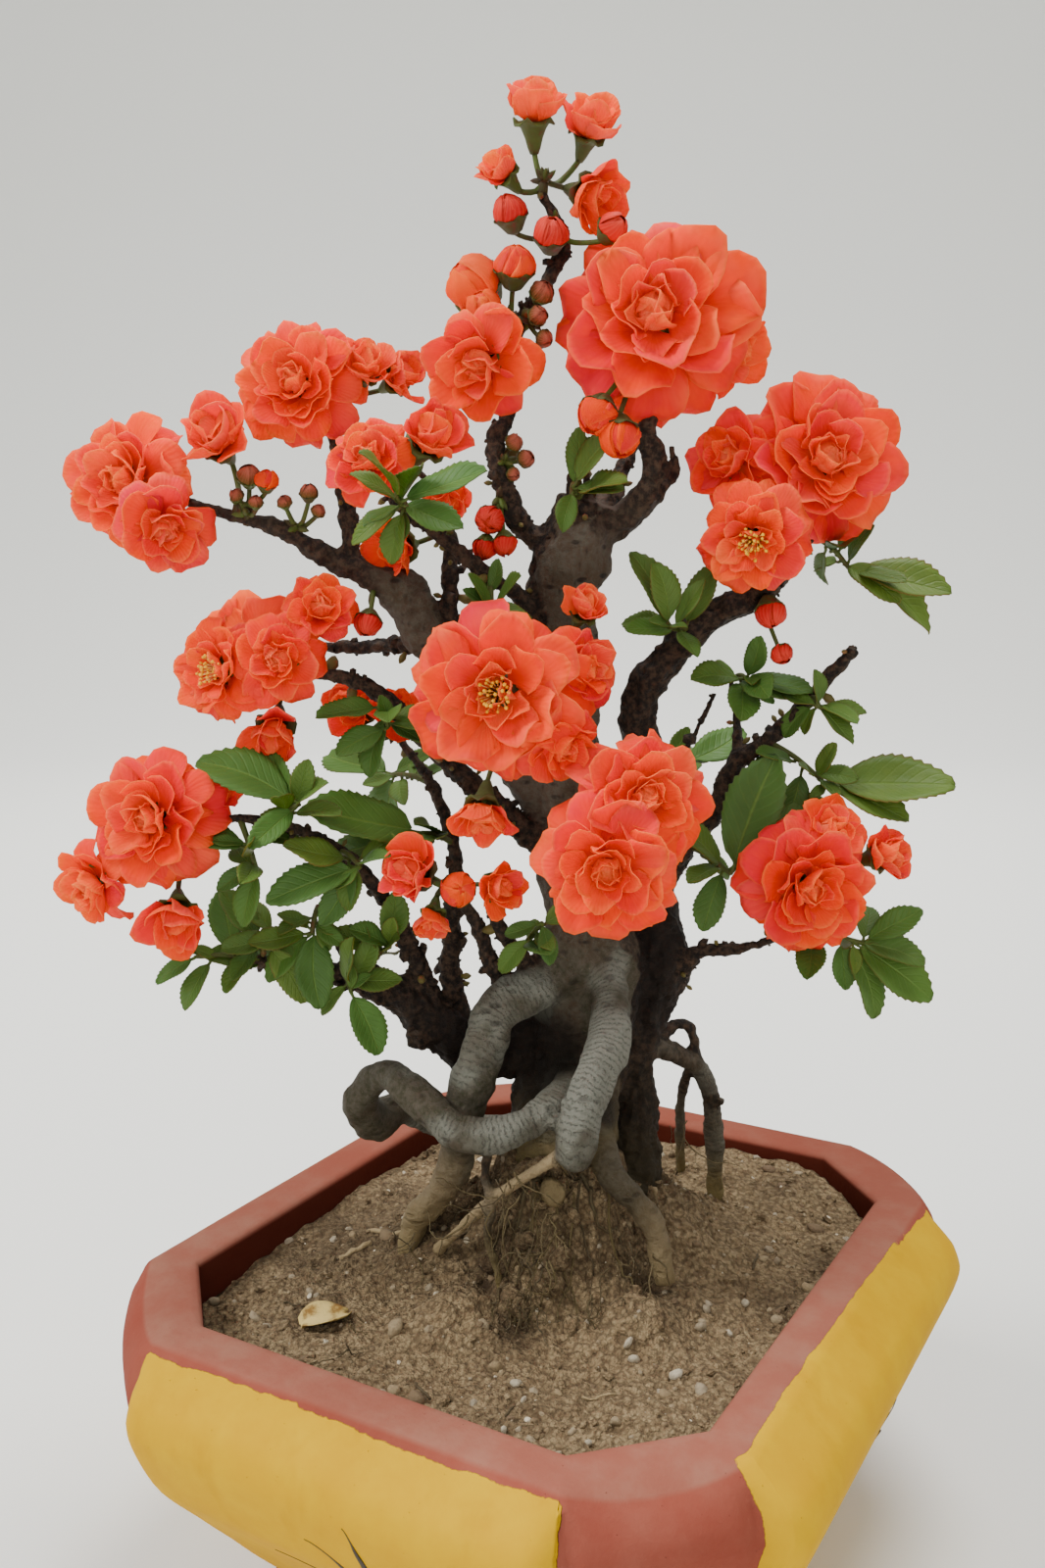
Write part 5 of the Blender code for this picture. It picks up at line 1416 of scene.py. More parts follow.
    def build(self) -> bpy.types.Object:
        """The pot with its seams, finish and drain holes.

        Returns:
            The finished piece.
        """
        rows = []
        levels = self.levels()
        for offset, height, outer in levels:
            share = held((self.rim_width + offset) / (self.rim_width - 1)) if outer is None else float(outer)
            around = zip(self.outline(offset, True, height), self.outline(offset, False))
            for (place, seam, outward, drop), (flat, *_) in around:
                at = flat.lerp(place, share)
                if outer:
                    at = at - outward * self.seam_inset(seam, height)
                over = read_off(at.y, self.rim_paint) if at.x > self.half_x - 2 * self.rim_width else 0.0
                painted = min(over + (self.paint_top - height if outer else offset), seam)
                rows.append((at.x, at.y, height - drop, painted, outer is False, outer is None))
        table = np.array(rows, dtype=float)
        count = len(rows) // len(levels)
        sketch = MeshSketch()
        sketch.add(table[:, :3] * MM, caps(len(levels), count) + ring_faces(len(levels), count),
                   painted=table[:, 3], inner_wall=table[:, 4], rim_top=table[:, 5])
        return finished(self._drained(sketch.piece("pot_body_", self.finish.material())), "pot_clay", "pot")

    def _drained(self, body: bpy.types.Object) -> bpy.types.Object:
        """Cuts the two drain holes.

        Args:
            body: The pot without its holes, which is removed.

        Returns:
            The pot with them.
        """
        cutter = MeshSketch()
        turns = [FULL_TURN * k / self.drain_steps for k in range(self.drain_steps)]
        for middle in (-self.drain_spacing / 2, self.drain_spacing / 2):
            cutter.add([((middle + self.drain_radius * math.cos(turn)) * MM, self.drain_radius * math.sin(turn) * MM,
                         z * MM) for z in (-20, 40) for turn in turns],
                       caps(2, self.drain_steps) + ring_faces(2, self.drain_steps))
        drill = cutter.piece("drill")
        cut = body.modifiers.new("drains", "BOOLEAN")
        cut.operation, cut.object, cut.solver = "DIFFERENCE", drill, "MANIFOLD"
        made = evaluated_copy(body, "pot_body")
        bpy.data.objects.remove(drill)
        bpy.data.objects.remove(body)
        return made

    def on_side(self, side: int, along: float, height: float, proud: float) -> Vector:
        """A place on a painted side in metres.

        Args:
            side: 0 for the front, then 1, 2 and 3 anticlockwise from above.
            along: From the side's middle, in mm to the right as one faces it.
            height: Over the foot, in mm.
            proud: How far outside the surface, in mm.

        Returns:
            The place.
        """
        offset = read_off(height, [row[::-1] for row in self.outside])
        half, width = (self.half_y, self.half_x) if side % 2 == 0 else (self.half_x, self.half_y)
        seam = width + offset - (self.corner_cut + self.cut_taper * offset) - abs(along)
        half += offset + self.side_out(side, seam, height) + proud
        return Matrix.Rotation(side * math.pi / 2, 3, "Z") @ Vector((along, -half, height)) * MM


@dataclass
class BrushWork:
    """Plain grass blades in dry ink on the painted sides."""

    pot: Pot
    proud: float = 0.18
    rows: int = 22
    columns: int = 4
    finish: InkFinish = field(default_factory=InkFinish)
    # Side, root along it, root height, then for each blade: reach along, rise, bend and width.
    tufts: tuple[tuple[int, float, float, Table], ...] = (
        (0, 18.0, 30.0, ((-42, 44, 10, 1.9), (-22, 58, 5, 2.3), (-6, 66, 2, 2.0), (14, 60, -4, 2.2), (34, 47, -9, 1.8),
                         (46, 30, -12, 1.4))),
        (1, -8.0, 34.0, ((-34, 42, 8, 1.8), (-16, 60, 4, 2.1), (4, 56, -3, 2.0), (26, 50, -8, 1.7), (40, 28, -9, 1.3))),
        (2, 10.0, 32.0, ((-38, 46, 9, 1.9), (-10, 62, 3, 2.2), (20, 56, -6, 2.0), (42, 34, -10, 1.5))),
        (3, 0.0, 32.0, ((-36, 44, 9, 1.8), (-12, 60, 4, 2.1), (16, 58, -5, 2.0), (36, 40, -9, 1.6))))

    def blade(self, side: int, along: float, foot: float, reach: float, rise: float, bend: float,
              width: float) -> np.ndarray:
        """One brush stroke.

        Args:
            side: The side of the pot, as in on_side.
            along: Where its root is along the side.
            foot: How high its root is.
            reach: How far along its tip is from its root.
            rise: How high it rises.
            bend: How far it bows out.
            width: Its half width.

        Returns:
            A grid of places on the pot, in metres.
        """
        lean = math.atan2(rise, reach + 1e-6) + math.pi / 2
        rows = []
        for t in np.linspace(0, 1, self.rows):
            middle = along + reach * t ** 1.25 + bend * math.sin(math.pi * t)
            height = foot + rise * (1 - (1 - t) ** 1.5) - abs(reach) * 0.18 * t * t
            half = width * (0.25 + 0.75 * math.sin(math.pi * min(1.0, t * 1.25) ** 0.8)) * (1 - t ** 6)
            half = max(half, 0.12) * (1 + 0.18 * noise.noise(Vector((t * 9, reach, 0))))
            rows.append([self.pot.on_side(side, middle + half * u * math.cos(lean), height + half * u * math.sin(lean),
                                          self.proud) for u in np.linspace(-1, 1, self.columns)])
        return np.array(rows)

    def build(self) -> bpy.types.Object:
        """The strokes as one thin piece.

        Returns:
            The finished piece.
        """
        sketch = MeshSketch()
        for side, along, foot, blades in self.tufts:
            for order, shape in enumerate(blades):
                grid = self.blade(side, along + order * 1.3, foot + (order % 3) * 1.6, *shape)
                sketch.add(*thick_grid(grid, 0.3 * MM), tint=order * 1.7 + side, **grid_values(self.rows, self.columns))
        return finished(sketch.piece("brush_strokes", self.finish.material()), "pot_clay")


@dataclass
class SoilBed:
    """The soil: mounded round the roots, lumpy, with grit and pebbles scattered on it."""

    pot: Pot
    edge_height: float = 106.0
    gap: float = 0.35
    # Middle across, middle away, height, half width across and half width away, in the tree's frame.
    mounds: Table = (
        (0, 0, 10, 66, 66), (-30, 0, 20, 17, 20), (32, 6, 24, 20, 22), (28, -58, 8, 9, 9), (-33, -52, 9, 10, 9),
        (93, 82, 6.5, 50, 40), (-130, -35, -4, 28, 28))
    ball: tuple[float, ...] = (1, -18, 36, 25, 28)
    ball_steepness: float = 7.0
    # Lumps on the root ball: across, away, rise and half width.
    lumps: Table = (
        (-0.8, -34.5, 3.4, 4), (11.4, -45.3, 4, 6), (-3.7, -45.3, 3.4, 5.5), (18.9, -32.7, 4.4, 7),
        (-12.6, -38.2, 4, 5), (6.3, -41.2, 3, 4), (27.6, -58.9, 3.4, 7), (43.6, -42.2, 4.5, 7), (-42.7, -1, 3, 7),
        (49.8, -11.3, 3.4, 7), (34, -37, -5, 4), (-15, -60, -2.5, 4.5), (-24, -34, -3.5, 4.5))
    # Damp places and spots of painted shade in the hollows, and dry places: across, away, half width and how dark, dry
    # ones below nothing.
    damp_and_shade_spots: Table = (
        (-42, -14, 16, 0.8), (-50, 16, 20, 0.7), (-15, -61, 7, 0.9), (34, -37, 7, 1.0), (20, 10, 26, 0.7),
        (-24, -34, 7, 0.6), (60, 10, 16, 0.4), (1, -41, 15, -1.3), (9, -51, 11, -0.9), (27, -62, 8, -0.6),
        (-33, -60, 10, -0.6), (-97, -14, 24, 0.5), (-73, 40, 30, 0.7), (6, -84, 24, -0.4), (-60, -8, 14, 0.9),
        (-20, -44, 7, 0.8))
    rings: int = 112
    # How near the pot's wall crumbs may lie, and clods, by the way out from the middle.
    crumb_edge: float = 0.985
    clod_edge: float = 0.9
    finish: SoilFinish = field(default_factory=SoilFinish)

    def smooth_height(self, x: float, y: float) -> float:
        """How high the soil stands without its lumps.

        Args:
            x: Across, in the tree's frame.
            y: Away.

        Returns:
            The height.
        """
        height = self.edge_height
        for across, away, rise, wide, deep in self.mounds:
            height += rise * math.exp(-((x - across) / wide) ** 2 / 2 - ((y - away) / deep) ** 2 / 2)
        across, away, rise, wide, deep = self.ball
        reach = math.hypot((x - across) / wide, (y - away) / deep)
        return height + rise / (1 + math.exp(self.ball_steepness * (reach - 1)))

    def surface(self, x: float, y: float) -> float:
        """How high the soil stands with its lumps and crumbs.

        Args:
            x: Across, in the tree's frame.
            y: Away.

        Returns:
            The height.
        """
        at = Vector((x, y, 0.0))
        plain = self.smooth_height(x, y)
        steep = held((plain - self.edge_height - 9) / 20)
        lumps = noise.noise(at * 0.045) * (2.4 + 1.8 * steep) + noise.noise(at * 0.09) * 3.0 * steep
        lumps += sum(rise * math.exp(-((x - across) ** 2 + (y - away) ** 2) / (2 * wide * wide))
                     for across, away, rise, wide in self.lumps)
        clods = (0.42 - abs(noise.noise(at * 0.14 + Vector((7, 3, 1))))) * (2.6 + 6.0 * steep)
        crumbs = noise.noise(at * 0.27) * (1.3 + 1.9 * steep) + noise.noise(at * 0.7) * (0.6 + 0.5 * steep)
        return plain + lumps + clods + crumbs - 1.0 - 1.6 * steep

    def damp_and_shade_level(self, x: float, y: float, near: float) -> float:
        """How damp the soil is, with painted shade in the hollows round the root ball and under the pot's back wall.

        Args:
            x: Across, in the tree's frame.
            y: Away.
            near: How near the roots this is, from 0 to 1.

        Returns:
            How dark it is from dampness and painted shade, from 0 to 1.
        """
        # Damp places and spots of painted shade.
        spot_damp_and_shade = sum(much * math.exp(-((x - across) ** 2 + (y - away) ** 2) / (wide * wide))
                  for across, away, wide, much in self.damp_and_shade_spots)
        return held(near * 0.6 + spot_damp_and_shade * 0.8 + noise.noise(Vector((x, y, 0)) * 0.03) * 0.5)

    def build(self) -> bpy.types.Object:
        """The closed body of soil, with its damp places, its painted shade and where crumbs and clods may lie.

        Returns:
            The finished piece.
        """
        edge = self.pot.outline(self.pot.inside[1][0] - self.gap, False)
        back = Matrix.Rotation(-TREE_TURN, 2)
        rows = [(place.x, place.y, height + self.gap, 1.0, 0.0, 0.0)
                for offset, height in reversed(self.pot.inside[1:])
                for place, *_ in self.pot.outline(offset - self.gap, False)]
        for i in range(self.rings):
            share = max(0.0015, (1 - i / (self.rings - 1)) ** 0.92)
            for place, *_ in edge:
                x, y = back @ (place * share)
                near = math.exp(-((x + 4) / 46) ** 2 - ((y + 16) / 48) ** 2)
                rows.append((place.x * share, place.y * share, self.surface(x, y), self.damp_and_shade_level(x, y, near),
                             share < self.crumb_edge, near > 0.4 and share < self.clod_edge))
        table = np.array(rows, dtype=float)
        levels, count = len(rows) // len(edge), len(edge)
        sketch = MeshSketch()
        sketch.add(table[:, :3] * MM, caps(levels, count) + ring_faces(levels, count),
                   damp=table[:, 3], top=table[:, 4], mound=table[:, 5])
        return finished(sketch.piece("soil_bed", self.finish.material()), "soil", "soil")


def stone(name: str, rng: random.Random, detail: int) -> bpy.types.Object:
    """An uneven stone a unit across.

    Args:
        name: Its name.
        rng: Where its unevenness comes from.
        detail: 1 for twenty faces, 2 for eighty.

    Returns:
        The pattern, for a scatter tree.
    """
    shape = bmesh.new()
    bmesh.ops.create_icosphere(shape, subdivisions=detail, radius=0.5)
    stretch = Vector((1, rng.uniform(0.6, 0.95), rng.uniform(0.45, 0.75)))
    offset = Vector((rng.uniform(0, 50), rng.uniform(0, 50), 0))
    for vert in shape.verts:
        vert.co = vert.co * (1 + 0.45 * noise.noise(vert.co * 2.2 + offset)) * stretch
    mesh = bpy.data.meshes.new(name)
    shape.to_mesh(mesh)
    shape.free()
    smooth(mesh, detail > 1)
    return linked(name, mesh)


class ScatterTree(ShapeTree):
    """Sets shapes out over a surface, each with its own size, turn and tint."""

    def __init__(self, name: str, guide: str, upright: bool) -> None:
        """Builds the tree.

        Args:
            name: The tree's name.
            guide: The surface's attribute that says where shapes may lie.
            upright: Whether the shapes point along the surface's normal.
        """
        super().__init__(name)
        density, least, most = (self.asked(limit, "Float") for limit in ("Density", "Least", "Most"))
        seed = self.asked("Seed", "Int")
        allowed = self.node("ShaderNodeMath", {"operation": "GREATER_THAN"}, {0: self.value(guide), 1: 0.5})
        points = self.node("GeometryNodeDistributePointsOnFaces", {}, {
            "Mesh": self.start.outputs["Geometry"], "Density": density, "Seed": seed, "Selection": allowed}, "Points")
        spread = self.node("ShaderNodeMath", {"operation": "POWER"}, {0: self.chance(seed, 11), 1: 3.0})
        size = self.node("ShaderNodeMapRange", {}, {"Value": spread, "To Min": least, "To Max": most})
        tinted = self.node("GeometryNodeStoreNamedAttribute", {"data_type": "FLOAT", "domain": "POINT"}, {
            "Geometry": points, "Name": "tint", "Value": self.chance(seed, 23)})
        tilt = 0 if upright else 0.5
        spin = self.node("FunctionNodeRandomValue", {"data_type": "FLOAT_VECTOR"}, {
            0: (0, 0, 0), 1: (tilt, tilt, 6.28), 8: 5})
        turn = self.node("FunctionNodeRotateRotation", {"rotation_space": "LOCAL"}, {
            0: points.node.outputs["Rotation"], 1: self.node("FunctionNodeEulerToRotation", {}, {0: spin})})
        pick = self.node("FunctionNodeRandomValue", {"data_type": "INT"}, {4: 0, 5: 40, 8: 3}, 2)
        self.set_out(tinted, pick, turn, size)

    def chance(self, seed: bpy.types.NodeSocket, turn: int) -> bpy.types.NodeSocket:
        """A seeded random number from 0 to 1 for each point."""
        shifted = self.node("ShaderNodeMath", {"operation": "ADD"}, {0: seed, 1: float(turn)})
        return self.node("FunctionNodeRandomValue", {"data_type": "FLOAT"}, {2: 0.0, 3: 1.0, 8: shifted}, 1)

    def spread(self, ground: bpy.types.Object, name: str, density: float, sizes: tuple[float, float], seed: int,
               shapes: Sequence[bpy.types.Object], finish: bpy.types.Material) -> bpy.types.Object:
        """Sets shapes out over a piece.

        Args:
            ground: The piece, which stays as it is.
            name: The new piece's name.
            density: How many shapes there are for each square metre.
            sizes: The smallest and largest size in metres.
            seed: The seed of its places.
            shapes: The shapes, which are put away.
            finish: Their finish.

        Returns:
            The new piece.
        """
        base = linked(name + "_base", ground.data.copy())
        return self.grown(base, name, Density=density, Least=sizes[0], Most=sizes[1], Seed=seed,
                          Shapes=shelf(name + "_shapes", shapes), Finish=finish)


@dataclass
class Grit:
    """Crumbs and pebbles lying on the soil."""

    soil: bpy.types.Object
    # For each piece: whether it lies on the mound only, whether it is earth, its shapes' detail, how many
    # there are for each square metre, and the smallest and largest size in metres.
    layers: tuple[tuple[str, bool, bool, int, float, tuple[float, float]], ...] = (
        ("grit_crumbs", False, False, 1, 42000.0, (0.0007, 0.0042)),
        ("soil_crumbs", False, True, 1, 25200.0, (0.0010, 0.0060)),
        ("soil_clods", True, True, 2, 12000.0, (0.0030, 0.0150)),
        ("grit_pebbles", False, False, 2, 2600.0, (0.0018, 0.0078)))
    patterns: int = 5
    seed: int = 7
    finish: GritFinish = field(default_factory=GritFinish)

    def build(self) -> None:
        """Each layer as one piece."""
        rng = random.Random(self.seed)
        grit, earth = self.finish.material(), self.soil.data.materials[0]
        on_top, on_mound = ScatterTree("lay_grit", "top", False), ScatterTree("lay_clods", "mound", False)
        for name, mounded, earthy, detail, density, sizes in self.layers:
            shapes = [stone(f"{name}_{i}", rng, detail) for i in range(self.patterns)]
            finished((on_mound if mounded else on_top).spread(
                self.soil, name, density, sizes, self.seed, shapes, earth if earthy else grit), "soil")


class Sample(NamedTuple):
    """A fine point of a route: its place, radius, way along the route in mm and route."""

    place: Vector
    radius: float
    arc: float
    route: Route
    # Its tone up to grey, how tan it is, how ringed, and its radius.
    traits: tuple[float, float, float, float]


@dataclass
class Wood:
    """Roots, trunks and branches, grown together into one skin of bark."""

    routes: Sequence[Route]
    soil: SoilBed
    step: float = 2.5
    sides: int = 20
    wobble: float = 0.17
    skin: float = 1.24
    # How many fine points near it mark a place on the bark, and how fast they fade, per mm.
    neighbours: int = 8
    fading: float = 0.9
    # How far a sawn end reaches by its radius, and the least upward turn of its face.
    cut_reach: float = 1.15
    cut_level: float = 0.6
    # Twigs that carry buds and nubs are thinner than this in mm, this high over the soil, and darker.
    twig: tuple[float, float, float] = (5.5, 26.0, 0.3)
    # Wood this high over the soil in mm is the darker the nearer it is to this radius.
    young_height: float = 40.0
    young_radius: float = 3.5
    # How high over the soil the bark is stained in mm, strongly and faintly, and how faintly.
    stained: tuple[float, float, float] = (22.0, 60.0, 0.25)
    # How deep knobs are by the wood's radius, and at most in mm.
    knob_share: float = 0.1
    deepest_knob: float = 1.0
    # How deep ringed roots are creased, and young bark cracked, in mm.
    crease: float = 0.34
    crack: float = 0.45
    finish: BarkFinish = field(default_factory=BarkFinish)
    # Hollows between the roots where little light comes, where the bark gets painted shade: across, down, depth and
    # reach in mm.
    hollows: Table = (
        (560, 1075, -6, 24), (560, 1120, -4, 22), (530, 1140, 0, 18), (610, 1135, -14, 14), (655, 1000, 22, 26),
        (640, 930, 20, 22), (455, 1060, 6, 22), (650, 1180, -10, 16))
    # The routes whose last point is a sawn end.
    sawn: tuple[str, ...] = ("centre_trunk", "right_limb", "low_left_stub", "outer_root_stub", "snag_left",
                             "snag_right")

    def build(self) -> bpy.types.Object:
        """The skin, with its marks for the bark's finish.

        Returns:
            The finished piece.
        """
        sketch = MeshSketch()
        samples: list[Sample] = []
        ends = []
        for route in self.routes:
            rows = np.array([(*spot(x, y, depth), width / 2) for x, y, depth, width in route.points])
            rows = splined(rows, self.step)
            sketch.tube(rows, self.sides, wobble=self.wobble)
            arcs = np.concatenate([[0], np.cumsum(np.linalg.norm(np.diff(rows[:, :3], axis=0), axis=1))])
            tone = route.tone.value
            for row, arc in zip(rows, arcs):
                traits = min(1.0, tone), max(0.0, tone - 1), route.rings, row[3]
                samples.append(Sample(Vector(row[:3]), row[3], arc, route, traits))
            if route.name in self.sawn:
                ends.append((samples[-1].place, samples[-1].radius))
        core = sketch.piece("wood_core", self.finish.material())
        skin = core.modifiers.new("skin", "REMESH")
        skin.mode, skin.voxel_size = "VOXEL", self.skin * MM
        soft = core.modifiers.new("soft", "SMOOTH")
        soft.factor, soft.iterations = 0.5, 3
        piece = evaluated_copy(core, "wood_skin")
        bpy.data.objects.remove(core)
        self._carve(piece.data, samples, ends)
        return finished(piece, "bark", "wood")

    def _carve(self, mesh: bpy.types.Mesh, samples: Sequence[Sample], ends: Sequence[tuple[Vector, float]]) -> None:
        """Marks each point from the routes near it, and gives the bark its knobs, rings and cracks.

        Args:
            mesh: The skin.
            samples: The fine points of every route.
            ends: The place and radius of each sawn end.
        """
        tree = KDTree(len(samples))
        for i, sample in enumerate(samples):
            tree.insert(sample.place, i)
        tree.balance()
        back = TO_POT.inverted()
        turned = TO_POT.to_3x3().inverted()
        hollows = [(spot(*hollow[:3]), hollow[3]) for hollow in self.hollows]
        thin, high, dark = self.twig
        near_soil, far_soil, faintness = self.stained
        marks, places = [], []
        for vert in mesh.vertices:
            place = back @ (vert.co / MM)
            near = [(max(0.0, distance - samples[i].radius), samples[i])
                    for _, i, distance in tree.find_n(place, self.neighbours)]
            closest, host = min(near, key=lambda item: item[0])
            weights = [math.exp(-(gap - closest) * self.fading) for gap, _ in near]
            whole = sum(weights)
            tone, tan, ring, radius = (sum(w * s.traits[k] for w, (_, s) in zip(weights, near)) / whole
                                       for k in range(4))
            same = [(w, s) for w, (_, s) in zip(weights, near) if s.route is host.route]
            arc = sum(w * s.arc for w, s in same) / sum(w for w, _ in same)
            above = place.z - self.soil.smooth_height(place.x, place.y)
            level = (turned @ vert.normal).z > self.cut_level
            cut = float(any((place - at).length < size * self.cut_reach and level for at, size in ends))
            # Painted shade: darker on thick dark wood and near the listed hollows between the roots.
            shade = max(min(0.6, (radius - 5) / 8) * (1 - 1.6 * tone),
                        *(1 - (place - at).length / reach for at, reach in hollows))
            twig = float(radius < thin and above > high and tone < dark)
            if above > self.young_height and ring < 0.5:
                # Thin branches are younger and darker than the limb that they grow from.
                tone *= min(1.0, max(0.15, (radius - self.young_radius) / 5))
            soiled = held(1 - above / near_soil) + faintness * held(1 - above / far_soil)
            marks.append((tone, ring, arc, soiled, cut, twig, tan, max(0.0, shade)))
            places.append(vert.co + vert.normal * (self._relief(place, arc, radius, tone, ring, cut) * MM))
        mesh.vertices.foreach_set("co", [c for place in places for c in place])
        mark(mesh, dict(zip(("tone", "ring", "arc", "soiled", "cut", "twig", "tan", "hollow"), zip(*marks))))
        smooth(mesh)
        mesh.update()

    def _relief(self, place: Vector, arc: float, radius: float, tone: float, ring: float, cut: float) -> float:
        """How far the bark stands out from the smooth skin.

        Args:
            place: The place in the tree's frame.
            arc: How far along its route it is, in mm.
            radius: The wood's radius there.
            tone: How old the bark is, from 0 to 1.
            ring: How ringed it is.
            cut: Whether it is a sawn face.

        Returns:
            The lift in mm: knobs, less the creases of ringed roots and the cracks of young bark.
        """
        depth = min(self.knob_share * radius, self.deepest_knob)
        rough = (1.0 - 0.6 * ring) * (1.0 - 0.45 * tone) * min(1.0, radius / self.young_radius) * (1 - cut)
        lift = noise.noise(place * 0.07) * depth * 2.2 + noise.noise(place * 0.2) * (depth + 0.9 * rough)
        lift += noise.noise(place * 0.42) * 0.9 * rough + noise.noise(place * 0.8) * 0.3 * rough
        fold = noise.noise(place * 0.11) * 15.0
        crease = max(0.0, math.sin(arc * 0.9 + fold)) ** 8 * ring * self.crease
        flaw = abs(noise.noise(place * 0.3 + Vector((0, 0, arc * 0.04))))
        crack = (1 - min(1.0, flaw * 7)) * (1 - tone) * self.crack
        return lift - (crease * max(0.0, noise.noise(place * 0.2) + 0.3) + crack * min(1.0, radius / 5))


@dataclass
class Nubs:
    """Spurs and bud scars that roughen the young branches."""

    wood: bpy.types.Object
    finish: bpy.types.Material
    patterns: int = 4
    density: float = 16000.0
    sizes: Span = (0.0012, 0.0056)
    seed: int = 12

    def build(self) -> bpy.types.Object:
        """The nubs as one piece.

        Returns:
            The finished piece.
        """
        rng = random.Random(self.seed)
        shapes = []
        for i in range(self.patterns):
            shape = stone(f"nub_{i}", rng, 1)
            for vert in shape.data.vertices:
                vert.co.z = vert.co.z * 1.5 + 0.12
                vert.co.x += max(0.0, vert.co.z) * rng.uniform(0.1, 0.5)
            smooth(shape.data)
            shapes.append(shape)
        return finished(ScatterTree("set_nubs", "twig", True).spread(
            self.wood, "bark_nubs", self.density, self.sizes, self.seed, shapes, self.finish), "bark")


@dataclass
class TwigBuds:
    """Tiny closed buds that sit on the young wood."""

    wood: bpy.types.Object
    finish: StalkFinish = field(default_factory=lambda: StalkFinish("twig_buds", "5E5428", "7A2C20", "B42C30"))
    density: float = 4200.0
    sizes: Span = (0.0022, 0.0062)
    seed: int = 19
    # How far each kind of bud leans, and a bud's radius and height by its size.
    leans: tuple[float, ...] = (0.0, 0.3)
    outline: Table = ((0.2, -0.2), (0.3, 0.2), (0.42, 0.55), (0.3, 0.95), (0.05, 1.25))

    def build(self) -> bpy.types.Object:
        """The buds as one piece.

        Returns:
            The finished piece.
        """
        shapes = []
        for i, lean in enumerate(self.leans):
            sketch = MeshSketch()
            rows = [(lean * height, 0, height, radius) for radius, height in self.outline]
            sketch.add(*tube_shape(np.array(rows), 6))
            shapes.append(sketch.piece(f"twig_bud_{i}"))
        return finished(ScatterTree("set_buds", "twig", True).spread(
            self.wood, "twig_buds", self.density, self.sizes, self.seed, shapes, self.finish.material()), "buds")


@dataclass
class HairRoots:
    """Fine roots that hang over the root ball and lie on the soil."""

    soil: SoilBed
    finish: bpy.types.Material
    # Where a tuft starts: across, down and depth, how many roots and how long they are in mm.
    tufts: Table = (
        (520, 1205, -50, 9, 46), (545, 1290, -56, 14, 26), (532, 1330, -60, 26, 15), (560, 1240, -54, 7, 30),
        (640, 1290, -52, 8, 22), (500, 1240, -46, 8, 34), (430, 1262, -30, 6, 24), (350, 1352, -70, 5, 18),
        (690, 1150, 20, 5, 30), (600, 1330, -58, 6, 20), (660, 1345, -58, 6, 16))
    tuft_spread: Span = (14, 10)
    strands: int = 15
    strand_steps: int = 16
    hair_steps: int = 12
    # How much thinner a strand and a hair get at each step.
    strand_taper: float = 0.045
    hair_taper: float = 0.055
    # How far over the soil's smooth height a hair stays, in mm.
    hair_gap: float = 0.6
    seed: int = 3

    def strand(self, sketch: MeshSketch, rng: random.Random) -> None:
        """Adds a root that clings to the ball's face from near its top to the soil.

        Args:
            sketch: Where it goes.
            rng: Where its course comes from.
        """
        across, away, _, wide, deep = self.soil.ball
        turn = math.radians(rng.choice((rng.gauss(-125, 16), rng.uniform(-185, 5))))
        top, foot = rng.uniform(0.2, 0.6), rng.uniform(1.15, 1.7)
        thick = rng.uniform(0.35, 1.15)
        rows = []
        for k in range(self.strand_steps):
            reach = top + (foot - top) * k / (self.strand_steps - 1)
            turn += rng.gauss(0, 0.045)
            x, y = across + math.cos(turn) * reach * wide, away + math.sin(turn) * reach * deep
            rows.append((x, y, self.soil.surface(x, y) + thick * 0.45 + 0.5,
                         thick * (1 - self.strand_taper * k)))
        sketch.tube(rows, 6, tone=rng.uniform(0.4, 1.0), soiled=rng.uniform(0.2, 0.9))

    def hair(self, sketch: MeshSketch, rng: random.Random, place: Vector, length: float) -> None:
        """Adds a root that hangs from a place and wanders over the soil.

        Args:
            sketch: Where it goes.
            rng: Where its course comes from.
            place: Where it starts.
            length: How long it may be, in mm.
        """
        turn = rng.uniform(0, FULL_TURN)
        way = Vector((math.cos(turn) * 0.8, math.sin(turn) * 0.5 - 0.3, -0.9)).normalized()
        reach = length * rng.uniform(0.5, 1.0)
        thick = rng.uniform(0.16, 0.42)
        rows = []
        for k in range(self.hair_steps):
            floor = self.soil.smooth_height(place.x, place.y) + self.hair_gap
            if place.z < floor:
                place = Vector((place.x, place.y, floor + rng.uniform(0, 0.5)))
                way.z = abs(way.z) * 0.15
            rows.append((*place, thick * (1 - self.hair_taper * k)))
            way = (way + random_way(rng, 0, 0, -0.25) * 0.34).normalized()
            place = place + way * (reach / (self.hair_steps - 1))
        sketch.tube(rows, 4, tone=rng.uniform(0.4, 1.0), soiled=rng.uniform(0.2, 0.8))

    def build(self) -> bpy.types.Object:
        """The roots as one piece.

        Returns:
            The finished piece.
        """
        rng = random.Random(self.seed)
        sketch = MeshSketch()
        wide, tall = self.tuft_spread
        for across, down, depth, count, length in self.tufts:
            for _ in range(count):
                self.hair(sketch, rng, spot(across + rng.gauss(0, wide), down + rng.gauss(0, tall), depth), length)
        for _ in range(self.strands):
            self.strand(sketch, rng)
        return finished(sketch.piece("hair_roots", self.finish), "bark")


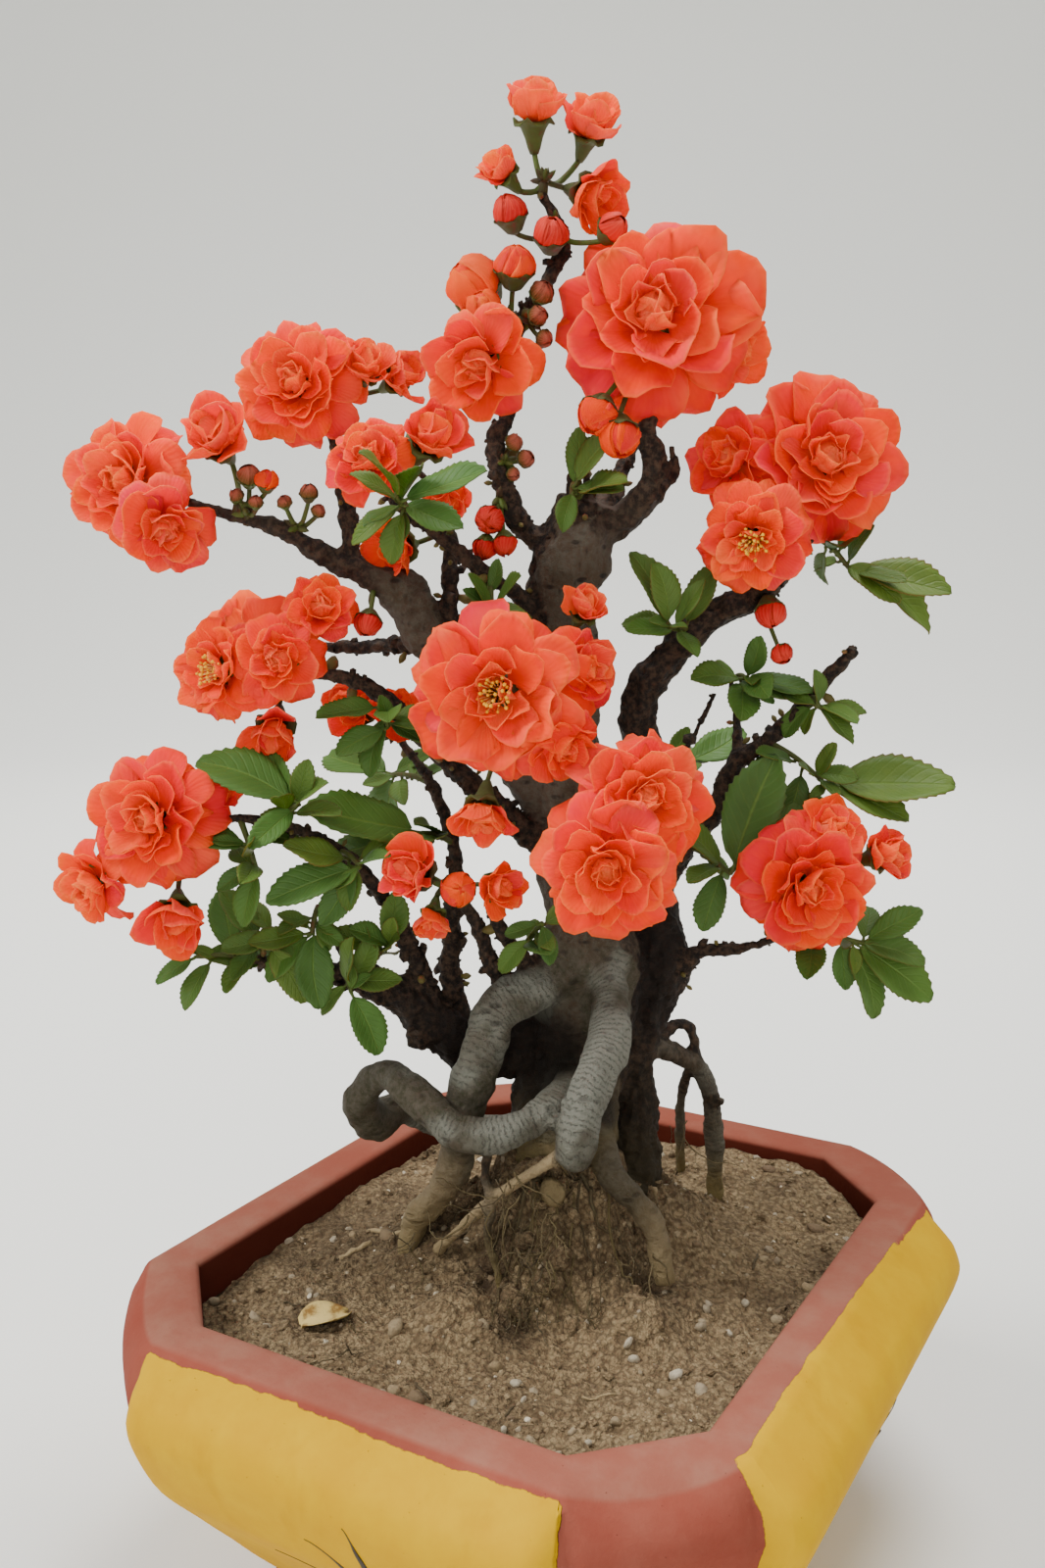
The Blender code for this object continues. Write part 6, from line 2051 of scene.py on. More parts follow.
@dataclass
class PetalPattern:
    """The unit petals that blooms and buds are set with: out along X from a foot at the origin."""

    columns: int = 11
    rows: int = 6
    thickness: float = 0.012
    variants: int = 4
    seed: int = 21
    core_sides: int = 14
    core_levels: int = 9
    arc_steps: int = 8
    # What an open petal draws its own shape from: the fan of its edge in degrees, and by its length
    # how slim it is, how deep its notch, how far its tip curls back and how far it twists.
    fan: Span = (51, 60)
    slim: Span = (0.84, 0.98)
    notch: Span = (-0.02, 0.06)
    curl: Span = (-0.02, 0.13)
    twist: Span = (-0.14, 0.14)
    # Each open form's first slope and bend in degrees, its cup across and the waves of its rim.
    forms: tuple[tuple[float, float, float, float], ...] = (
        (26, -58, 0.5, 0.07), (-8, 60, 0.75, 0.08), (0, 84, 0.8, 0.12), (8, 118, 0.9, 0.1))

    def build(self) -> bpy.types.Collection:
        """Makes every form in each of its variants.

        Returns:
            The petals, in the order of PetalForm.
        """
        rng = random.Random(self.seed)
        shapes = []
        for form in PetalForm:
            for variant in range(self.variants):
                sketch = MeshSketch()
                if form is CORE:
                    self.core(sketch, rng)
                else:
                    grid = self.wrapped(rng) if form is WRAP else self.opened(form, rng)
                    under = np.repeat([float(form is not WRAP), 0.0], self.rows * self.columns)
                    sketch.add(*thick_grid(grid, self.thickness), under=under, **grid_values(self.rows, self.columns))
                shapes.append(sketch.piece(f"petal_{form.value}_{variant}"))
        return shelf("petals", shapes)

    def opened(self, form: PetalForm, rng: random.Random) -> np.ndarray:
        """A rounded petal that is bent along its length, cupped across and waved at its rim.

        Args:
            form: Its form, apart from WRAP and CORE.
            rng: Where its own outline and waves come from.

        Returns:
            A grid of places, by the petal's length.
        """
        start, bend, cup, ruffle = self.forms[form.value]
        start, bend = math.radians(start), math.radians(bend)
        fan = math.radians(rng.uniform(*self.fan))
        slim = rng.uniform(*self.slim)
        notch = rng.uniform(*self.notch)
        curl = rng.uniform(*self.curl)
        phase = [rng.uniform(0, 6.28) for _ in range(3)]
        twist = rng.uniform(*self.twist)
        grid = np.zeros((self.rows, self.columns, 3))
        for i, v in enumerate(np.linspace(0, 1, self.rows) ** 0.85):
            for j, u in enumerate(np.linspace(-1, 1, self.columns)):
                edge = math.cos(u * fan) ** 0.9 - notch * math.exp(-(u / 0.22) ** 2) + 0.02 * math.sin(5 * u + phase[0])
                turn = u * fan * (0.62 + 0.38 * math.sin(min(1.0, v * 1.5) * math.pi / 2))
                reach = (0.03 + 0.97 * v) * edge
                side, length = reach * math.sin(turn) * slim, reach * math.cos(turn)
                x, z = self.bent(length, start, bend)
                slope = start + bend * length
                wave = ruffle * v * v * (math.sin(5.2 * u + phase[1]) + 0.5 * math.sin(9.1 * u + phase[2]))
                lift = cup * side * side + wave + twist * side * v - curl * max(0.0, v - 0.7) ** 2 * 8
                grid[i, j] = (x - lift * math.sin(slope), side * (1 - 0.2 * cup * abs(u) * v),
                              z + lift * math.cos(slope))
        return grid

    def bent(self, length: float, start: float, bend: float) -> tuple[float, float]:
        """How far out and up an arc leads that starts at one slope and turns by another for each unit."""
        slopes = [start + bend * length * (k + 0.5) / self.arc_steps for k in range(self.arc_steps)]
        return tuple(sum(way(slope) for slope in slopes) * length / self.arc_steps for way in (math.cos, math.sin))

    def girth(self, t: float) -> float:
        """The radius of the egg that a bud's or heart's petals wrap, at this share of its height."""
        return 0.97 * math.sin(math.pi * min(1.0, t ** 0.86)) ** 0.62 * (1 - 0.12 * t)

    def core(self, sketch: MeshSketch, rng: random.Random) -> None:
        """Adds the closed egg of folded petals inside a bud or heart.

        Args:
            sketch: Where it goes.
            rng: Where its twist comes from.
        """
        rows = []
        twist = rng.uniform(0.9, 1.5)
        for t in np.linspace(0.02, 0.98, self.core_levels):
            for k in range(self.core_sides):
                turn = FULL_TURN * k / self.core_sides + twist * t
                ridge = (k % 5) / 5
                radius = self.girth(t) * (0.98 - 0.1 * ridge * t)
                rows.append((radius * math.cos(turn), radius * math.sin(turn), -0.05 + 1.72 * t, 0.35 + 0.6 * t,
                             ridge * 1.8 - 0.9))
        table = np.array(rows)
        size = self.core_levels, self.core_sides
        sketch.add(table[:, :3], caps(*size) + ring_faces(*size), along=table[:, 3], across=table[:, 4])

    def wrapped(self, rng: random.Random) -> np.ndarray:
        """A petal wrapped round an egg, as in a bud or a closed heart.

        Args:
            rng: Where its own width, turn and height come from.

        Returns:
            A grid of places, by the egg's radius.
        """
        half = math.radians(rng.uniform(56, 68))
        spiral = rng.uniform(0.25, 0.5)
        tall = rng.uniform(1.62, 1.82)
        proud = rng.uniform(0.0, 0.05)
        grid = np.zeros((self.rows, self.columns, 3))
        for i, v in enumerate(np.linspace(0, 1, self.rows)):
            for j, u in enumerate(np.linspace(-1, 1, self.columns)):
                t = 0.03 + 0.94 * v * (1 - 0.14 * abs(u) ** 2.5)
                radius = self.girth(t) + proud + 0.07 * u * u * (0.4 if u > 0 else 1.0)
                radius += 0.015 * math.sin(7 * u + 3 * v)
                turn = u * half * (1.0 - 0.25 * v) + spiral * v
                grid[i, j] = (radius * math.cos(turn), radius * math.sin(turn), -0.05 + tall * t)
        return grid[:, ::-1]


class PetalTree(ShapeTree):
    """Sets a petal on each point, by the point's own turn, size and pick."""

    def __init__(self) -> None:
        """Builds the tree."""
        super().__init__("set_petals")
        turn = self.node("FunctionNodeEulerToRotation", {}, {0: self.value("turn", "FLOAT_VECTOR")})
        self.set_out(self.start.outputs["Geometry"], self.value("pick", "INT"), turn, self.value("size"))


class PointField:
    """Points that each carry a turn, a size, a pick and looks, for one piece."""

    def __init__(self) -> None:
        """Starts empty."""
        self.places: list[Vector] = []
        self.turns: list[float] = []
        self.picks: list[int] = []
        self.looks: dict[str, list[float]] = {}

    def add(self, place: Vector, turn: Matrix, pick: int, **looks: float) -> None:
        """Adds a point.

        Args:
            place: Where, in the tree's frame in mm.
            turn: How its shape is turned there.
            pick: Which shape it takes.
            looks: Its other values, of which size is in mm.
        """
        self.places.append(on_pot(place))
        self.turns.extend((TO_POT.to_3x3() @ turn).to_euler("XYZ"))
        self.picks.append(pick)
        for name, value in looks.items():
            self.looks.setdefault(name, []).append(value * MM if name == "size" else value)

    def base(self, name: str) -> bpy.types.Object:
        """Makes an object for a tree to start from.

        Args:
            name: The object's name.

        Returns:
            The points as an object.
        """
        mesh = bpy.data.meshes.new(name)
        mesh.from_pydata(self.places, [], [])
        mesh.attributes.new("turn", "FLOAT_VECTOR", "POINT").data.foreach_set("vector", self.turns)
        mark(mesh, {"pick": self.picks}, "INT")
        mark(mesh, self.looks)
        return linked(name, mesh)


@dataclass
class Blooms:
    """Blooms and buds, set petal by petal round each one's axis."""

    groups: Sequence[BloomGroup]
    slot: str
    finish: PetalFinish | BudFinish
    shapes: bpy.types.Collection
    tree: PetalTree
    seed: int = 5
    sway: float = 9.0
    variants: int = 4
    for_solids: bool = True

    def add_bloom(self, points: PointField, bloom: Bloom, rng: random.Random) -> None:
        """Adds every petal of one bloom.

        Args:
            points: Where they go.
            bloom: The bloom.
            rng: Where each petal's own turn, size and tint come from.
        """
        foot, axis, stance = bloom.foot, bloom.axis, bloom.stance
        roll = rng.uniform(0, FULL_TURN)
        shade = rng.uniform(0, 1)
        lean = Matrix.Rotation(math.radians(rng.uniform(0, 9)), 3, Vector((rng.gauss(0, 1), rng.gauss(0, 1), 0.01)))
        rings = BLOOM_RINGS[bloom.kind]
        for order, ring in enumerate(rings):
            roll += rng.uniform(0.35, 0.75)
            if ring.lift > 0.06:
                # The heart leans as a whole, from its first ring on.
                stance, lean = stance @ lean, Matrix.Identity(3)
            closed = ring.form in (WRAP, CORE)
            for k in range(ring.count):
                turn = roll + FULL_TURN * k / ring.count + math.radians(rng.gauss(0, self.sway * 0.6))
                rise = rng.gauss(0, 2) if closed else ring.rise + rng.gauss(0, self.sway)
                size = bloom.radius * ring.reach * (1 + rng.gauss(0, 0.02 if closed else 0.06))
                way = stance @ Matrix.Rotation(turn, 3, "Z") @ Matrix.Rotation(-math.radians(rise), 3, "Y")
                way = way @ Matrix.Rotation(math.radians(rng.gauss(0, 2 if closed else self.sway)), 3, "X")
                out = stance @ Vector((math.cos(turn), math.sin(turn), 0))
                place = foot + (axis * (ring.lift + 0.012 * (k % 2)) + out * ring.out) * bloom.radius
                pick = ring.form.value * self.variants + rng.randrange(self.variants)
                tint = held(shade * 0.25 + rng.uniform(0, 0.5) + 0.4 * (1 - order / len(rings)) - 0.05)
                points.add(place, way, pick, size=size, tint=tint, inner=held(ring.inner + rng.gauss(0, 0.08)))

    def build(self) -> None:
        """One piece for each group."""
        rng = random.Random(self.seed)
        material = self.finish.material()
        for group in self.groups:
            points = PointField()
            for bloom in group.blooms:
                self.add_bloom(points, bloom, rng)
            piece = self.tree.grown(points.base(group.node + "_points"), group.node + "_petals", Shapes=self.shapes,
                                    Finish=material)
            finished(piece, self.slot, *((group.node,) if self.for_solids else ()))


@dataclass
class Stalks:
    """Stalks from the wood to each bloom and bud, with a calyx under its petals."""

    groups: Sequence[BloomGroup]
    finish: StalkFinish = field(default_factory=StalkFinish)
    stalk_radius: float = 1.5
    pedicel_radius: float = 0.95
    sides: int = 7
    calyx_sides: int = 15
    lobe_rise: float = 0.224
    seed: int = 31
    # Heights and radii by the bloom's radius, up from its foot; the lobes stand out on the last one.
    open_calyx: Table = ((-0.8, 0.13), (-0.62, 0.2), (-0.36, 0.27), (-0.1, 0.38), (0.06, 0.5), (0.2, 0.62))
    bud_calyx: Table = ((-0.5, 0.2), (-0.36, 0.46), (-0.12, 0.62), (0.12, 0.78), (0.42, 1.0), (0.62, 1.02))
    # A scale's length and radius.
    scale: Table = ((0, 1.0), (2.0, 1.3), (4.0, 0.9), (5.4, 0.15))

    def calyx(self, sketch: MeshSketch, bloom: Bloom, roll: float, ripe: float) -> None:
        """Adds a cup with five pointed lobes.

        Args:
            sketch: Where it goes.
            bloom: The bloom that it holds.
            roll: How far it is turned round the bloom's axis.
            ripe: How brown it is.
        """
        foot, stance = bloom.foot, bloom.stance
        rows, radius = ((self.bud_calyx, bloom.radius) if bloom.kind is BUD
                        else (self.open_calyx, min(bloom.radius, WIDEST_CALYX)))
        grid = []
        for height, reach in rows:
            row = []
            for k in range(self.calyx_sides + 1):
                turn = roll + FULL_TURN * k / self.calyx_sides
                sunk = self.lobe_rise if k % 3 and height == rows[-1][0] else 0.0
                point = Vector((math.cos(turn) * reach, math.sin(turn) * reach, height - sunk)) * radius
                row.append(on_pot(foot + stance @ point))
            grid.append(row)
        sketch.add(*thick_grid(np.array(grid), max(0.3, radius * 0.05) * MM), ripe=ripe)

    def build(self) -> bpy.types.Object:
        """All stalks and calyxes as one piece.

        Returns:
            The finished piece.
        """
        rng = random.Random(self.seed)
        sketch = MeshSketch()
        for group in self.groups:
            start = spot(*group.spur)
            mean = sum((bloom.foot for bloom in group.blooms), Vector()) / len(group.blooms)
            joint = start + (mean - start) * STALK_SHARE
            self.stem(sketch, [start - (joint - start) * 0.12, start, joint], self.stalk_radius, 0.85)
            for bloom in group.blooms:
                foot, axis = bloom.foot, bloom.axis
                neck = foot - axis * min(bloom.radius, WIDEST_CALYX) * (0.45 if bloom.kind is BUD else 0.74)
                middle = joint.lerp(neck, 0.5) - axis * min(6.0, (neck - joint).length * 0.25)
                thick = self.pedicel_radius * (0.75 + min(bloom.radius, 24) * 0.02)
                self.stem(sketch, [joint, middle, neck, foot], thick, rng.uniform(0.1, 0.7))
                self.calyx(sketch, bloom, rng.uniform(0, 6.28), rng.uniform(0.15, 0.75))
                for _ in range(2):
                    way = random_way(rng, 0, -0.4, 0.3).normalized()
                    rows = [(*(joint + way * reach), radius) for reach, radius in self.scale]
                    sketch.tube(rows, 6, ripe=rng.uniform(0, 1))
        return finished(sketch.piece("stalks_and_calyxes", self.finish.material()), "leaves")

    def stem(self, sketch: MeshSketch, places: Sequence[Vector], radius: float, ripe: float) -> None:
        """Adds a bent stalk with a slightly wider foot.

        Args:
            sketch: Where it goes.
            places: What it passes through.
            radius: Its usual radius, in mm.
            ripe: How brown it is.
        """
        last = len(places) - 1
        rows = [(*place, radius * (1.25 - 0.3 * k / last)) for k, place in enumerate(places)]
        sketch.tube(rows, self.sides, 2.2, 0.2, ripe=ripe)


@dataclass
class Leaves:
    """Toothed leaves on their shoots."""

    sprays: Sequence[Spray]
    finish: LeafFinish = field(default_factory=LeafFinish)
    stalk_finish: StalkFinish = field(default_factory=StalkFinish)
    width_share: float = 0.55
    extra: int = 6
    teeth: int = 12
    tooth_depth: float = 0.075
    tooth_reach: float = 0.022
    columns: int = 7
    thickness: float = 0.3
    seed: int = 9
    # What a blade draws its own shape from: how far it folds up, droops, waves and twists, how wide
    # it is by the usual width, how far it sways to a side, and how blunt it is.
    fold: Span = (0.18, 0.42)
    droop: Span = (0.05, 0.22)
    wave: Span = (0.01, 0.03)
    twist: Span = (-0.35, 0.35)
    breadth: Span = (0.9, 1.08)
    sway: Span = (-0.07, 0.07)
    blunt: Span = (0.95, 1.2)

    @property
    def rows(self) -> int:
        """How many rows a blade's grid has."""
        return 2 * self.teeth + 1

    def blade(self, length: float, petiole: float, rng: random.Random) -> np.ndarray:
        """A leaf's grid along +Y, folded along its midrib, drooping and waved.

        Args:
            length: The blade's length, in mm.
            petiole: How far from the origin it starts.
            rng: Where its own shape comes from.

        Returns:
            The grid, in mm.
        """
        fold, droop, wave, twist = (rng.uniform(*span) for span in (self.fold, self.droop, self.wave, self.twist))
        width = length * self.width_share * rng.uniform(*self.breadth) / 2
        sway = rng.uniform(*self.sway)
        phase = rng.uniform(0, 6.28)
        blunt = rng.uniform(*self.blunt)
        grid = np.zeros((self.rows, self.columns, 3))
        for i, v in enumerate(np.linspace(0, 1, self.rows)):
            half = width * math.sin(math.pi * min(1.0, v ** blunt)) ** (0.5 + 0.12 * v)
            for j, u in enumerate(np.linspace(-1, 1, self.columns)):
                # The edge steps in and out from row to row, and the teeth point to the tip.
                rim, tooth = abs(u) > 0.99, i % 2
                x = u * half * (1 - self.tooth_depth if rim and not tooth else 1.0)
                y = v * length + (self.tooth_reach * length if rim and tooth else 0)
                z = abs(x) * fold - droop * length * v * v + wave * length * math.sin(9 * v + phase + 2 * u) * abs(u)
                grid[i, j] = (x + sway * length * math.sin(math.pi * v), petiole + y, z + twist * x * v * 0.6)
        grid[0, :, 0] = np.linspace(-0.4, 0.4, self.columns)
        grid[-1, :, 0] = grid[-1, self.columns // 2, 0] + np.linspace(-0.12, 0.12, self.columns)
        return grid[:, ::-1]

    def leaf(self, sketch: MeshSketch, stems: MeshSketch, start: Vector, tip: Vector, size: float, order: int,
             youth: float, rng: random.Random) -> None:
        """Adds one leaf.

        Args:
            sketch: Where its blade goes.
            stems: Where its petiole goes.
            start: Its place on the shoot.
            tip: Where its tip is.
            size: Its blade's length, by the usual one.
            order: Its number on the shoot, which turns it.
            youth: How young it looks.
            rng: Where its own shape and tint come from.
        """
        whole = (tip - start).length
        length = min(size * LEAF_LENGTH, whole * (1 - LEAST_PETIOLE))
        along = (tip - start).normalized()
        towards = Vector((0.35 * math.sin(order * GOLDEN_TURN), -0.7, 0.75))
        up = (towards - along * towards.dot(along)).normalized()
        turned = Matrix((along.cross(up), along, up)).transposed()
        grid = self.blade(length, whole - length, rng)
        points, faces = thick_grid(grid, self.thickness)
        sketch.add([on_pot(start + turned @ Vector(point)) for point in points], faces,
                   under=np.repeat([0.0, 1.0], len(points) // 2), tint=rng.uniform(0, 1),
                   youth=held(youth + rng.gauss(0, 0.12)), **grid_values(self.rows, self.columns))
        bend = start + along * (whole - length) * 0.6 - up * 0.3
        end = start + turned @ Vector(grid[1, self.columns // 2])
        stems.tube([(*start, 0.75), (*bend, 0.6), (*end, 0.5)], 6, 1.6, ripe=0.1 + 0.4 * youth)

    def build(self) -> None:
        """A piece of blades for each spray, and one piece of shoots and petioles."""
        rng = random.Random(self.seed)
        material = self.finish.material()
        stems = MeshSketch()
        for spray in self.sprays:
            sketch = MeshSketch()
            start, joint = spot(*spray.spur), spot(*spray.end)
            bow = (start + joint) / 2 + Vector((0, -1.0, 1.5))
            stems.tube([(*start, 1.25), (*bow, 1.05), (*joint, 0.85)], 7, 2.0, 0.15, ripe=0.45)
            for order, (across, down, depth, size) in enumerate(spray.leaves):
                share = min(order * LEAF_STEP / (joint - start).length, 1 - LEAST_PETIOLE)
                self.leaf(sketch, stems, joint.lerp(start, share), spot(across, down, depth), size, order,
                          spray.youth, rng)
            for k in range(self.extra):
                way = random_way(rng, 0, -0.5, 0.2).normalized()
                foot = joint.lerp(start, 0.13 * k)
                reach = rng.uniform(10, 26)
                self.leaf(sketch, stems, foot, foot + way * reach, reach / LEAF_LENGTH * 0.86, k,
                          rng.uniform(0, 0.7), rng)
            finished(sketch.piece(spray.node + "_blades", material), "leaves", spray.node)
        finished(stems.piece("shoots_and_petioles", self.stalk_finish.material()), "leaves")


@dataclass
class Stamens:
    """Tufts of stamens in the open blooms."""

    finish: StamenFinish = field(default_factory=StamenFinish)
    # A filament and its anther, a unit tall: x, y, z and radius.
    filament: Table = ((0, 0, 0, 0.035), (0.02, 0, 0.45, 0.028), (0.0, 0, 0.86, 0.024))
    anther: Table = ((0, 0, 0.84, 0.03), (0, 0.0, 0.9, 0.075), (0, 0, 0.98, 0.07), (0, 0, 1.03, 0.02))
    count: int = 30
    # A stamen's length by its bloom's radius, and at most in mm.
    length_share: float = 0.42
    longest: float = 9.0
    # How far up the bloom and out from its middle a stamen's foot is, by the bloom's radius.
    foot_up: float = 0.1
    foot_out: float = 0.07
    seed: int = 17

    def pattern(self) -> bpy.types.Collection:
        """Makes the unit stamen.

        Returns:
            A filament with its anther, a unit tall.
        """
        sketch = MeshSketch()
        sketch.add(*tube_shape(np.array(self.filament), 4), along=np.repeat([0.0, 0.4, 0.7], 4))
        sketch.add(*tube_shape(np.array(self.anther), 5), along=1.0)
        return shelf("stamens", [sketch.piece("stamen_unit")])

    def build(self, tree: PetalTree, tufts: Sequence[tuple[str, Bloom, tuple[str, ...]]]) -> None:
        """Makes a piece for each tuft.

        Args:
            tree: The tree that sets shapes on points.
            tufts: A piece's name, the bloom that it stands in and the solids that it replaces.
        """
        rng = random.Random(self.seed)
        material = self.finish.material()
        shapes = self.pattern()
        for name, bloom, nodes in tufts:
            foot, axis, stance = bloom.foot, bloom.axis, bloom.stance
            points = PointField()
            for k in range(self.count):
                out = math.sqrt((k + 0.5) / self.count)
                turn = k * GOLDEN_TURN
                side = stance @ Vector((math.cos(turn), math.sin(turn), 0))
                lean = Matrix.Rotation(out * rng.uniform(0.3, 0.7), 3, side.cross(axis).normalized() * -1)
                place = foot + (axis * self.foot_up + side * self.foot_out * out) * bloom.radius
                size = min(bloom.radius * self.length_share, self.longest) * rng.uniform(0.75, 1.1)
                points.add(place, lean @ stance, 0, size=size)
            piece = tree.grown(points.base(name + "_points"), name, Shapes=shapes, Finish=material)
            finished(piece, "stamens", *nodes)


@dataclass
class SoilLitter:
    """A fallen leaf, a few pale stones and bits of twig on the soil."""

    soil: SoilBed
    bark: bpy.types.Material
    leaf: DeadLeafFinish = field(default_factory=DeadLeafFinish)
    grit: GritFinish = field(default_factory=GritFinish)
    seed: int = 4
    # Where the leaf lies in the front view, its length, half width and turn.
    leaf_at: Span = (332, 1349)
    leaf_size: tuple[float, float, float] = (18, 7.4, 0.5)
    leaf_grid: tuple[int, int] = (9, 6)
    # Between which depths the soil is looked for along a ray, in mm, and in how many halvings.
    depths: Span = (-120.0, 110.0)
    halvings: int = 40
    # Stones: across and down in the front view, size in mm and how pale.
    stones: Table = (
        (641, 1375, 4.8, 0.96), (647, 1386, 4.2, 0.95), (690, 1403, 5.0, 0.96), (714, 1356, 4.8, 0.8),
        (721, 1342, 3.6, 0.85), (526, 1416, 4.0, 0.95), (534, 1429, 3.0, 0.96), (514, 1458, 3.0, 0.96),
        (261, 1347, 5.4, 0.75), (506, 1393, 5.4, 0.5), (218, 1330, 5.0, 0.8), (628, 1452, 3.8, 0.7),
        (600, 1470, 2.8, 0.95), (792, 1290, 4.0, 0.8), (760, 1330, 3.2, 0.94), (688, 1212, 3.4, 0.9))
    # Twigs: across and down in the front view, length in mm, turn and radius.
    twigs: Table = (
        (362, 1278, 13, 0.5, 1.1), (430, 1420, 9, 2.2, 0.5), (610, 1425, 11, 0.2, 0.45), (770, 1290, 8, 1.3, 0.5),
        (300, 1330, 8, 2.8, 0.4), (520, 1440, 7, 0.9, 0.4), (392, 1258, 18, 2.5, 1.0))

    def resting(self, across: float, down: float) -> Vector:
        """Where the front view's ray at this point meets the soil.

        Args:
            across: Points from the picture's left edge.
            down: Points from the picture's top edge.

        Returns:
            The place in the tree's frame.
        """
        low, high = self.depths
        for _ in range(self.halvings):
            depth = (low + high) / 2
            place = spot(across, down, depth)
            above = place.z > self.soil.smooth_height(place.x, place.y)
            low, high = (depth, high) if above else (low, depth)
        return spot(across, down, (low + high) / 2)

    def _lay_leaf(self) -> None:
        """The fallen leaf as one piece."""
        middle = self.resting(*self.leaf_at)
        length, wide, turn = self.leaf_size
        grid = np.zeros((*self.leaf_grid, 3))
        for i, v in enumerate(np.linspace(0, 1, self.leaf_grid[0])):
            for j, u in enumerate(np.linspace(1, -1, self.leaf_grid[1])):
                half = wide * math.sin(math.pi * min(1, 0.04 + 0.93 * v)) ** 0.6
                curl = 1.9 * u * u + 1.4 * math.sin(3.2 * v) + 0.6 * math.sin(7 * u + 4 * v)
                flat = Matrix.Rotation(turn, 3, "Z") @ Vector(((v - 0.5) * length, u * half, curl))
                grid[i, j] = on_pot(middle + flat + Vector((0, 0, 0.9)))
        sketch = MeshSketch()
        sketch.add(*thick_grid(grid, 0.3 * MM))
        finished(sketch.piece("fallen_leaf", self.leaf.material()), "soil")

    def _lay_stones(self, rng: random.Random) -> None:
        """Lays the stones as one piece.

        Args:
            rng: Where their shapes and turns come from.
        """
        sketch = MeshSketch()
        for i, (across, down, size, pale) in enumerate(self.stones):
            pattern = stone(f"stone_{i}", rng, 2)
            place = self.resting(across, down)
            place.z = self.soil.surface(place.x, place.y) + size * 0.2
            turn = Euler([rng.uniform(-1.2, 1.2) for _ in range(3)]).to_matrix()
            points = [on_pot(place + turn @ vert.co * size) for vert in pattern.data.vertices]
            sketch.add(points, [tuple(face.vertices) for face in pattern.data.polygons], tint=pale)
            bpy.data.objects.remove(pattern)
        finished(sketch.piece("loose_stones", self.grit.material()), "soil")

    def _lay_twigs(self, rng: random.Random) -> None:
        """Lays the twigs as one piece.

        Args:
            rng: Where their kinks come from.
        """
        sketch = MeshSketch()
        for across, down, length, turn, thick in self.twigs:
            foot = self.resting(across, down)
            rows = []
            for share in np.linspace(-0.5, 0.5, 6):
                x = foot.x + math.cos(turn) * share * length + rng.gauss(0, 0.25)
                y = foot.y + math.sin(turn) * share * length + rng.gauss(0, 0.25)
                rows.append((x, y, self.soil.surface(x, y) + thick * 0.6, thick))
            sketch.tube(rows, 6, tone=rng.uniform(0.3, 0.9), soiled=0.3, tan=float(length > 10))
        finished(sketch.piece("soil_twigs", self.bark), "soil")

    def build(self) -> None:
        """The leaf, the stones and the twigs as a piece each."""
        rng = random.Random(self.seed)
        self._lay_leaf()
        self._lay_stones(rng)
        self._lay_twigs(rng)


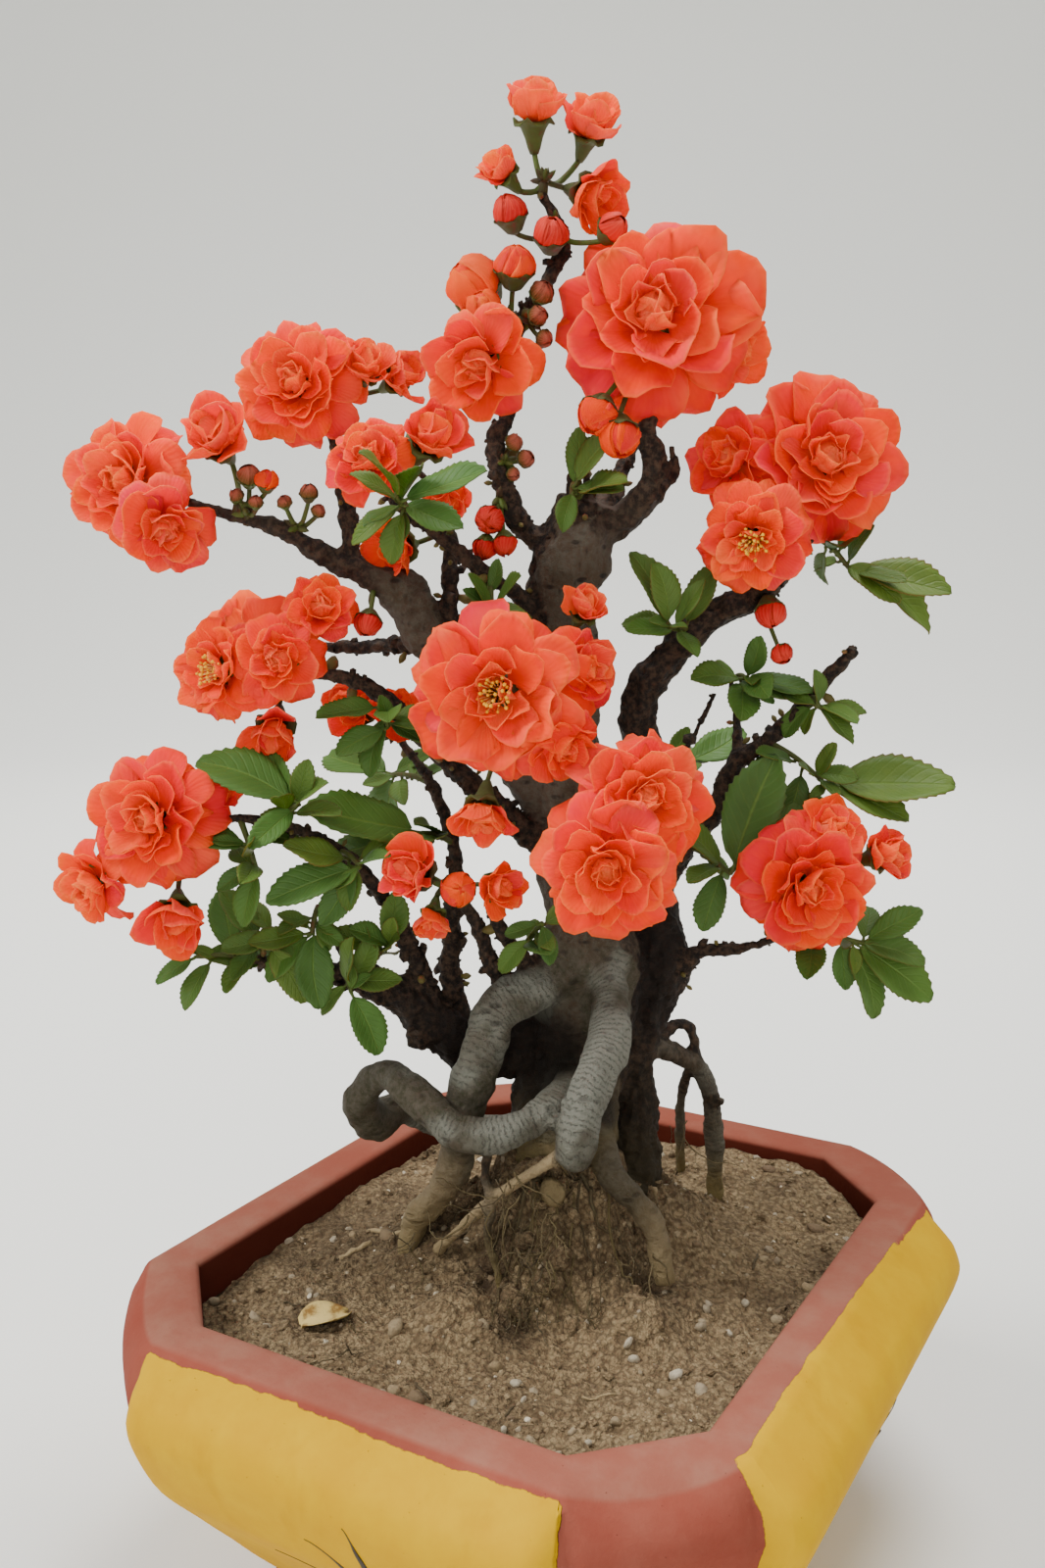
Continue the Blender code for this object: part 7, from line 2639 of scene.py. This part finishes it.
@dataclass
class Studio:
    """The camera, a pale floor that curves up behind, and soft lights."""

    floor: FloorFinish = field(default_factory=FloorFinish)
    # The floor's flat part ends here, in metres; it then sweeps up with this radius.
    flat_reach: float = 2.4
    sweep: float = 2.9
    # The sweep's first and last turn, and its rings.
    sweep_turns: tuple[float, float, int] = (0.1, 1.5, 12)
    floor_sides: int = 64
    sky: str = "E6EBEA"
    sky_strength: float = 0.42
    # Each light: place, aim and size in metres, and power in watts.
    lights: tuple[tuple[Point, Point, float, float], ...] = (
        ((-0.95, -1.0, 1.6), (0.0, 0.0, 0.28), 0.9, 40.0),
        ((1.0, -1.5, 0.9), (0.0, 0.0, 0.25), 1.3, 13.0),
        ((0.2, 0.3, 2.0), (0.0, 0.0, 0.3), 1.0, 38.0),
        ((-0.7, 1.2, 2.3), (-1.8, 3.1, 0.9), 2.0, 110.0))

    def build(self) -> None:
        """Sets the stage."""
        self._set_floor()
        self._set_lights()
        self._set_camera()

    def _set_floor(self) -> None:
        """A wide disc that sweeps up all round."""
        rings = [(self.flat_reach / 2, 0.0), (self.flat_reach, 0.0)]
        rings += [(self.flat_reach + self.sweep * math.sin(t), self.sweep * (1 - math.cos(t)))
                  for t in np.linspace(*self.sweep_turns)]
        count = self.floor_sides
        turns = [FULL_TURN * k / count for k in range(count)]
        points = [(reach * math.cos(turn), reach * math.sin(turn), height) for reach, height in rings for turn in turns]
        faces = [(len(points), k, (k + 1) % count) for k in range(count)] + ring_faces(len(rings), count)
        sketch = MeshSketch()
        sketch.add([*points, (0.0, 0.0, 0.0)], faces)
        sketch.piece("floor", self.floor.material())

    def _set_lights(self) -> None:
        """Soft area lights and an even sky."""
        for i, (place, aim, size, power) in enumerate(self.lights):
            lamp = bpy.data.lights.new(f"soft_light_{i}", "AREA")
            lamp.shape, lamp.size, lamp.energy = "DISK", size, power
            holder = linked(lamp.name, lamp)
            holder.location = place
            holder.rotation_euler = (Vector(aim) - Vector(place)).to_track_quat("-Z", "Y").to_euler()
        world = bpy.data.worlds.new("sky")
        world.use_nodes = True
        inputs = world.node_tree.nodes["Background"].inputs
        feed(world.node_tree, inputs["Color"], self.sky)
        feed(world.node_tree, inputs["Strength"], self.sky_strength)
        bpy.context.scene.world = world

    def _set_camera(self) -> None:
        """The camera at the front view's place."""
        camera = bpy.data.cameras.new("front_view")
        camera.sensor_width = SENSOR_MM
        camera.lens = VIEW_FOCAL / VIEW_LONG_SIDE * SENSOR_MM
        camera.clip_start = 0.01
        holder = linked("front_view", camera)
        holder.location = on_pot(VIEW_FROM)
        holder.rotation_euler = (math.pi / 2 - VIEW_TILT, 0.0, TREE_TURN)
        bpy.context.scene.camera = holder


def main() -> None:
    """Builds each sub-assembly in order."""
    logging.basicConfig(level=logging.INFO, format="%(message)s")
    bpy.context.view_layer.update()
    pot = Pot()
    pot.build()
    BrushWork(pot).build()
    bed = SoilBed(pot)
    soil = bed.build()
    Grit(soil).build()
    skin = Wood(ROOTS + TRUNKS + BRANCHES, bed).build()
    bark = skin.data.materials[0]
    Nubs(skin, bark).build()
    TwigBuds(skin).build()
    HairRoots(bed, bark).build()
    SoilLitter(bed, bark).build()
    petals = PetalPattern().build()
    tree = PetalTree()
    Blooms(BLOOM_GROUPS, "petals", PetalFinish(), petals, tree).build()
    Blooms(BUD_GROUPS, "buds", BudFinish(), petals, tree).build()
    green = BudFinish("young_buds", "6E3E24", "8E4634", "48501E", "C86A58", 0.45, 0.95, 0.95)
    Blooms(YOUNG_BUDS, "buds", green, petals, tree, for_solids=False).build()
    Stalks(BLOOM_GROUPS + BUD_GROUPS + YOUNG_BUDS).build()
    Leaves(LEAF_SPRAYS).build()
    blooms = {group.node: group.blooms for group in BLOOM_GROUPS}
    Stamens().build(tree, (
        ("stamens_heart_tuft", blooms["blooms_heart"][0], ("stamens_heart",)),
        ("stamens_left_low_tuft", blooms["blooms_left_low"][0], ("stamens_left_low",)),
        ("stamens_right_top_tuft", blooms["blooms_right_top"][1], ("stamens_right_top",)),
        ("stamens_rear_high_tuft", blooms["blooms_rear_high"][0], ()),
        ("stamens_rear_low_tuft", blooms["blooms_rear_low"][0], ())))
    Studio().build()


if __name__ == "__main__":
    main()
